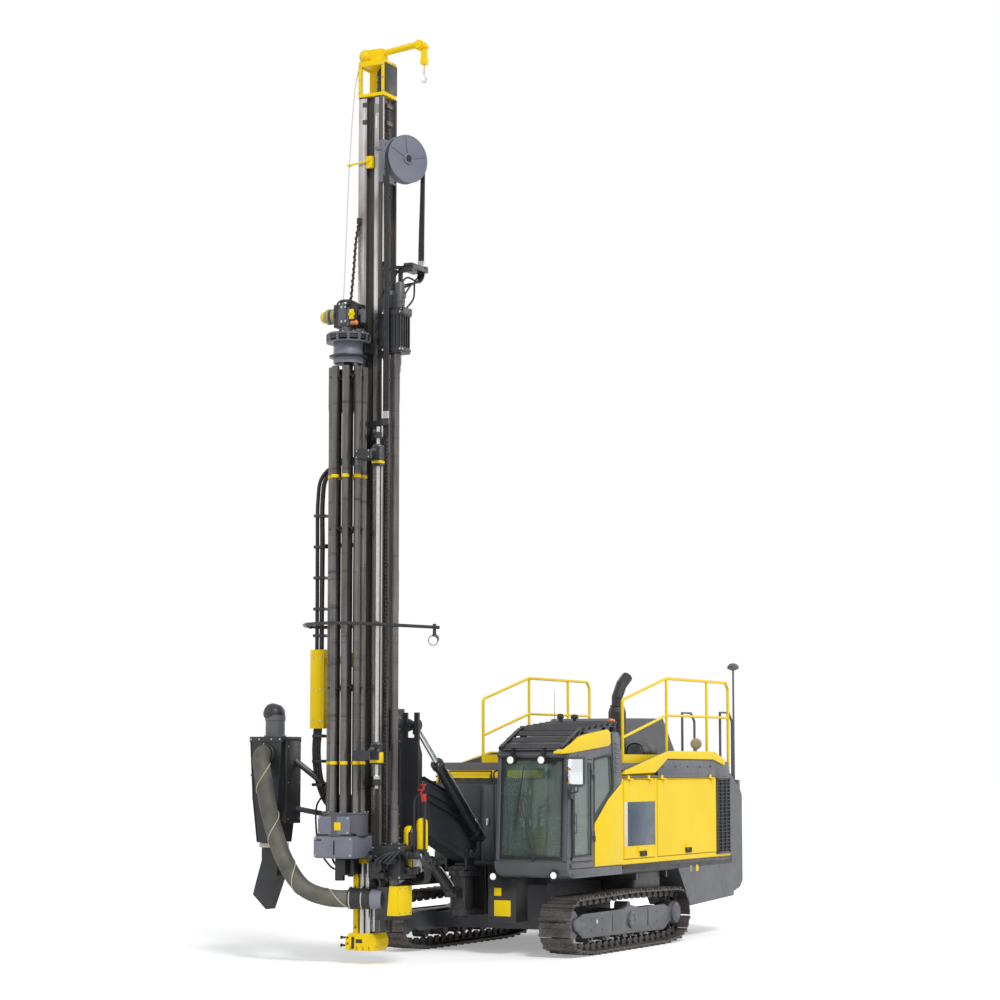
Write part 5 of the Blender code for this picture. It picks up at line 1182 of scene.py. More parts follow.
def makeSeat():
    base = cushion("seatCushion", (0.57, 1.03), (-1.14, -0.64), (1.43, 1.575), 0.0, (-0.45, 0.0, 0.45))
    cushion("seatBack", (0.58, 1.02), (-0.82, -0.26), (1.755, 1.885), radians(100), (-0.5, -0.1, 0.3))
    cushion("seatHeadrest", (0.68, 0.92), (-0.56, -0.38), (2.11, 2.20), radians(100))
    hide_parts("seat")
    begin("seatStand")
    for k in range(6):
        z = 1.09 + 0.05 * k
        capped((0.80, -0.87, z), (0, 0, 1), [(0.155, 0.0), (0.175, 0.025), (0.155, 0.05)], 28)
    block((0.60, 1.00), (-1.10, -0.66), (1.395, 1.435))
    block((0.62, 0.98), (-1.04, -0.70), (1.053, 1.092))
    for x in (0.505, 1.035):
        block((x, x + 0.06), (-1.10, -0.68), (1.60, 1.655))
        block((x + 0.01, x + 0.05), (-0.72, -0.67), (1.42, 1.60))
        rod((x + 0.03, -1.04, 1.64), (x + 0.03, -1.06, 1.78), 0.014, 14, 0.010)
        ball((x + 0.03, -1.062, 1.80), 0.027, 16)
    finish("moulded", "chassis", 0.006)
    begin("cabControls")
    plate("x", [(-1.62, 1.053), (-1.40, 1.053), (-1.44, 1.30), (-1.52, 1.56), (-1.62, 1.56)], 0.42, 0.54)
    plate("x", [(-1.66, 1.053), (-1.58, 1.053), (-1.60, 1.22), (-1.66, 1.24)], 0.62, 1.00)
    block((1.06, 1.18), (-1.00, -0.50), (1.053, 1.46))
    plate("x", [(-1.615, 1.58), (-1.585, 1.57), (-1.54, 1.83), (-1.57, 1.84)], 0.43, 0.68)
    rod((0.66, -1.50, 1.06), (0.66, -1.46, 1.13), 0.035, 16)
    rod((0.90, -1.50, 1.06), (0.90, -1.46, 1.13), 0.035, 16)
    finish("moulded", "chassis", 0.008, 3)
    begin("cabScreen")
    plate("x", [(-1.583, 1.60), (-1.578, 1.60), (-1.539, 1.81), (-1.544, 1.81)], 0.45, 0.66)
    finish("glass", "chassis", 0)
    begin("cabLining")
    # pale trim behind the seat and under the roof
    block((0.42, 1.18), (-0.372, -0.356), (1.06, 2.40))
    block((0.44, 1.16), (-1.20, -0.42), (2.400, 2.425))
    finish("graphite", "chassis", 0.004)


makeCabSeals()
makeCabPanels()
makeCabDetails()
makeSeat()
print("cab dressed")


# Canopy: doors' panels and handles, louvres, upper edge

canopyLook = {"side": 1.256, "doors": ((-0.22, 0.72), (0.78, 2.68))}


def makeCanopyPanels():
    side = canopyLook["side"]
    blockPiece("bluePanel", "blue", "front_left_hatch", 0.0015, (side + 0.0005, side + 0.004),
        (-0.105, 0.70), (1.215, 1.735))
    begin("whiteStrip")
    block((side + 0.0005, side + 0.004), (-0.205, -0.125), (1.215, 1.735))
    for k in range(16):
        block((side + 0.0035, side + 0.007), (-0.196, -0.134), (1.235 + 0.031 * k, 1.252 + 0.031 * k))
    finish("white", "front_left_hatch", 0.001)
    for mark, sign in (("Left", 1), ("Right", -1)):
        face = side * sign
        for (y0, y1), place in zip(canopyLook["doors"], ("front", "rear")):
            body = place + "_" + mark.lower() + "_hatch"
            grip = (y0 + y1) / 2 if place == "rear" else (y0 + y1) / 2 + 0.08
            begin(place + mark + "Latch")
            # a recessed paddle latch in a black tray
            tray = [(grip - 0.085, 1.085), (grip + 0.085, 1.085), (grip + 0.085, 1.150),
                (grip - 0.085, 1.150)]
            inner = [(grip - 0.070, 1.097), (grip + 0.070, 1.097), (grip + 0.070, 1.138),
                (grip - 0.070, 1.138)]
            low, high = sorted((face + sign * 0.001, face + sign * 0.021))
            ringPlate("x", tray, inner, low, high)
            block(sorted((face + sign * 0.001, face + sign * 0.013)), (grip - 0.066, grip + 0.066),
                (1.100, 1.128))
            finish("moulded", body, 0.003)
            begin(place + mark + "Rim")
            # a folded rim round each door
            outer = [(y0 + 0.010, 1.070), (y1 - 0.010, 1.070), (y1 - 0.010, 1.990), (y0 + 0.010, 1.990)]
            low, high = sorted((face, face + sign * 0.0035))
            ringPlate("x", outer, grown(outer, -0.016), low, high)
            finish("yellow", body, 0.0015)


def makeCanopyEdges():
    begin("upperBand")
    outline = [(-0.215, 2.062), (0.72, 2.078), (1.10, 2.248), (2.60, 2.240), (2.975, 2.165),
        (2.985, 2.240), (2.63, 2.345), (1.17, 2.345), (-0.17, 2.105)]
    for x0, x1 in ((1.2205, 1.262), (-1.262, -1.2205)):
        plate("x", outline, x0, x1)
    finish("yellow", "chassis", 0.008, 3)
    begin("upperPanels")
    for sign in (1, -1):
        plate("y", [(sign * 1.2505, 2.045), (sign * 1.260, 2.045), (sign * 1.245, 2.235),
            (sign * 1.222, 2.235)], 0.80, 2.66)
        plate("y", [(sign * 1.2505, 2.020), (sign * 1.262, 2.020), (sign * 1.262, 2.045),
            (sign * 1.2505, 2.045)], -0.255, 2.66)
        plate("y", [(sign * 1.2505, 2.020), (sign * 1.256, 2.020), (sign * 1.240, 2.215),
            (sign * 1.222, 2.215)], 2.67, 3.155)
    finish("graphite", "chassis", 0.004)
    begin("sideGrilles")
    for sign in (1, -1):
        face = sign * 1.2505
        outer = [(2.685, 1.035), (3.150, 1.035), (3.150, 2.010), (2.685, 2.010)]
        low, high = sorted((face, face + sign * 0.016))
        ringPlate("x", outer, grown(outer, -0.030), low, high)
        for k in range(20):
            z = 1.085 + 0.0455 * k
            block(sorted((face - sign * 0.002, face + sign * 0.016)), (2.71, 3.125), (z, z + 0.010),
                (0, radians(28 * sign), 0))
        for y in (2.835, 2.98):
            block(sorted((face + sign * 0.002, face + sign * 0.018)), (y, y + 0.012), (1.06, 1.985))
    finish("black", "chassis", 0.0015)
    begin("grilleMesh")
    for sign in (1, -1):
        face = sign * 1.2500
        block(sorted((face, face + sign * 0.003)), (2.70, 3.14), (1.05, 1.995))
    finish("grille", "chassis", 0)
    spots = []
    for sign in (1, -1):
        for y in (0.95, 1.35, 1.75, 2.15, 2.50):
            spots.append(((sign * 1.2505, y, 2.150), (sign, 0, 0.1)))
        for y in (2.72, 3.12):
            for z in (1.06, 1.53, 1.99):
                spots.append(((sign * 1.2665, y, z), (sign, 0, 0)))
    bolts("panelBolts", spots, 0.008, "moulded")
    begin("canopySill")
    # black lower edge under the doors
    for sign in (1, -1):
        low, high = sorted((sign * 1.222, sign * 1.258))
        block((low, high), (-0.255, 3.150), (0.955, 1.000))
    finish("black", "chassis", 0.004)


makeCanopyPanels()
makeCanopyEdges()
print("canopy dressed")


# Feed beam: running strips, drive chain, top gear and what hangs beside it

feedLook = {"x": -0.44, "front": -3.355, "chainX": -0.309, "chainY": -3.20, "pitch": 0.044}


def beam(start, end, wide, tall, up=(0, 0, 1)):
    # a straight bar of rectangular section between two places
    a, b = rig(*start), rig(*end)
    way = (b - a).normalized()
    side = Vector(up).cross(way).normalized()
    turn = Matrix((way, side, way.cross(side))).transposed().to_euler()
    bpy.ops.mesh.primitive_cube_add(size=1, location=(a + b) / 2, scale=((b - a).length, wide, tall),
        rotation=turn)


def makeBeamDetails():
    x, front = feedLook["x"], feedLook["front"]
    begin("beamRunners")
    for a, b in ((-0.156, -0.052), (0.052, 0.106)):
        block((x + a, x + b), (front - 0.0015, front + 0.001), (0.36, 9.72))
    block((x + 0.1585, x + 0.1615), (front + 0.003, front + 0.022), (0.36, 9.72))
    finish("rail", "mast", 0)
    begin("beamEdges")
    # welded wear strips along the side faces, and splice plates
    for z0, z1 in ((0.5, 3.1), (3.2, 6.3), (6.4, 9.6)):
        block((x + 0.1295, x + 0.1335), (-3.140, -3.115), (z0, z1))
        block((x - 0.1335, x - 0.1295), (-3.30, -3.12), (z0, z1))
    for z in (9.42, 9.62):
        block((x + 0.124, x + 0.150), (-3.24, -3.10), (z, z + 0.05))
        block((x - 0.10, x - 0.05), (front - 0.016, front - 0.001), (z, z + 0.05))
    finish("mast", "mast", 0.002)
    spots = [((x + 0.1335, -3.128, 0.62 + 0.42 * k), (1, 0, 0)) for k in range(22)]
    spots += [((x - 0.1335, -3.21, 0.62 + 0.42 * k), (-1, 0, 0)) for k in range(22)]
    bolts("beamBolts", spots, 0.010, "mast", "mast")
    blockPiece("beamTag", "green", "mast", 0.001, (x + 0.048, x + 0.104), (front - 0.004, front - 0.001),
        (9.54, 9.64))
    blockPiece("beamStripe", "white", "mast", 0.001, (x + 0.064, x + 0.086),
        (front - 0.004, front - 0.001), (9.36, 9.50))


def makeFeedChain():
    # paired links of an inner and an outer plate, on their rollers
    pitch = feedLook["pitch"]
    link = localPlate("feedChain", [(-0.014, -0.004), (-0.008, -0.013), (0.008, -0.013), (0.014, -0.004),
        (0.010, 0.022), (0.014, 0.048), (0.008, 0.057), (-0.008, 0.057), (-0.014, 0.048),
        (-0.010, 0.022)], 0.016, 0.020)
    bpy.ops.mesh.select_all(action="SELECT")
    bpy.ops.mesh.duplicate_move(TRANSFORM_OT_translate={"value": (-0.036, 0, 0)})
    bpy.ops.mesh.duplicate_move(TRANSFORM_OT_translate={"value": (0.005, 0, pitch)})
    bpy.ops.mesh.duplicate_move(TRANSFORM_OT_translate={"value": (0.026, 0, 0)})
    for z in (0, pitch):
        bpy.ops.mesh.primitive_cylinder_add(vertices=8, radius=0.010, depth=0.044, location=(0, 0, z),
            rotation=(0, pi / 2, 0))
    bpy.ops.object.mode_set(mode="OBJECT")
    x, y = feedLook["chainX"] + shift.x, feedLook["chainY"] + shift.y
    places = [Matrix(((0, 1, 0, x), (-1, 0, 0, y), (0, 0, 1, 1.27 + 2 * pitch * k), (0, 0, 0, 1)))
        for k in range(95)]
    repeat(link, places)
    finish("track", "mast", 0, smooth=25)


def makeTopDetails():
    begin("topMotor")
    block((-0.2695, -0.262), (-3.345, -3.062), (9.785, 10.125))
    rod((-0.375, -3.20, 9.745), (-0.375, -3.20, 10.06), 0.062, 24)
    rod((-0.375, -3.20, 10.02), (-0.375, -3.20, 10.085), 0.045, 20)
    block((-0.345, -0.272), (-3.305, -3.11), (9.80, 10.08))
    for z in (9.84, 9.92, 10.0):
        spun((-0.375, -3.20, z), (0, 0, 1), [(0.055, 0), (0.068, 0.004), (0.068, 0.018), (0.055, 0.022)],
            24)
    finish("black", "mast", 0.004)
    bolts("topFrameBolts", [((xx, -3.3505, z), (0, -1, 0)) for xx in (-0.59, -0.29)
        for z in (9.80, 9.95, 10.10)], 0.008, "bright", "mast")
    begin("ropeGuide")
    block((-0.470, -0.395), (-3.405, -3.3568), (8.90, 9.035))
    rod((-0.44, -3.39, 8.985), (-0.665, -3.405, 8.955), 0.011, 14)
    rod((-0.44, -3.405, 8.985), (-0.44, -3.43, 8.985), 0.024, 16)
    spun((-0.688, -3.405, 8.940), (0, 0, 1), [(0.012, 0), (0.024, 0), (0.026, 0.012), (0.024, 0.024),
        (0.012, 0.024)], 20)
    finish("yellow", "mast", 0.003)


def makeJibDetails():
    begin("jibGear")
    spun((-0.58, -3.262, 10.25), (0, -1, 0), [(0.0005, 0), (0.058, 0), (0.058, 0.008), (0.040, 0.014),
        (0.030, 0.032), (0.0005, 0.034)], 28)
    block((-0.54, -0.36), (-3.262, -3.225), (10.21, 10.315))
    beam((-0.36, -3.2, 10.298), (0.13, -3.27, 10.321), 0.030, 0.012)
    block((0.17, 0.25), (-3.318, -3.242), (10.235, 10.262))
    spun((0.16, -3.225, 10.27), (0, 1, 0), [(0.0005, 0), (0.045, 0), (0.045, 0.008), (0.0005, 0.010)], 24)
    spun((0.16, -3.335, 10.27), (0, -1, 0), [(0.0005, 0), (0.045, 0), (0.045, 0.008), (0.0005, 0.010)], 24)
    block((0.175, 0.245), (-3.312, -3.248), (10.045, 10.11))
    finish("yellow", "jib", 0.004)
    spots = boltCircle((-0.58, -3.270, 10.25), 0.045, 6, (0, -1, 0)) + boltCircle((-0.44, -3.20, 10.21),
        0.083, 8, (0, 0, 1))
    bolts("jibBolts", spots, 0.006, "bright", "jib")
    tubes("jibHook", [flowing([(0.21, -3.28, 9.985), (0.21, -3.28, 9.93), (0.222, -3.28, 9.905),
        (0.236, -3.28, 9.875), (0.222, -3.28, 9.842), (0.195, -3.28, 9.845), (0.182, -3.28, 9.872)], 5)],
        0.009, "bright", "jib", 4)
    rope = tubes("jibRope", [[(-0.655, -3.20, 10.25), (-0.657, -3.24, 10.15), (-0.672, -3.31, 9.90),
        (-0.680, -3.36, 9.5), (-0.688, -3.405, 8.95), (-0.680, -3.46, 8.4), (-0.672, -3.51, 7.8),
        (-0.664, -3.56, 7.33)]], 0.0055, "rope", "mast", 3, ride=False)
    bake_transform(rope)
    begin("ropeEye")
    rod((-0.664, -3.56, 7.26), (-0.664, -3.56, 7.35), 0.012, 12)
    block((-0.68, -0.648), (-3.60, -3.55), (7.25, 7.30))
    finish("bright", "mast", 0.002)


makeBeamDetails()
makeFeedChain()
makeTopDetails()
makeJibDetails()
print("beam dressed")


# Hose sheave, its carriage and the hoses over it

sheaveLook = {"centre": (-0.02, -3.30, 8.97), "turn": -23, "radius": 0.276, "half": 0.055, "hose": 0.0115}
sheaveAxis = Vector((cos(radians(sheaveLook["turn"])), sin(radians(sheaveLook["turn"])), 0))
sheaveAlong = Vector((-sheaveAxis.y, sheaveAxis.x, 0))


def onSheave(axial, angle, radius):
    # a place on the sheave: along its axle, and by angle and radius round it
    turned = sheaveAlong * cos(radians(angle)) + Vector((0, 0, sin(radians(angle))))
    return Vector(sheaveLook["centre"]) + sheaveAxis * axial + turned * radius


def makeSheave():
    half = sheaveLook["half"]
    begin("sheaveRidges")
    for side in (1, -1):
        for angle in (14, 97, 156):
            beam(onSheave(side * (half + 0.004), angle, 0.05),
                onSheave(side * (half + 0.004), angle, 0.268), 0.016, 0.010, sheaveAxis)
        base = onSheave(side * half, 0, 0)
        spun(base, sheaveAxis * side, [(0.038, 0), (0.064, 0), (0.064, 0.010), (0.056, 0.017),
            (0.038, 0.017)], 32)
        spun(base, sheaveAxis * side, [(0.255, -0.002), (0.2745, -0.004), (0.2735, 0.002),
            (0.257, 0.003)], 48)
    finish("steelBlue", "sheave", 0.0015)
    begin("sheaveAxleCap")
    capped(onSheave(half + 0.019, 0, 0), sheaveAxis, [(0.033, 0), (0.033, 0.006), (0.022, 0.010)], 28)
    finish("black", "hose_carriage", 0)
    begin("carriagePlates")
    block((-0.360, -0.2325), (-3.398, -3.363), (9.100, 9.135))
    block((-0.2320, -0.2240), (-3.375, -3.12), (8.76, 9.18))
    beam((-0.225, -3.36, 9.11), (-0.14, -3.24, 9.03), 0.03, 0.05)
    beam((-0.225, -3.20, 8.90), (-0.13, -3.25, 8.96), 0.03, 0.06)
    finish("steelBlue", "hose_carriage", 0.004)
    begin("carriagePads")
    for z in (8.75, 8.93, 9.12):
        block((-0.2315, -0.218), (-3.36, -3.33), (z, z + 0.06))
        block((-0.2315, -0.218), (-3.17, -3.14), (z, z + 0.06))
    finish("black", "hose_carriage", 0.003)
    spots = [((-0.2235, y, z), (1, 0, 0)) for y in (-3.31, -3.20) for z in (8.80, 9.14)]
    bolts("carriageBolts", spots, 0.009, "bright", "hose_carriage")


def hoseOver(offset, side, foot):
    # over the sheave, down one side to its foot
    radius = sheaveLook["radius"] - 0.035 + sheaveLook["hose"] + 0.0015
    run = [onSheave(offset, 90 - side * 7.5 * k, radius) for k in range(12)]
    edge = onSheave(offset, 90 - side * 90, radius)
    drop = edge.z - foot[2]
    ease = [edge.lerp(Vector(foot), s * s * (3 - 2 * s)) for s in (0.15, 0.4, 0.6, 0.85)]
    for place, s in zip(ease, (0.15, 0.4, 0.6, 0.85)):
        place.z = edge.z - drop * s
    return run + [edge] + ease + [Vector(foot)]


def makeFeedHoses():
    radius = sheaveLook["hose"]
    back = onSheave(0, 0, 0.2555)
    front = onSheave(0, 180, 0.2555)
    runs = [hoseOver(0.0225 * k, 1, (back.x + 0.026 * k - 0.02, back.y, 7.80)) for k in (-1, 0, 1)]
    hoses = tubes("headLoopHoses", runs, radius, "rubber", "head", 4, ride=False, replaced=("head_hoses",))
    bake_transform(hoses)
    runs = [hoseOver(0.0225 * k, -1, (front.x + 0.024 * k, front.y - 0.002, 6.02)) for k in (-1, 0, 1)]
    hoses = tubes("feedLoopHoses", runs, radius, "rubber", "mast", 4, ride=False, replaced=("feed_hoses",))
    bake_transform(hoses)
    begin("hoseFerrules")
    for k in (-1, 0, 1):
        place = (back.x + 0.026 * k - 0.02, back.y)
        rod((*place, 7.765), (*place, 7.84), 0.0155, 12)
        rod((*place, 7.775), (*place, 7.795), 0.0185, 6)
    finish("bright", "head", 0)
    begin("anchorFerrules")
    for k in (-1, 0, 1):
        place = (front.x + 0.024 * k, front.y - 0.002)
        rod((*place, 6.0), (*place, 6.08), 0.0150, 12)
    finish("bright", "mast", 0)
    tubes("anchorHoses", [flowing([(front.x + 0.024 * k, front.y, 5.93),
        (front.x - 0.01 + 0.02 * k, front.y + 0.01, 5.80), (-0.24 + 0.02 * k, -3.50, 5.66),
        (-0.34 + 0.012 * k, -3.43, 5.62), (-0.42 + 0.01 * k, -3.375, 5.60)], 6) for k in (-1, 0, 1)],
        0.0115, "rubber", "mast", 4)
    slack = tubes("carriageHose", [flowing([(-0.222, -3.395, 8.74), (-0.222, -3.40, 8.5),
        (-0.216, -3.40, 8.1), (-0.212, -3.40, 7.78)], 6)], 0.014, "rubber", "head", 4, ride=False)
    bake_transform(slack)
    begin("carriageHoseTop")
    capped((-0.222, -3.395, 8.69), (0, 0, 1),
        [(0.018, 0), (0.020, 0.02), (0.028, 0.025), (0.028, 0.045), (0.020, 0.05), (0.020, 0.09)], 16)
    block((-0.245, -0.2325), (-3.41, -3.37), (8.735, 8.80))
    finish("black", "hose_carriage", 0)


makeSheave()
makeFeedHoses()
print("sheave ready")


# Rotation head: gearbox, motors and the bracket that brings its hoses

headLook = {"x": -0.07, "y": -3.40, "low": 6.74}


def makeHead():
    x, y = headLook["x"], headLook["y"]
    begin("headGearbox")
    block((-0.195, 0.055), (-3.512, -3.268), (7.165, 7.225))
    block((-0.185, 0.045), (-3.505, -3.275), (6.755, 6.800))
    for a in (-0.17, -0.125, -0.08, -0.035, 0.01):
        block((a, a + 0.014), (-3.512, -3.50), (6.81, 7.16))
    for b in (-3.47, -3.42, -3.37, -3.32):
        block((0.040, 0.052), (b, b + 0.014), (6.81, 7.16))
    block((-0.262, -0.19), (-3.46, -3.24), (6.83, 7.10))
    finish("black", "head", 0.005)
    begin("headMotors")
    for cx, cy, top, r in ((-0.010, -3.42, 7.56, 0.052), (-0.135, -3.42, 7.47, 0.047)):
        spun((cx, cy, 7.215), (0, 0, 1), [(0.0005, 0), (r * 1.2, 0), (r * 1.2, 0.025), (r, 0.035),
            (r, 0.10), (r * 1.08, 0.105), (r * 1.08, 0.13), (r, 0.135), (r, top - 7.26),
            (r * 0.8, top - 7.235), (r * 0.5, top - 7.225), (0.0005, top - 7.225)], 28)
        block((cx - r - 0.012, cx + r + 0.012), (cy - r * 0.5, cy + r * 0.5), (7.36, 7.41))
    finish("graphite", "head", 0.002)
    begin("headBracket")
    block((-0.265, -0.232), (-3.42, -3.34), (7.40, 7.80))
    block((-0.262, -0.03), (-3.425, -3.375), (7.705, 7.735))
    block((-0.03, 0.13), (-3.40, -3.36), (7.66, 7.70))
    block((0.02, 0.125), (-3.40, -3.03), (7.735, 7.762))
    beam((-0.235, -3.39, 7.43), (-0.06, -3.39, 7.69), 0.03, 0.02, (0, 1, 0))
    capped((-0.212, -3.40, 7.735), (0, 0, 1), [(0.026, 0), (0.026, 0.02), (0.017, 0.03), (0.017, 0.075)],
        16)
    finish("black", "head", 0.004)
    runs = []
    for k, (tx, ty, tz) in enumerate(((0.045, -3.42, 7.40), (-0.01, -3.465, 7.46), (-0.075, -3.43, 7.38),
            (-0.10, -3.46, 7.33), (0.02, -3.36, 7.24))):
        sx = 0.088 - 0.018 * k
        runs.append(flowing([(sx, -3.06 - 0.03 * (k % 2), 7.735), (sx + 0.006, -3.07, 7.66),
            (sx + 0.012, -3.16, 7.58), (tx + 0.05, ty + 0.10, tz + 0.14), (tx, ty, tz)], 7))
    tubes("headShortHoses", runs, 0.0105, "rubber", "head", 4)
    begin("headSwivel")
    capped((x, y, 7.225), (0, 0, 1), [(0.04, 0), (0.04, 0.05), (0.030, 0.06), (0.030, 0.16),
        (0.022, 0.17)], 20)
    finish("bright", "head", 0)
    spots = [((a, -3.512, z), (0, -1, 0)) for a in (-0.178, 0.040) for z in (6.778, 7.195)]
    spots += [((a, b, 7.225), (0, 0, 1)) for a in (-0.18, 0.04) for b in (-3.49, -3.39, -3.29)]
    spots += [((0.0525, b, z), (1, 0, 0)) for b in (-3.49, -3.29) for z in (6.778, 7.195)]
    bolts("headBolts", spots, 0.009, "bright", "head")
    begin("headSlides")
    for z in (6.74, 7.30):
        block((-0.2315, -0.212), (-3.36, -3.20), (z, z + 0.09))
    finish("steelBlue", "head", 0.003)


def makeString():
    # drill rod with its couplings, hammer and bit
    x, y = headLook["x"], headLook["y"]
    begin("drillRods")
    top = headLook["low"] - 0.0005
    spun((x, y, top), (0, 0, -1), [(0.0005, 0), (0.059, 0), (0.059, 0.118), (0.052, 0.13), (0.051, 0.195),
        (0.0435, 0.215), (0.0435, 0.52), (0.0405, 0.56), (0.0405, 2.40), (0.0435, 2.44), (0.0435, 2.58),
        (0.0425, 2.585), (0.0425, 2.595), (0.0435, 2.60), (0.0435, 2.86), (0.0405, 2.90), (0.0405, 4.72),
        (0.0435, 4.76), (0.0435, 5.00), (0.0495, 5.03), (0.0495, 5.25), (0.0555, 5.30), (0.0555, 5.62),
        (0.0530, 5.63), (0.0530, 5.66), (0.0555, 5.67), (0.0555, 5.895), (0.0005, 5.90)], 32)
    finish("rod", "string", 0, replaced=("drill_string",))
    begin("drillBit")
    spun((x, y, top - 5.895), (0, 0, -1), [(0.0005, 0), (0.055, 0.0), (0.062, 0.045), (0.0625, 0.155),
        (0.052, 0.165), (0.0005, 0.155)], 32)
    for k in range(8):
        a = 2 * pi * k / 8
        ball((x + 0.047 * cos(a), y + 0.047 * sin(a), top - 6.053), 0.008, 8)
    finish("track", "string", 0)


makeHead()
makeString()
print("head ready")


# Rod carousel: its rods, top drive and base

carouselLook = {"x": -0.56, "y": -3.62, "circle": 0.175, "count": 8, "low": 1.46, "high": 6.59}


def makeCarousel():
    x, y = carouselLook["x"], carouselLook["y"]
    low, high = carouselLook["low"], carouselLook["high"]
    begin("carouselRods")
    for k in range(carouselLook["count"]):
        a = 2 * pi * (k + 0.5) / carouselLook["count"]
        spun((x + carouselLook["circle"] * cos(a), y + carouselLook["circle"] * sin(a), low), (0, 0, 1),
            [(0.0005, 0), (0.028, 0), (0.030, 0.075), (0.0435, 0.08), (0.0435, 0.36), (0.0385, 0.40),
            (0.0385, 4.62), (0.0435, 4.66), (0.0435, 5.125), (0.036, 5.13), (0.0005, 5.13)], 20)
    finish("rod", "carousel", 0, replaced=("carousel_rotor",))
    begin("carouselSpiders")
    rod((x, y, low - 0.048), (x, y, high + 0.048), 0.054, 28)
    for z in (low + 0.10, low + 1.55, low + 3.30, high - 0.13):
        outline = []
        for k in range(carouselLook["count"]):
            a = 2 * pi * (k + 0.5) / carouselLook["count"]
            for turn, r in ((-0.30, 0.150), (-0.16, 0.128), (0.0, 0.122), (0.16, 0.128), (0.30, 0.150),
                    (0.36, 0.208)):
                outline.append((x + r * cos(a + turn), y + r * sin(a + turn)))
            outline.append((x + 0.208 * cos(a + 2 * pi / 8 - 0.36), y + 0.208 * sin(a + 2 * pi / 8 - 0.36)))
        plate("z", outline, z, z + 0.022)
        spun((x, y, z - 0.03), (0, 0, 1), [(0.053, 0), (0.068, 0), (0.068, 0.08), (0.053, 0.08)], 24)
    finish("black", "carousel", 0.002)
    begin("carouselClips")
    for z in (low + 0.72, high - 1.25):
        for k in range(carouselLook["count"]):
            a = 2 * pi * (k + 0.5) / carouselLook["count"]
            spun((x + carouselLook["circle"] * cos(a), y + carouselLook["circle"] * sin(a), z), (0, 0, 1),
                 [(0.039, 0), (0.0440, 0.002), (0.0440, 0.034), (0.039, 0.036)], 16)
    finish("yellow", "carousel", 0)


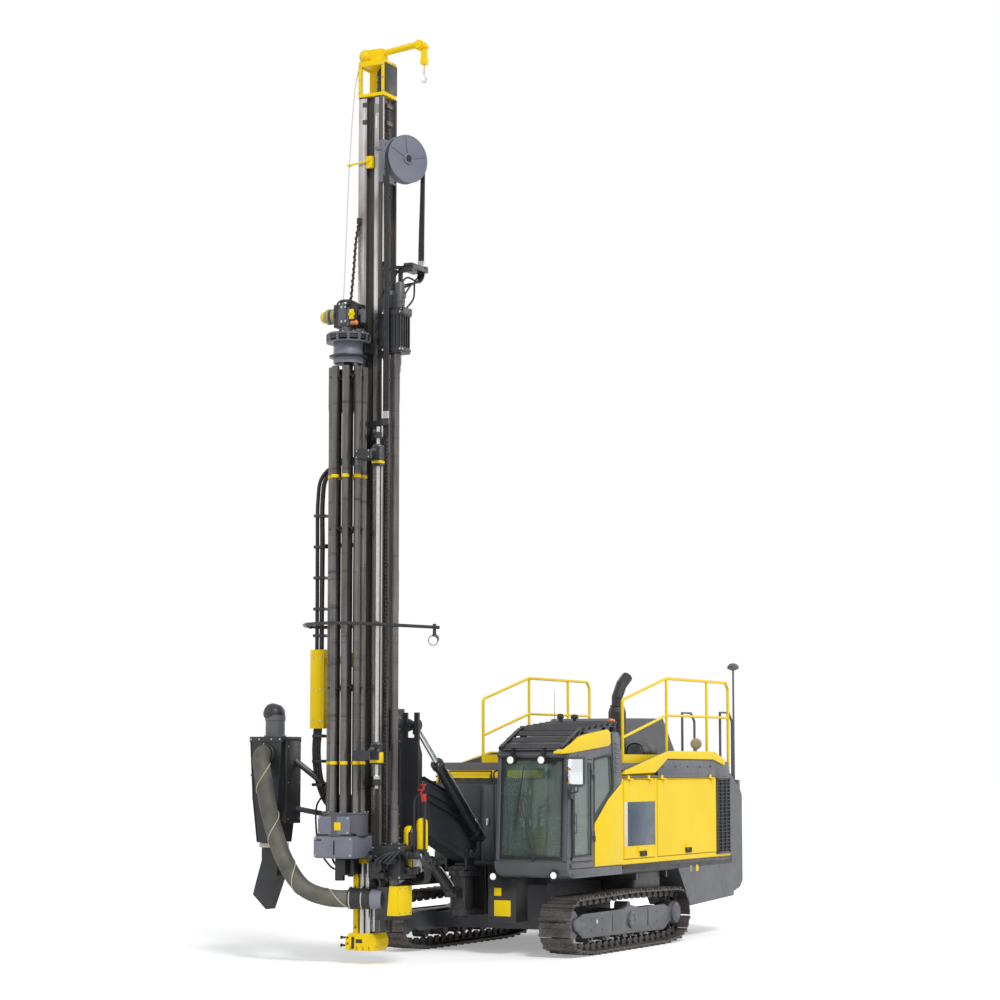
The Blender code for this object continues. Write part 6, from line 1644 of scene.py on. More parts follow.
def makeCarouselTop():
    x, y = carouselLook["x"], carouselLook["y"]
    base = carouselLook["high"] + 0.006
    begin("carouselDrum")
    spun((x, y, base + 0.032), (0, 0, 1), [(0.150, 0), (0.1660, 0.002), (0.1660, 0.235), (0.158, 0.250),
        (0.150, 0.250)], 44)
    finish("steelBlue", "mast", 0)
    begin("carouselCrown")
    spun((x, y, base + 0.262), (0, 0, 1), [(0.17, 0), (0.2465, 0.002), (0.2465, 0.018), (0.17, 0.020)], 48)
    for k in range(12):
        a = 2 * pi * k / 12
        beam((x + 0.155 * cos(a), y + 0.155 * sin(a), base + 0.315),
            (x + 0.2465 * cos(a), y + 0.2465 * sin(a), base + 0.315), 0.028, 0.070)
    capped((x, y, base + 0.348), (0, 0, 1), [(0.2465, 0), (0.2465, 0.012), (0.235, 0.020)], 48)
    capped((x, y, base + 0.365), (0, 0, 1), [(0.115, 0), (0.110, 0.03), (0.095, 0.045), (0.095, 0.12)], 32)
    for k in range(6):
        a = 2 * pi * (k + 0.5) / 6
        beam((x + 0.09 * cos(a), y + 0.09 * sin(a), base + 0.385),
            (x + 0.20 * cos(a), y + 0.20 * sin(a), base + 0.375), 0.012, 0.045)
    block((x - 0.075, x + 0.065), (y - 0.098, y + 0.09), (base + 0.45, base + 0.66))
    block((x - 0.05, x + 0.03), (y - 0.115, y - 0.09), (base + 0.47, base + 0.70))
    rod((x + 0.12, y - 0.02, base + 0.60), (x + 0.22, y - 0.02, base + 0.60), 0.042, 20)
    rod((x + 0.20, y - 0.02, base + 0.62), (x + 0.20, y - 0.02, base + 0.48), 0.036, 20)
    finish("graphite", "mast", 0.004)
    begin("carouselMotor")
    spun((x - 0.135, y - 0.02, base + 0.58), (-1, 0, 0),
        [(0.0005, 0), (0.088, 0), (0.088, 0.045), (0.080, 0.05), (0.080, 0.075), (0.088, 0.08),
        (0.088, 0.115), (0.070, 0.135), (0.064, 0.145), (0.0005, 0.145)], 32)
    finish("khaki", "mast", 0.002)
    begin("carouselMotorCap")
    spun((x - 0.280, y - 0.02, base + 0.58), (-1, 0, 0),
        [(0.0005, 0), (0.065, 0), (0.067, 0.02), (0.056, 0.038), (0.0005, 0.042)], 28)
    block((x + 0.075, x + 0.125), (y - 0.118, y - 0.088), (base + 0.52, base + 0.63))
    block((x + 0.065, x + 0.140), (y - 0.118, y - 0.095), (base + 0.56, base + 0.59))
    finish("yellow", "mast", 0.003)
    begin("carouselPort")
    rod((x + 0.10, y - 0.10, base + 0.475), (x + 0.17, y - 0.13, base + 0.47), 0.024, 16)
    ball((x + 0.175, y - 0.132, base + 0.47), 0.027, 16)
    finish("orange", "mast", 0)
    spots = boltCircle((x, y, base + 0.366), 0.225, 12, (0, 0, 1), 0.5)
    spots += [((x - 0.07 + 0.05 * i, y - 0.117, base + 0.50 + 0.16 * j), (0, -1, 0)) for i in (1, 2)
        for j in (0, 1)]
    bolts("carouselTopBolts", spots, 0.010, "bright", "mast")
    tubes("carouselTopHoses", [flowing([(x - 0.10, y - 0.02, base + 0.66),
        (x - 0.06, y - 0.04, base + 0.74), (x + 0.04, y + 0.02, base + 0.72),
        (x + 0.09, y + 0.16, base + 0.60), (x + 0.08, -3.37, base + 0.45)], 7),
        flowing([(x - 0.16, y - 0.02, base + 0.665), (x - 0.12, y + 0.02, base + 0.76),
        (x + 0.02, y + 0.08, base + 0.75), (x + 0.05, y + 0.18, base + 0.62),
        (x + 0.05, -3.37, base + 0.50)], 7), flowing([(x + 0.03, y - 0.11, base + 0.66),
        (x + 0.08, y - 0.12, base + 0.72), (x + 0.16, y - 0.05, base + 0.68),
        (x + 0.14, y + 0.14, base + 0.55), (x + 0.11, -3.37, base + 0.40)], 7)], 0.011, "rubber", "mast",
        4)
    wrapped = flowing([(-0.575, -3.37, 8.31), (-0.600, -3.40, 8.05), (-0.612, -3.42, 7.75),
        (-0.617, -3.47, 7.40), (-0.60, -3.54, 7.28)], 8)
    tubes("wrappedHose", [wrapped], 0.013, "rubber", "mast", 4)
    tubes("wrappedHoseGuard", [coil(wrapped, 0.016, 15, 10)], 0.006, "moulded", "mast", 2)
    blockPiece("wrappedHoseClip", "black", "mast", 0.003, (-0.597, -0.56), (-3.39, -3.357), (8.27, 8.34))


def makeCarouselBase():
    x, y = carouselLook["x"], carouselLook["y"]
    begin("baseHousings")
    block((-0.800, -0.340), (-3.861, -3.41), (1.165, 1.405))
    block((-0.765, -0.365), (-3.866, -3.845), (1.425, 1.62))
    block((-0.815, -0.325), (-3.870, -3.845), (1.178, 1.395))
    finish("steelBlue", "mast", 0.008, 3)
    begin("baseCup")
    spun((x, y, 1.41), (0, 0, 1), [(0.240, 0), (0.249, 0), (0.249, 0.225), (0.256, 0.232), (0.256, 0.250),
        (0.2395, 0.250)], 48)
    finish("graphite", "mast", 0)
    blockPiece("baseTag", "yellow", "mast", 0.001, (-0.555, -0.475), (-3.8695, -3.8655), (1.47, 1.555))
    spots = [((a, -3.8705, z), (0, -1, 0)) for a in (-0.79, -0.35) for z in (1.20, 1.375)]
    spots += [((a, -3.8665, z), (0, -1, 0)) for a in (-0.745, -0.385) for z in (1.445, 1.60)]
    spots += boltCircle((x, y, 1.661), 0.2485, 10, (0, 0, 1))
    bolts("baseBolts", spots, 0.0085, "bright", "mast")
    # flat black strips on the housing's face: painted shade standing in for the dark inside its slots
    begin("baseSlot")
    block((-0.79, -0.715), (-3.8725, -3.868), (1.355, 1.372))
    block((-0.565, -0.545), (-3.8725, -3.868), (1.20, 1.36))
    finish("black", "mast", 0)
    begin("baseUnder")
    block((-0.62, -0.50), (-3.72, -3.40), (0.98, 1.17))
    block((-0.66, -0.46), (-3.40, -3.3575), (0.95, 1.30))
    rod((-0.60, -3.66, 1.17), (-0.60, -3.66, 0.92), 0.055, 20)
    rod((-0.48, -3.60, 1.17), (-0.48, -3.60, 0.98), 0.040, 18)
    finish("black", "mast", 0.005)


makeCarousel()
makeCarouselTop()
makeCarouselBase()
print("carousel ready")


# Foot of the feed: breakout table, dust hood and hose, separator, foot bars

def makeTable():
    begin("tableParts")
    spun((-0.07, -3.40, 1.295), (0, 0, 1), [(0.098, 0), (0.138, 0), (0.138, 0.022), (0.122, 0.034),
        (0.098, 0.034)], 36)
    block((-0.25, 0.11), (-3.575, -3.225), (1.255, 1.302))
    block((-0.25, 0.11), (-3.575, -3.225), (0.945, 0.985))
    for cx, cz, r in ((-0.11, 1.08, 0.064), (0.03, 1.15, 0.045), (-0.20, 1.17, 0.040)):
        capped((cx, -3.57, cz), (0, -1, 0), [(r, 0), (r, 0.05), (r * 0.86, 0.055), (r * 0.86, 0.10),
            (r, 0.105), (r, 0.15), (r * 0.7, 0.165)], 24)
    for cy, cz, r in ((-3.32, 1.12, 0.074), (-3.46, 1.20, 0.045), (-3.44, 1.04, 0.040)):
        capped((0.10, cy, cz), (1, 0, 0), [(r, 0), (r, 0.05), (r * 0.86, 0.055), (r * 0.86, 0.12),
            (r, 0.125), (r, 0.16), (r * 0.7, 0.172)], 24)
    block((-0.215, -0.05), (-3.665, -3.575), (0.955, 1.02))
    block((-0.30, -0.245), (-3.56, -3.40), (0.98, 1.14))
    for k in range(4):
        rod((-0.19 + 0.04 * k, -3.62, 1.02), (-0.19 + 0.04 * k, -3.62, 1.055), 0.014, 12)
        rod((-0.245 + 0.09 * k, -3.578, 0.93), (-0.245 + 0.09 * k, -3.578, 0.955), 0.018, 12)
    block((-0.33, -0.25), (-3.50, -3.36), (1.15, 1.24))
    block((-0.26, 0.04), (-3.23, -3.16), (0.92, 1.02))
    finish("black", "mast", 0.005)
    begin("tableDomes")
    for cx, cy, r, base, top in ((0.040, -3.245, 0.070, 1.30, 1.515), (0.172, -3.205, 0.064, 1.26, 1.60)):
        spun((cx, cy, base), (0, 0, 1), [(0.0005, 0), (r, 0), (r, top - base - 0.07),
            (r * 0.92, top - base - 0.035), (r * 0.62, top - base - 0.010), (0.0005, top - base)], 32)
    finish("yellow", "mast", 0)
    begin("domeBases")
    for cx, cy, base in ((0.040, -3.245, 1.275), (0.172, -3.205, 1.20)):
        capped((cx, cy, base), (0, 0, 1), [(0.078, 0), (0.078, 0.022), (0.066, 0.030)], 24)
    block((0.10, 0.24), (-3.26, -3.15), (1.13, 1.20))
    finish("black", "mast", 0.002)
    tubes("valvePipes", [rounded([(0.118, -3.29, 1.22), (0.118, -3.29, 1.80), (0.155, -3.29, 1.845),
        (0.225, -3.29, 1.85)], 0.03), rounded([(0.24, -3.27, 1.16), (0.24, -3.27, 1.74),
        (0.24, -3.27, 1.78)], 0.03)], 0.013, "black", "mast", 4)
    begin("valveHandles")
    for x0, z in ((0.205, 1.885), (0.235, 1.94)):
        rod((x0, -3.29, z - 0.035), (x0, -3.29, z + 0.02), 0.012, 12)
        rod((x0 - 0.035, -3.30, z + 0.018), (x0 + 0.035, -3.30, z + 0.018), 0.011, 12)
    block((0.215, 0.262), (-3.31, -3.27), (1.775, 1.86))
    finish("red", "mast", 0.003)
    blockPiece("sideTagWhite", "white", "mast", 0.0015, (0.172, 0.282), (-3.412, -3.407), (1.02, 1.215))
    blockPiece("sideTagYellow", "yellow", "mast", 0.0015, (0.118, 0.163), (-3.412, -3.407), (1.035, 1.205))
    spots = [((a, -3.5755, z), (0, -1, 0)) for a in (-0.235, 0.095) for z in (0.962, 1.28)]
    spots += boltCircle((-0.07, -3.40, 1.318), 0.126, 10, (0, 0, 1))
    spots += [((-0.19 + 0.04 * k, -3.62, 1.055), (0, 0, 1)) for k in range(4)]
    bolts("tableBolts", spots, 0.008, "bright", "mast")
    runs = []
    for k in range(5):
        sx = -0.19 + 0.04 * k
        runs.append(flowing([(sx, -3.62, 1.05), (sx - 0.01, -3.64, 1.12 + 0.012 * k),
            (sx - 0.05, -3.62, 1.17), (-0.27 - 0.008 * k, -3.50, 1.10 - 0.02 * k),
            (-0.31, -3.38, 0.98 - 0.03 * k)], 6))
    for k in range(4):
        runs.append(flowing([(0.27, -3.30 - 0.045 * k, 1.13 + 0.02 * k), (0.33, -3.32 - 0.04 * k, 1.06),
            (0.31, -3.30 - 0.03 * k, 0.93), (0.18, -3.26 - 0.02 * k, 0.905 - 0.006 * k),
            (0.02, -3.22, 0.93)], 6))
    for k in range(4):
        runs.append(flowing([(-0.11 + 0.05 * k, -3.735, 1.08 + 0.02 * k), (-0.08 + 0.06 * k, -3.77, 1.15),
            (0.02 + 0.05 * k, -3.70, 1.22 + 0.012 * k), (0.10 + 0.02 * k, -3.56, 1.22),
            (0.13, -3.46, 1.16 - 0.02 * k)], 6))
    runs.append(flowing([(-0.62, -3.38, 1.60), (-0.70, -3.42, 1.58), (-0.80, -3.46, 1.36),
        (-0.80, -3.48, 1.14), (-0.66, -3.50, 1.02), (-0.56, -3.50, 1.0)], 8))
    tubes("tableHoses", runs, 0.0125, "rubber", "mast", 4)
    tubes("tableDropHoses", [flowing([(-0.30 - 0.02 * k, -3.375, 1.0), (-0.31 - 0.02 * k, -3.40, 0.9),
        (-0.27 - 0.02 * k, -3.39, 0.78), (-0.22, -3.30, 0.80 + 0.03 * k), (-0.16, -3.22, 0.95)], 6)
        for k in range(3)], 0.012, "rubber", "mast", 4)


def makeFoot():
    begin("footBars")
    for dx in (-0.03, 0.04):
        rod((-0.44 + dx, -3.3903, 0.336), (-0.44 + dx, -3.3903, 1.098), 0.0292, 28)
    finish("rail", "mast", 0)
    begin("footPins")
    for z in (0.20, 0.285):
        rod((-0.665, -3.36, z), (-0.765, -3.36, z), 0.012, 14)
        rod((-0.745, -3.36, z), (-0.757, -3.36, z), 0.020, 14)
    block((-0.62, -0.575), (-3.33, -3.125), (0.345, 1.15))
    block((-0.305, -0.300), (-3.32, -3.125), (0.36, 0.92))
    finish("black", "mast", 0.003)
    begin("footPlates")
    block((-0.59, -0.555), (-3.424, -3.4215), (0.17, 0.30))
    block((-0.535, -0.455), (-3.4245, -3.4215), (0.235, 0.275))
    finish("black", "mast", 0.001)
    spots = [((-0.64, -3.4215, z), (0, -1, 0)) for z in (0.225, 0.29)]
    spots += [((-0.55, -3.4075, z), (0, -1, 0)) for z in (0.40, 0.62, 0.84, 1.04)]
    bolts("footBolts", spots, 0.0085, "black", "mast")


hoodLook = {"collar": (-0.15, -3.50, 0.72), "way": Vector((-1, -0.25, 0.02)).normalized(),
    "reach": 0.1703, "hose": 0.0955}


def makeHood():
    begin("hoodPlates")
    plate("y", [(-0.062, 0.548), (0.0765, 0.548), (0.0765, 0.866), (-0.034, 0.866)], -3.5675, -3.5605)
    block((0.0705, 0.0765), (-3.5675, -3.256), (0.548, 0.866))
    block((0.0705, 0.0815), (-3.5675, -3.5560), (0.548, 0.866))
    finish("yellow", "hood", 0.002)
    begin("hoodSkirt")
    ringPlate("z", [(-0.196, -3.566), (0.076, -3.566), (0.076, -3.254), (-0.196, -3.254)],
        [(-0.184, -3.554), (0.064, -3.554), (0.064, -3.266), (-0.184, -3.266)], 0.500, 0.546)
    finish("rubber", "hood", 0)
    collar, way = hoodLook["collar"], hoodLook["way"]
    begin("hoodCollar")
    spun(collar, way, [(0.1002, 0.0), (0.1105, 0.0), (0.1105, 0.125), (0.1002, 0.125)], 40)
    finish("steelBlue", "hood", 0)
    begin("hoodCoupling")
    spun(collar, way, [(0.0985, 0.14), (0.1115, 0.142), (0.1115, 0.20), (0.113, 0.206), (0.113, 0.33),
        (0.118, 0.336), (0.118, 0.378), (0.0985, 0.382)], 40)
    finish("rubber", "hood", 0)
    begin("hoodClamps")
    for d in (0.215, 0.350):
        spun(collar, way, [(0.112, d), (0.1205, d + 0.001), (0.1205, d + 0.013), (0.112, d + 0.014)], 40)
        place = Vector(collar) + way * (d + 0.007) + Vector((0, -0.02, 0.122))
        beam(place - Vector((0, 0.022, 0)), place + Vector((0, 0.022, 0)), 0.014, 0.012)
    finish("bright", "hood", 0)
    spots = [((0.077, y, z), (1, 0, 0)) for y in (-3.53, -3.41, -3.29) for z in (0.575, 0.84)]
    bolts("hoodBolts", spots, 0.007, "bright", "hood")
    end = Vector(collar) + way * hoodLook["reach"]
    route = flowing([(-1.55, -3.6903, 2.30), (-1.55, -3.74, 2.30), (-1.53, -3.82, 2.24),
        (-1.46, -3.885, 2.06), (-1.38, -3.87, 1.65), (-1.24, -3.83, 1.20), (-1.02, -3.78, 0.86),
        (-0.74, -3.68, 0.735), tuple(end + way * 0.12), tuple(end)], 8)
    hose = tubes("dustHose", [route], hoodLook["hose"], "hose", "mast", 12, ride=False,
        replaced=("dust_hose",))
    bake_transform(hose)
    wire = tubes("dustHoseSpiral", [coil(route[6:], hoodLook["hose"] + 0.0015, 4.2, 30)], 0.0058,
        "hoseWire", "mast", 2, ride=False)
    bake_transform(wire)


def makeSeparator():
    x, y = -1.55, -3.50
    begin("separatorBands")
    ringPlate("z", [(x - 0.2095, y - 0.202), (x + 0.222, y - 0.202), (x + 0.222, y + 0.202),
        (x - 0.2095, y + 0.202)], [(x - 0.20, y - 0.18), (x + 0.20, y - 0.18), (x + 0.20, y + 0.18),
        (x - 0.20, y + 0.18)], 2.430, 2.490)
    for z, half in ((2.05, 0.192), (1.80, 0.173)):
        block((x - half - 0.002, x + half + 0.002), (y - 0.196, y - 0.1895), (z, z + 0.022))
    for sx in (-1, 1):
        plate("y", [(x + sx * 0.205, 2.43), (x + sx * 0.168, 1.80), (x + sx * 0.110, 1.34),
            (x + sx * 0.096, 1.34), (x + sx * 0.153, 1.80), (x + sx * 0.190, 2.43)], y - 0.1975,
            y - 0.1895)
    block((x + 0.215, x + 0.252), (y - 0.145, y + 0.145), (1.53, 2.44))
    finish("black", "mast", 0.003)
    begin("separatorNeck")
    spun((x, y, 2.485), (0, 0, 1), [(0.10, 0), (0.125, 0), (0.125, 0.018), (0.1085, 0.026),
        (0.1085, 0.18), (0.1155, 0.185), (0.1155, 0.245), (0.10, 0.25)], 36)
    finish("graphite", "mast", 0)
    begin("separatorCap")
    spun((x - 0.02, y, 2.735), (0.35, 0, 1), [(0.0005, -0.04), (0.112, -0.04), (0.123, 0.0),
        (0.121, 0.04), (0.104, 0.085), (0.062, 0.118), (0.0005, 0.126)], 36)
    finish("black", "mast", 0)
    begin("separatorClamp")
    spun((x, y, 1.262), (0, 0, 1), [(0.118, 0), (0.165, 0.001), (0.165, 0.052), (0.118, 0.054)], 40)
    block((x + 0.03, x + 0.075), (y - 0.168, y - 0.138), (1.268, 1.315))
    finish("cream", "mast", 0.003)
    begin("separatorInlet")
    capped((x, y - 0.189, 2.30), (0, -1, 0), [(0.116, 0), (0.116, 0.018), (0.103, 0.026), (0.103, 0.055)],
        36)
    finish("black", "mast", 0)
    spots = [((x + sx * dx, y - 0.2025, 2.46), (0, -1, 0)) for sx in (-1, 1) for dx in (0.08, 0.19)]
    spots += [((x + 0.095 * cos(a), y - 0.2075, 2.30 + 0.105 * sin(a)), (0, -1, 0))
        for a in (radians(v) for v in (100, 200, 250, 340))]
    spots += [((x + 0.2525, y + yy, z), (1, 0, 0)) for yy in (-0.12, 0.12) for z in (1.58, 1.98, 2.38)]
    bolts("separatorBolts", spots, 0.008, "bright", "mast")
    # strut brackets to the beam
    begin("separatorBrackets")
    block((-0.640, -0.585), (-3.27, -3.13), (1.49, 1.83))
    for z in (1.60, 1.72):
        rod((-0.70, -3.20, z), (-0.64, -3.20, z), 0.045, 20)
    finish("black", "mast", 0.004)


makeTable()
makeFoot()
makeHood()
makeSeparator()
print("foot of the feed ready")


# Beside the beam: hose tray, guard bar and rod grippers

def makeTray():
    x, y, right = -1.05, -3.36, -0.62
    begin("trayCover")
    block((x - 0.09, x + 0.09), (y - 0.07, y + 0.08), (2.58, 3.46))
    block((x + 0.08, right + 0.01), (y, y + 0.06), (3.30, 3.38))
    block((right - 0.04, -0.5705), (y + 0.05, -3.15), (3.26, 3.42))
    block((right - 0.04, right + 0.01), (y, y + 0.07), (3.26, 3.42))
    block((x - 0.065, x + 0.065), (y - 0.0735, y - 0.069), (2.64, 3.40))
    finish("yellow", "mast", 0.010, 3, replaced=("hose_tray",))
    spots = [((x + a, y - 0.0735, z), (0, -1, 0)) for a in (-0.05, 0.05) for z in (2.67, 3.02, 3.37)]
    bolts("trayBolts", spots, 0.008, "bright", "mast")
    runs = []
    for dx, dy in ((-0.035, -0.02), (0.0, 0.015), (0.034, -0.022)):
        runs.append(flowing([(x + dx, y + dy, 3.45), (x + dx, y + dy, 4.0), (x + dx * 1.1, y + dy, 4.6),
            (x + dx, y + dy, 5.15), (x + dx + 0.05, y + dy + 0.02, 5.42),
            (right - 0.14 + dx, y + dy + 0.06, 5.60), (right - 0.05 + dx, y + 0.12 + dy, 5.58)], 7))
    tubes("trayHoses", runs, 0.0215, "rubber", "mast", 5)
    runs = [flowing([(x - 0.02 + dx, y - 0.01, 2.60), (x - 0.03 + dx, y - 0.02, 2.30),
        (x + dx, y + 0.01, 1.98), (x + 0.12 + dx, y + 0.05, 1.72), (-0.72, -3.22, 1.60 - dx),
        (-0.60, -3.20, 1.56)], 8) for dx in (-0.035, 0.0, 0.035)]
    tubes("trayLowHoses", runs, 0.019, "rubber", "mast", 5)
    begin("trayClamps")
    for z in (2.48, 2.20, 1.94, 3.60, 3.9, 4.25, 4.6, 4.95):
        block((x - 0.068, x + 0.068), (y - 0.058, y + 0.045), (z, z + 0.034))
    block((x - 0.02, right + 0.01), (y + 0.02, y + 0.06), (4.605, 4.65))
    block((right - 0.03, -0.5705), (y + 0.04, -3.15), (4.57, 4.69))
    block((right - 0.16, -0.5705), (y + 0.10, -3.17), (5.54, 5.62))
    finish("black", "mast", 0.004)
    loop = flowing([(-0.98, -3.36, 1.86), (-1.06, -3.40, 1.72), (-1.05, -3.42, 1.45),
        (-0.98, -3.44, 1.22), (-0.85, -3.44, 1.06), (-0.76, -3.42, 1.03), (-0.64, -3.38, 1.05)], 8)
    tubes("trayLoop", [loop], 0.011, "rubber", "mast", 4)


def makeGuard():
    begin("guardLamp")
    spun((0.5755, -3.705, 3.515), (0.3, -0.9, -0.3),
        [(0.0005, -0.052), (0.036, -0.050), (0.052, -0.018), (0.055, 0.008), (0.050, 0.012),
        (0.047, 0.004), (0.0005, 0.002)], 28)
    block((0.535, 0.565), (-3.64, -3.615), (3.58, 3.70))
    for place in ((-1.146, -3.42, 3.72), (-0.74, -3.93, 3.72), (-0.05, -3.83, 3.708)):
        ball(place, 0.027, 14)
    ball((0.59, -3.62, 3.66), 0.0205, 14)
    finish("black", "mast", 0)
    begin("guardLampLens")
    spun((0.5755, -3.705, 3.515), (0.3, -0.9, -0.3),
        [(0.0005, 0.003), (0.0465, 0.003), (0.045, 0.010), (0.0005, 0.014)], 28)
    finish("lamp", "mast", 0)


def makeGrippers():
    gx, gy = -0.17, -3.62
    for name, z in (("lower", 2.18), ("upper", 5.46)):
        begin(name + "GripperCover")
        if name == "lower":
            block((gx - 0.056, gx + 0.056), (gy - 0.056, gy + 0.056), (z + 0.02, z + 0.135))
        else:
            block((gx - 0.054, gx + 0.054), (gy - 0.054, gy + 0.054), (z + 0.03, z + 0.06))
        finish("yellow", "grippers", 0.004)
        begin(name + "GripperParts")
        spun((gx, gy, z + 0.2205), (0, 0, 1),
            [(0.0235, 0), (0.044, 0), (0.044, 0.018), (0.032, 0.026), (0.0235, 0.026)], 24)
        for side in (-1, 1):
            rod((gx + side * 0.052, gy - 0.06, z + 0.17), (gx + side * 0.052, gy - 0.06, z + 0.115),
                0.017, 14)
            block((gx + side * 0.036, gx + side * 0.046), (-3.74, -3.66), (z + 0.07, z + 0.13))
        rod((gx, gy - 0.06, z + 0.165), (gx, gy - 0.135, z + 0.165), 0.020, 16)
        rod((gx, gy - 0.08, z + 0.165), (gx, gy - 0.11, z + 0.165), 0.025, 16)
        finish("graphite", "grippers", 0.002)
        spots = [((gx + a, -3.9608, z + b), (0, -1, 0)) for a in (-0.075, 0.075)
            for b in (0.066, 0.134)] if name == "upper" else []
        spots += [((gx + a, gy + b, z + 0.2205), (0, 0, 1)) for a in (-0.038, 0.038)
            for b in (-0.038, 0.038)]
        bolts(name + "GripperBolts", spots, 0.0065, "bright", "grippers")
    for name, z in (("lower", 1.96), ("upper", 5.78)):
        begin(name + "ArmPlates")
        block((-0.418, -0.327), (-3.362, -3.3565), (z - 0.03, z + 0.09))
        spun((gx, gy, z - 0.008), (0, 0, 1), [(0.030, 0), (0.052, 0), (0.052, 0.007), (0.030, 0.007)], 24)
        finish("black", "mast", 0.002)


makeTray()
makeGuard()
makeGrippers()
print("feed's fittings ready")


# Boom, its cylinders, mount and hoses

boomLook = {"x": -0.36, "half": 0.11, "lift": (-1.34, 1.14), "dump": (-2.70, 1.60)}


def makeBoom():
    x, half = boomLook["x"], boomLook["half"]
    begin("boomPlates")
    for side in (1, -1):
        face = x + side * half
        plate("x", [(-1.48, 1.555), (-2.28, 1.790), (-2.285, 1.775), (-1.49, 1.540)], face - side * 0.020,
            face + side * 0.004)
        plate("x", [(-1.20, 1.12), (-2.16, 1.385), (-2.16, 1.402), (-1.20, 1.137)], face,
            face + side * 0.006)
        plate("x", [(-1.36, 1.700), (-2.36, 1.980), (-2.36, 1.962), (-1.36, 1.682)], face,
            face + side * 0.006)
        for py, pz in (boomLook["lift"], boomLook["dump"]):
            capped((x + side * (half + 0.0565), py, pz), (side, 0, 0),
                [(0.050, 0), (0.050, 0.010), (0.030, 0.016)], 28)
    finish("slate", "boom", 0.003)
    begin("boomClips")
    for t in (0.12, 0.42, 0.72):
        cy, cz = -1.40 - 0.94 * t, 1.745 + 0.262 * t
        block((x - 0.07, x + 0.09), (cy - 0.02, cy + 0.02), (cz - 0.012, cz + 0.060))
    finish("black", "boom", 0.004)
    line = ((-1.18, 1.50), (-1.32, 1.735), (-1.60, 1.825), (-2.10, 1.965), (-2.34, 2.035))
    runs = [flowing([(x - 0.05 + 0.032 * k, y, z) for y, z in line], 7) for k in range(5)]
    tubes("boomHoses", runs, 0.0135, "rubber", "boom", 4)
    # the lift cylinder's gland and hoses, and the dump cylinder's
    for name, px, base, eye, length in (("lift", -0.36, (-1.50, 0.69), (-2.28, 1.24), 0.68),
            ("dump", -0.16, (-1.20, 1.33), (-2.78, 2.62), 1.38)):
        reach = hypot(eye[0] - base[0], eye[1] - base[1])
        way = Vector((0, (eye[0] - base[0]) / reach, (eye[1] - base[1]) / reach))
        start = Vector((px, *base))
        begin(name + "BarrelParts")
        spun(start + way * (length - 0.075), way,
            [(0.062, 0), (0.0765, 0.003), (0.0765, 0.060), (0.070, 0.066), (0.070, 0.0745),
            (0.036, 0.078), (0.036, 0.060), (0.062, 0.05)], 32)
        spun(start + way * 0.10, way, [(0.0605, 0), (0.070, 0.003), (0.070, 0.04), (0.0605, 0.043)], 32)
        side = Vector((1, 0, 0))
        for d in (0.16, length - 0.12):
            capped(start + way * d + side * 0.055, side, [(0.020, 0), (0.020, 0.022), (0.014, 0.030)], 16)
        finish("black", name + "_barrel", 0)
        top = start + way * (length - 0.12) + side * 0.085
        low = start + way * 0.16 + side * 0.085
        tubes(name + "BarrelPipe", [rounded([tuple(top), tuple(top + side * 0.012 - way * 0.03),
            tuple(low + side * 0.012 + way * 0.03), tuple(low)], 0.02)], 0.0085, "bright",
            name + "_barrel", 4)
        begin(name + "RodEye")
        tip = Vector((px, *eye))
        wide = 0.0435 if name == "lift" else 0.0385
        spun(tip - Vector((wide, 0, 0)), (1, 0, 0),
            [(0.0005, 0), (0.048, 0.002), (0.048, 2 * wide - 0.002), (0.0005, 2 * wide)], 28)
        finish("black", name + "_rod", 0)
    begin("postParts")
    spun((x, -1.28, 0.985), (0, 0, 1), [(0.085, 0.010), (0.128, 0.010), (0.128, 0.016), (0.085, 0.018)], 32)
    for side in (1, -1):
        spun((x + side * 0.147, -1.34, 1.14), (side, 0, 0),
            [(0.054, 0), (0.078, 0), (0.078, 0.010), (0.054, 0.012)], 28)
    finish("black", "boom_foot", 0)


def makeMount():
    begin("mountParts")
    for z in (1.36, 2.55):
        for xx in (-0.60, -0.12):
            block((xx - 0.035, xx + 0.035), (-2.8395, -2.828), (z - 0.035, z + 0.035))
    plate("x", [(-2.8395, 1.34), (-2.755, 1.50), (-2.755, 2.30), (-2.8395, 2.46)], -0.645, -0.625)
    plate("x", [(-2.8395, 1.34), (-2.755, 1.50), (-2.755, 2.30), (-2.8395, 2.46)], -0.095, -0.075)
    for z in (1.62, 1.95, 2.25):
        block((-0.625, -0.50), (-2.8395, -2.765), (z, z + 0.018))
    finish("black", "feed_carrier", 0.003)
    spots = [((xx, -2.828, z), (0, 1, 0)) for z in (1.36, 2.55) for xx in (-0.60, -0.12)]
    spots += boltCircle((-0.44, -2.8395, 2.0), 0.14, 8, (0, 1, 0))
    bolts("mountBolts", spots, 0.012, "bright", "feed_carrier")
    begin("cradleParts")
    for z in (1.33, 2.40):
        for side in (-1, 1):
            low, high = sorted((-0.44 + side * 0.2065, -0.44 + side * 0.2165))
            block((low, high), (-3.08, -2.99), (z, z + 0.34))
    finish("black", "cradle", 0.003)
    spots = [((-0.44 + side * 0.2168, y, z), (side, 0, 0)) for side in (-1, 1) for y in (-3.06, -3.01)
        for z in (1.37, 1.50, 1.63, 2.44, 2.57, 2.70)]
    bolts("cradleBolts", spots, 0.009, "bright", "cradle")


makeBoom()
makeMount()
print("boom ready")


# Deck, exhaust, rear housing, small plates and the front service box

deckLook = {"skirt": 1.2205, "front": -0.76}


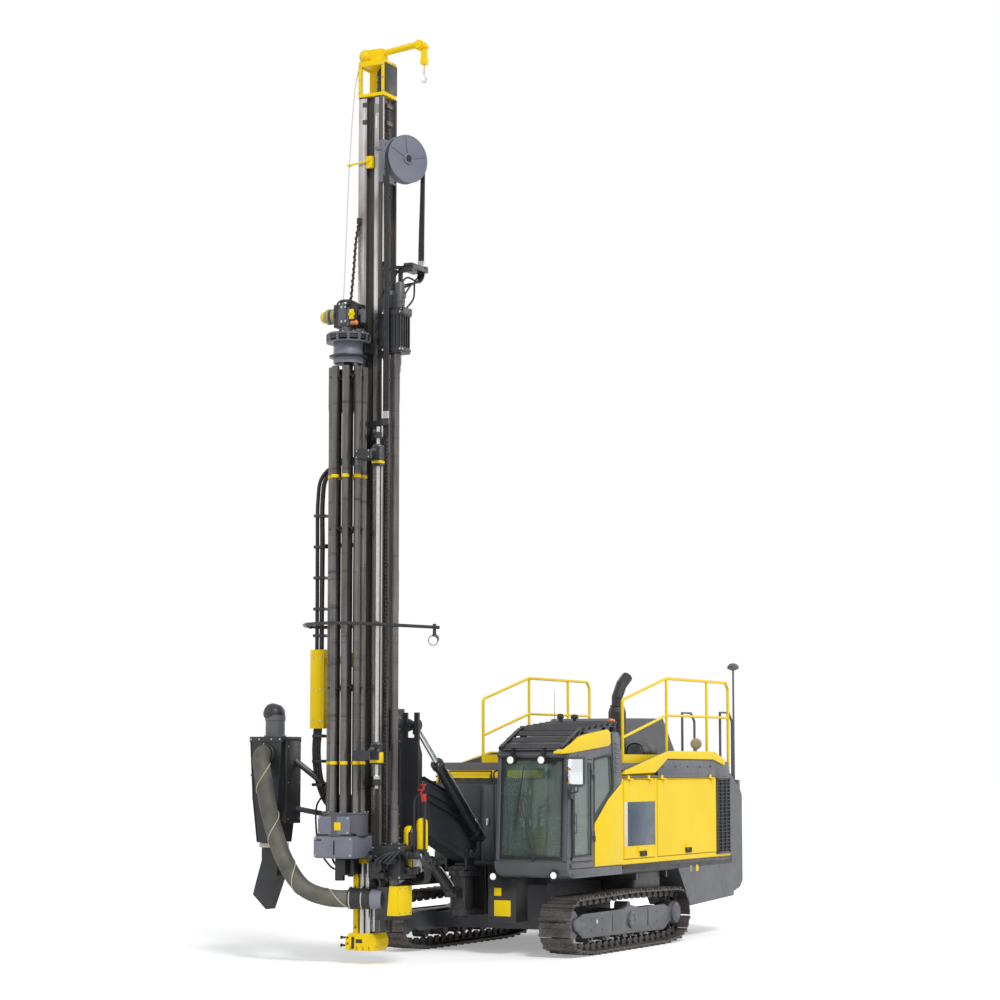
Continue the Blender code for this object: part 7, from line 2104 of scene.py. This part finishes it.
def makeDeckAndHousing():
    begin("deckPlates")
    for x, y in (((-1.18, -0.60), (-0.20, 3.10)), ((-0.58, 0.55), (-0.20, 0.92))):
        block(x, y, (2.2005, 2.2035))
    finish("black", "chassis", 0)
    begin("exhaustRings")
    for z, inner, outer in ((2.42, 0.092, 0.116), (2.70, 0.092, 0.116), (2.885, 0.060, 0.085)):
        spun((0.76, 0.70, z), (0, 0, 1), [(inner, 0), (outer, 0.001), (outer, 0.022), (inner, 0.023)], 32)
    finish("black", "chassis", 0.002)
    begin("filterShell")
    spun((0.86, 0.995, 2.325), (0, 1, 0), [(0.1215, 0.0), (0.1235, 0.004), (0.1235, 0.20), (0.128, 0.205),
        (0.128, 0.225), (0.1235, 0.23), (0.1235, 0.426), (0.1215, 0.43)], 36)
    finish("black", "chassis", 0)
    begin("rearDisc")
    facing = Vector((0.45, -0.89, 0)).normalized()
    capped((0.70, 3.36, 2.45), facing, [(0.070, 0.0), (0.075, 0.004), (0.075, 0.014), (0.060, 0.020)], 32)
    rod((0.70, 3.366, 2.19), (0.70, 3.366, 2.42), 0.012, 14)
    finish("khaki", "chassis", 0.001)
    begin("rearDoors")
    for x in ((-1.14, -0.04), (0.0, 1.14)):
        block(x, (3.6695, 3.677), (0.74, 1.74))
        block((x[0] + 0.48, x[0] + 0.60), (3.675, 3.690), (1.20, 1.24))
    finish("graphite", "chassis", 0.003)
    begin("rearLouvres")
    for x in (-0.92, 0.22):
        for k in range(9):
            block((x, x + 0.70), (3.674, 3.690), (1.34 + 0.038 * k, 1.352 + 0.038 * k), (0.5, 0, 0))
    finish("black", "chassis", 0.001)


def makeSmallPlates():
    side = deckLook["skirt"]
    for name, look, y in (("greenSkirtPlate", "green", (1.86, 1.94)),
            ("yellowSkirtPlate", "yellow", (2.07, 2.15))):
        begin(name)
        block((side - 0.001, side + 0.002), y, (0.84, 0.92))
        finish(look, "chassis", 0.0005)
    begin("underCabBox")
    block((0.16, 0.52), (-1.60, -1.30), (0.38, 0.90))
    for x in (0.20, 0.48):
        for z in (0.42, 0.86):
            rod((x, -1.596, z), (x, -1.608, z), 0.009, 6)
    finish("black", "chassis", 0.012)
    begin("underCabPlates")
    block((0.24, 0.33), (-1.604, -1.598), (0.68, 0.77))
    block((0.24, 0.45), (-1.604, -1.598), (0.45, 0.63))
    finish("yellow", "chassis", 0.001)


def makeFrontBoxDetail():
    face = deckLook["front"]
    begin("frontBoxDoors")
    for x in ((-0.98, -0.37), (-0.33, 0.28)):
        block(x, (face - 0.010, face + 0.002), (1.04, 1.94))
    finish("slate", "chassis", 0.004)
    begin("frontBoxFittings")
    for x in (-0.42, -0.27):
        block((x - 0.018, x + 0.018), (face - 0.022, face - 0.006), (1.46, 1.54))
    for x in (-0.985, 0.285):
        for z in (1.16, 1.50, 1.84):
            rod((x, face - 0.008, z - 0.035), (x, face - 0.008, z + 0.035), 0.010, 12)
    finish("bright", "chassis", 0.002)
    blockPiece("boxTopCover", "yellow", "chassis", 0.012, (-0.82, -0.28), (-0.70, -0.36), (1.978, 2.062))
    tubes("boxTopRail", [[(-0.96, -0.72, 1.97), (-0.96, -0.72, 2.10), (-0.25, -0.72, 2.10),
        (-0.25, -0.72, 1.97)]], 0.013, "black", "chassis", 10)


makeDeckAndHousing()
makeSmallPlates()
makeFrontBoxDetail()
print("deck, housing and front box details ready")
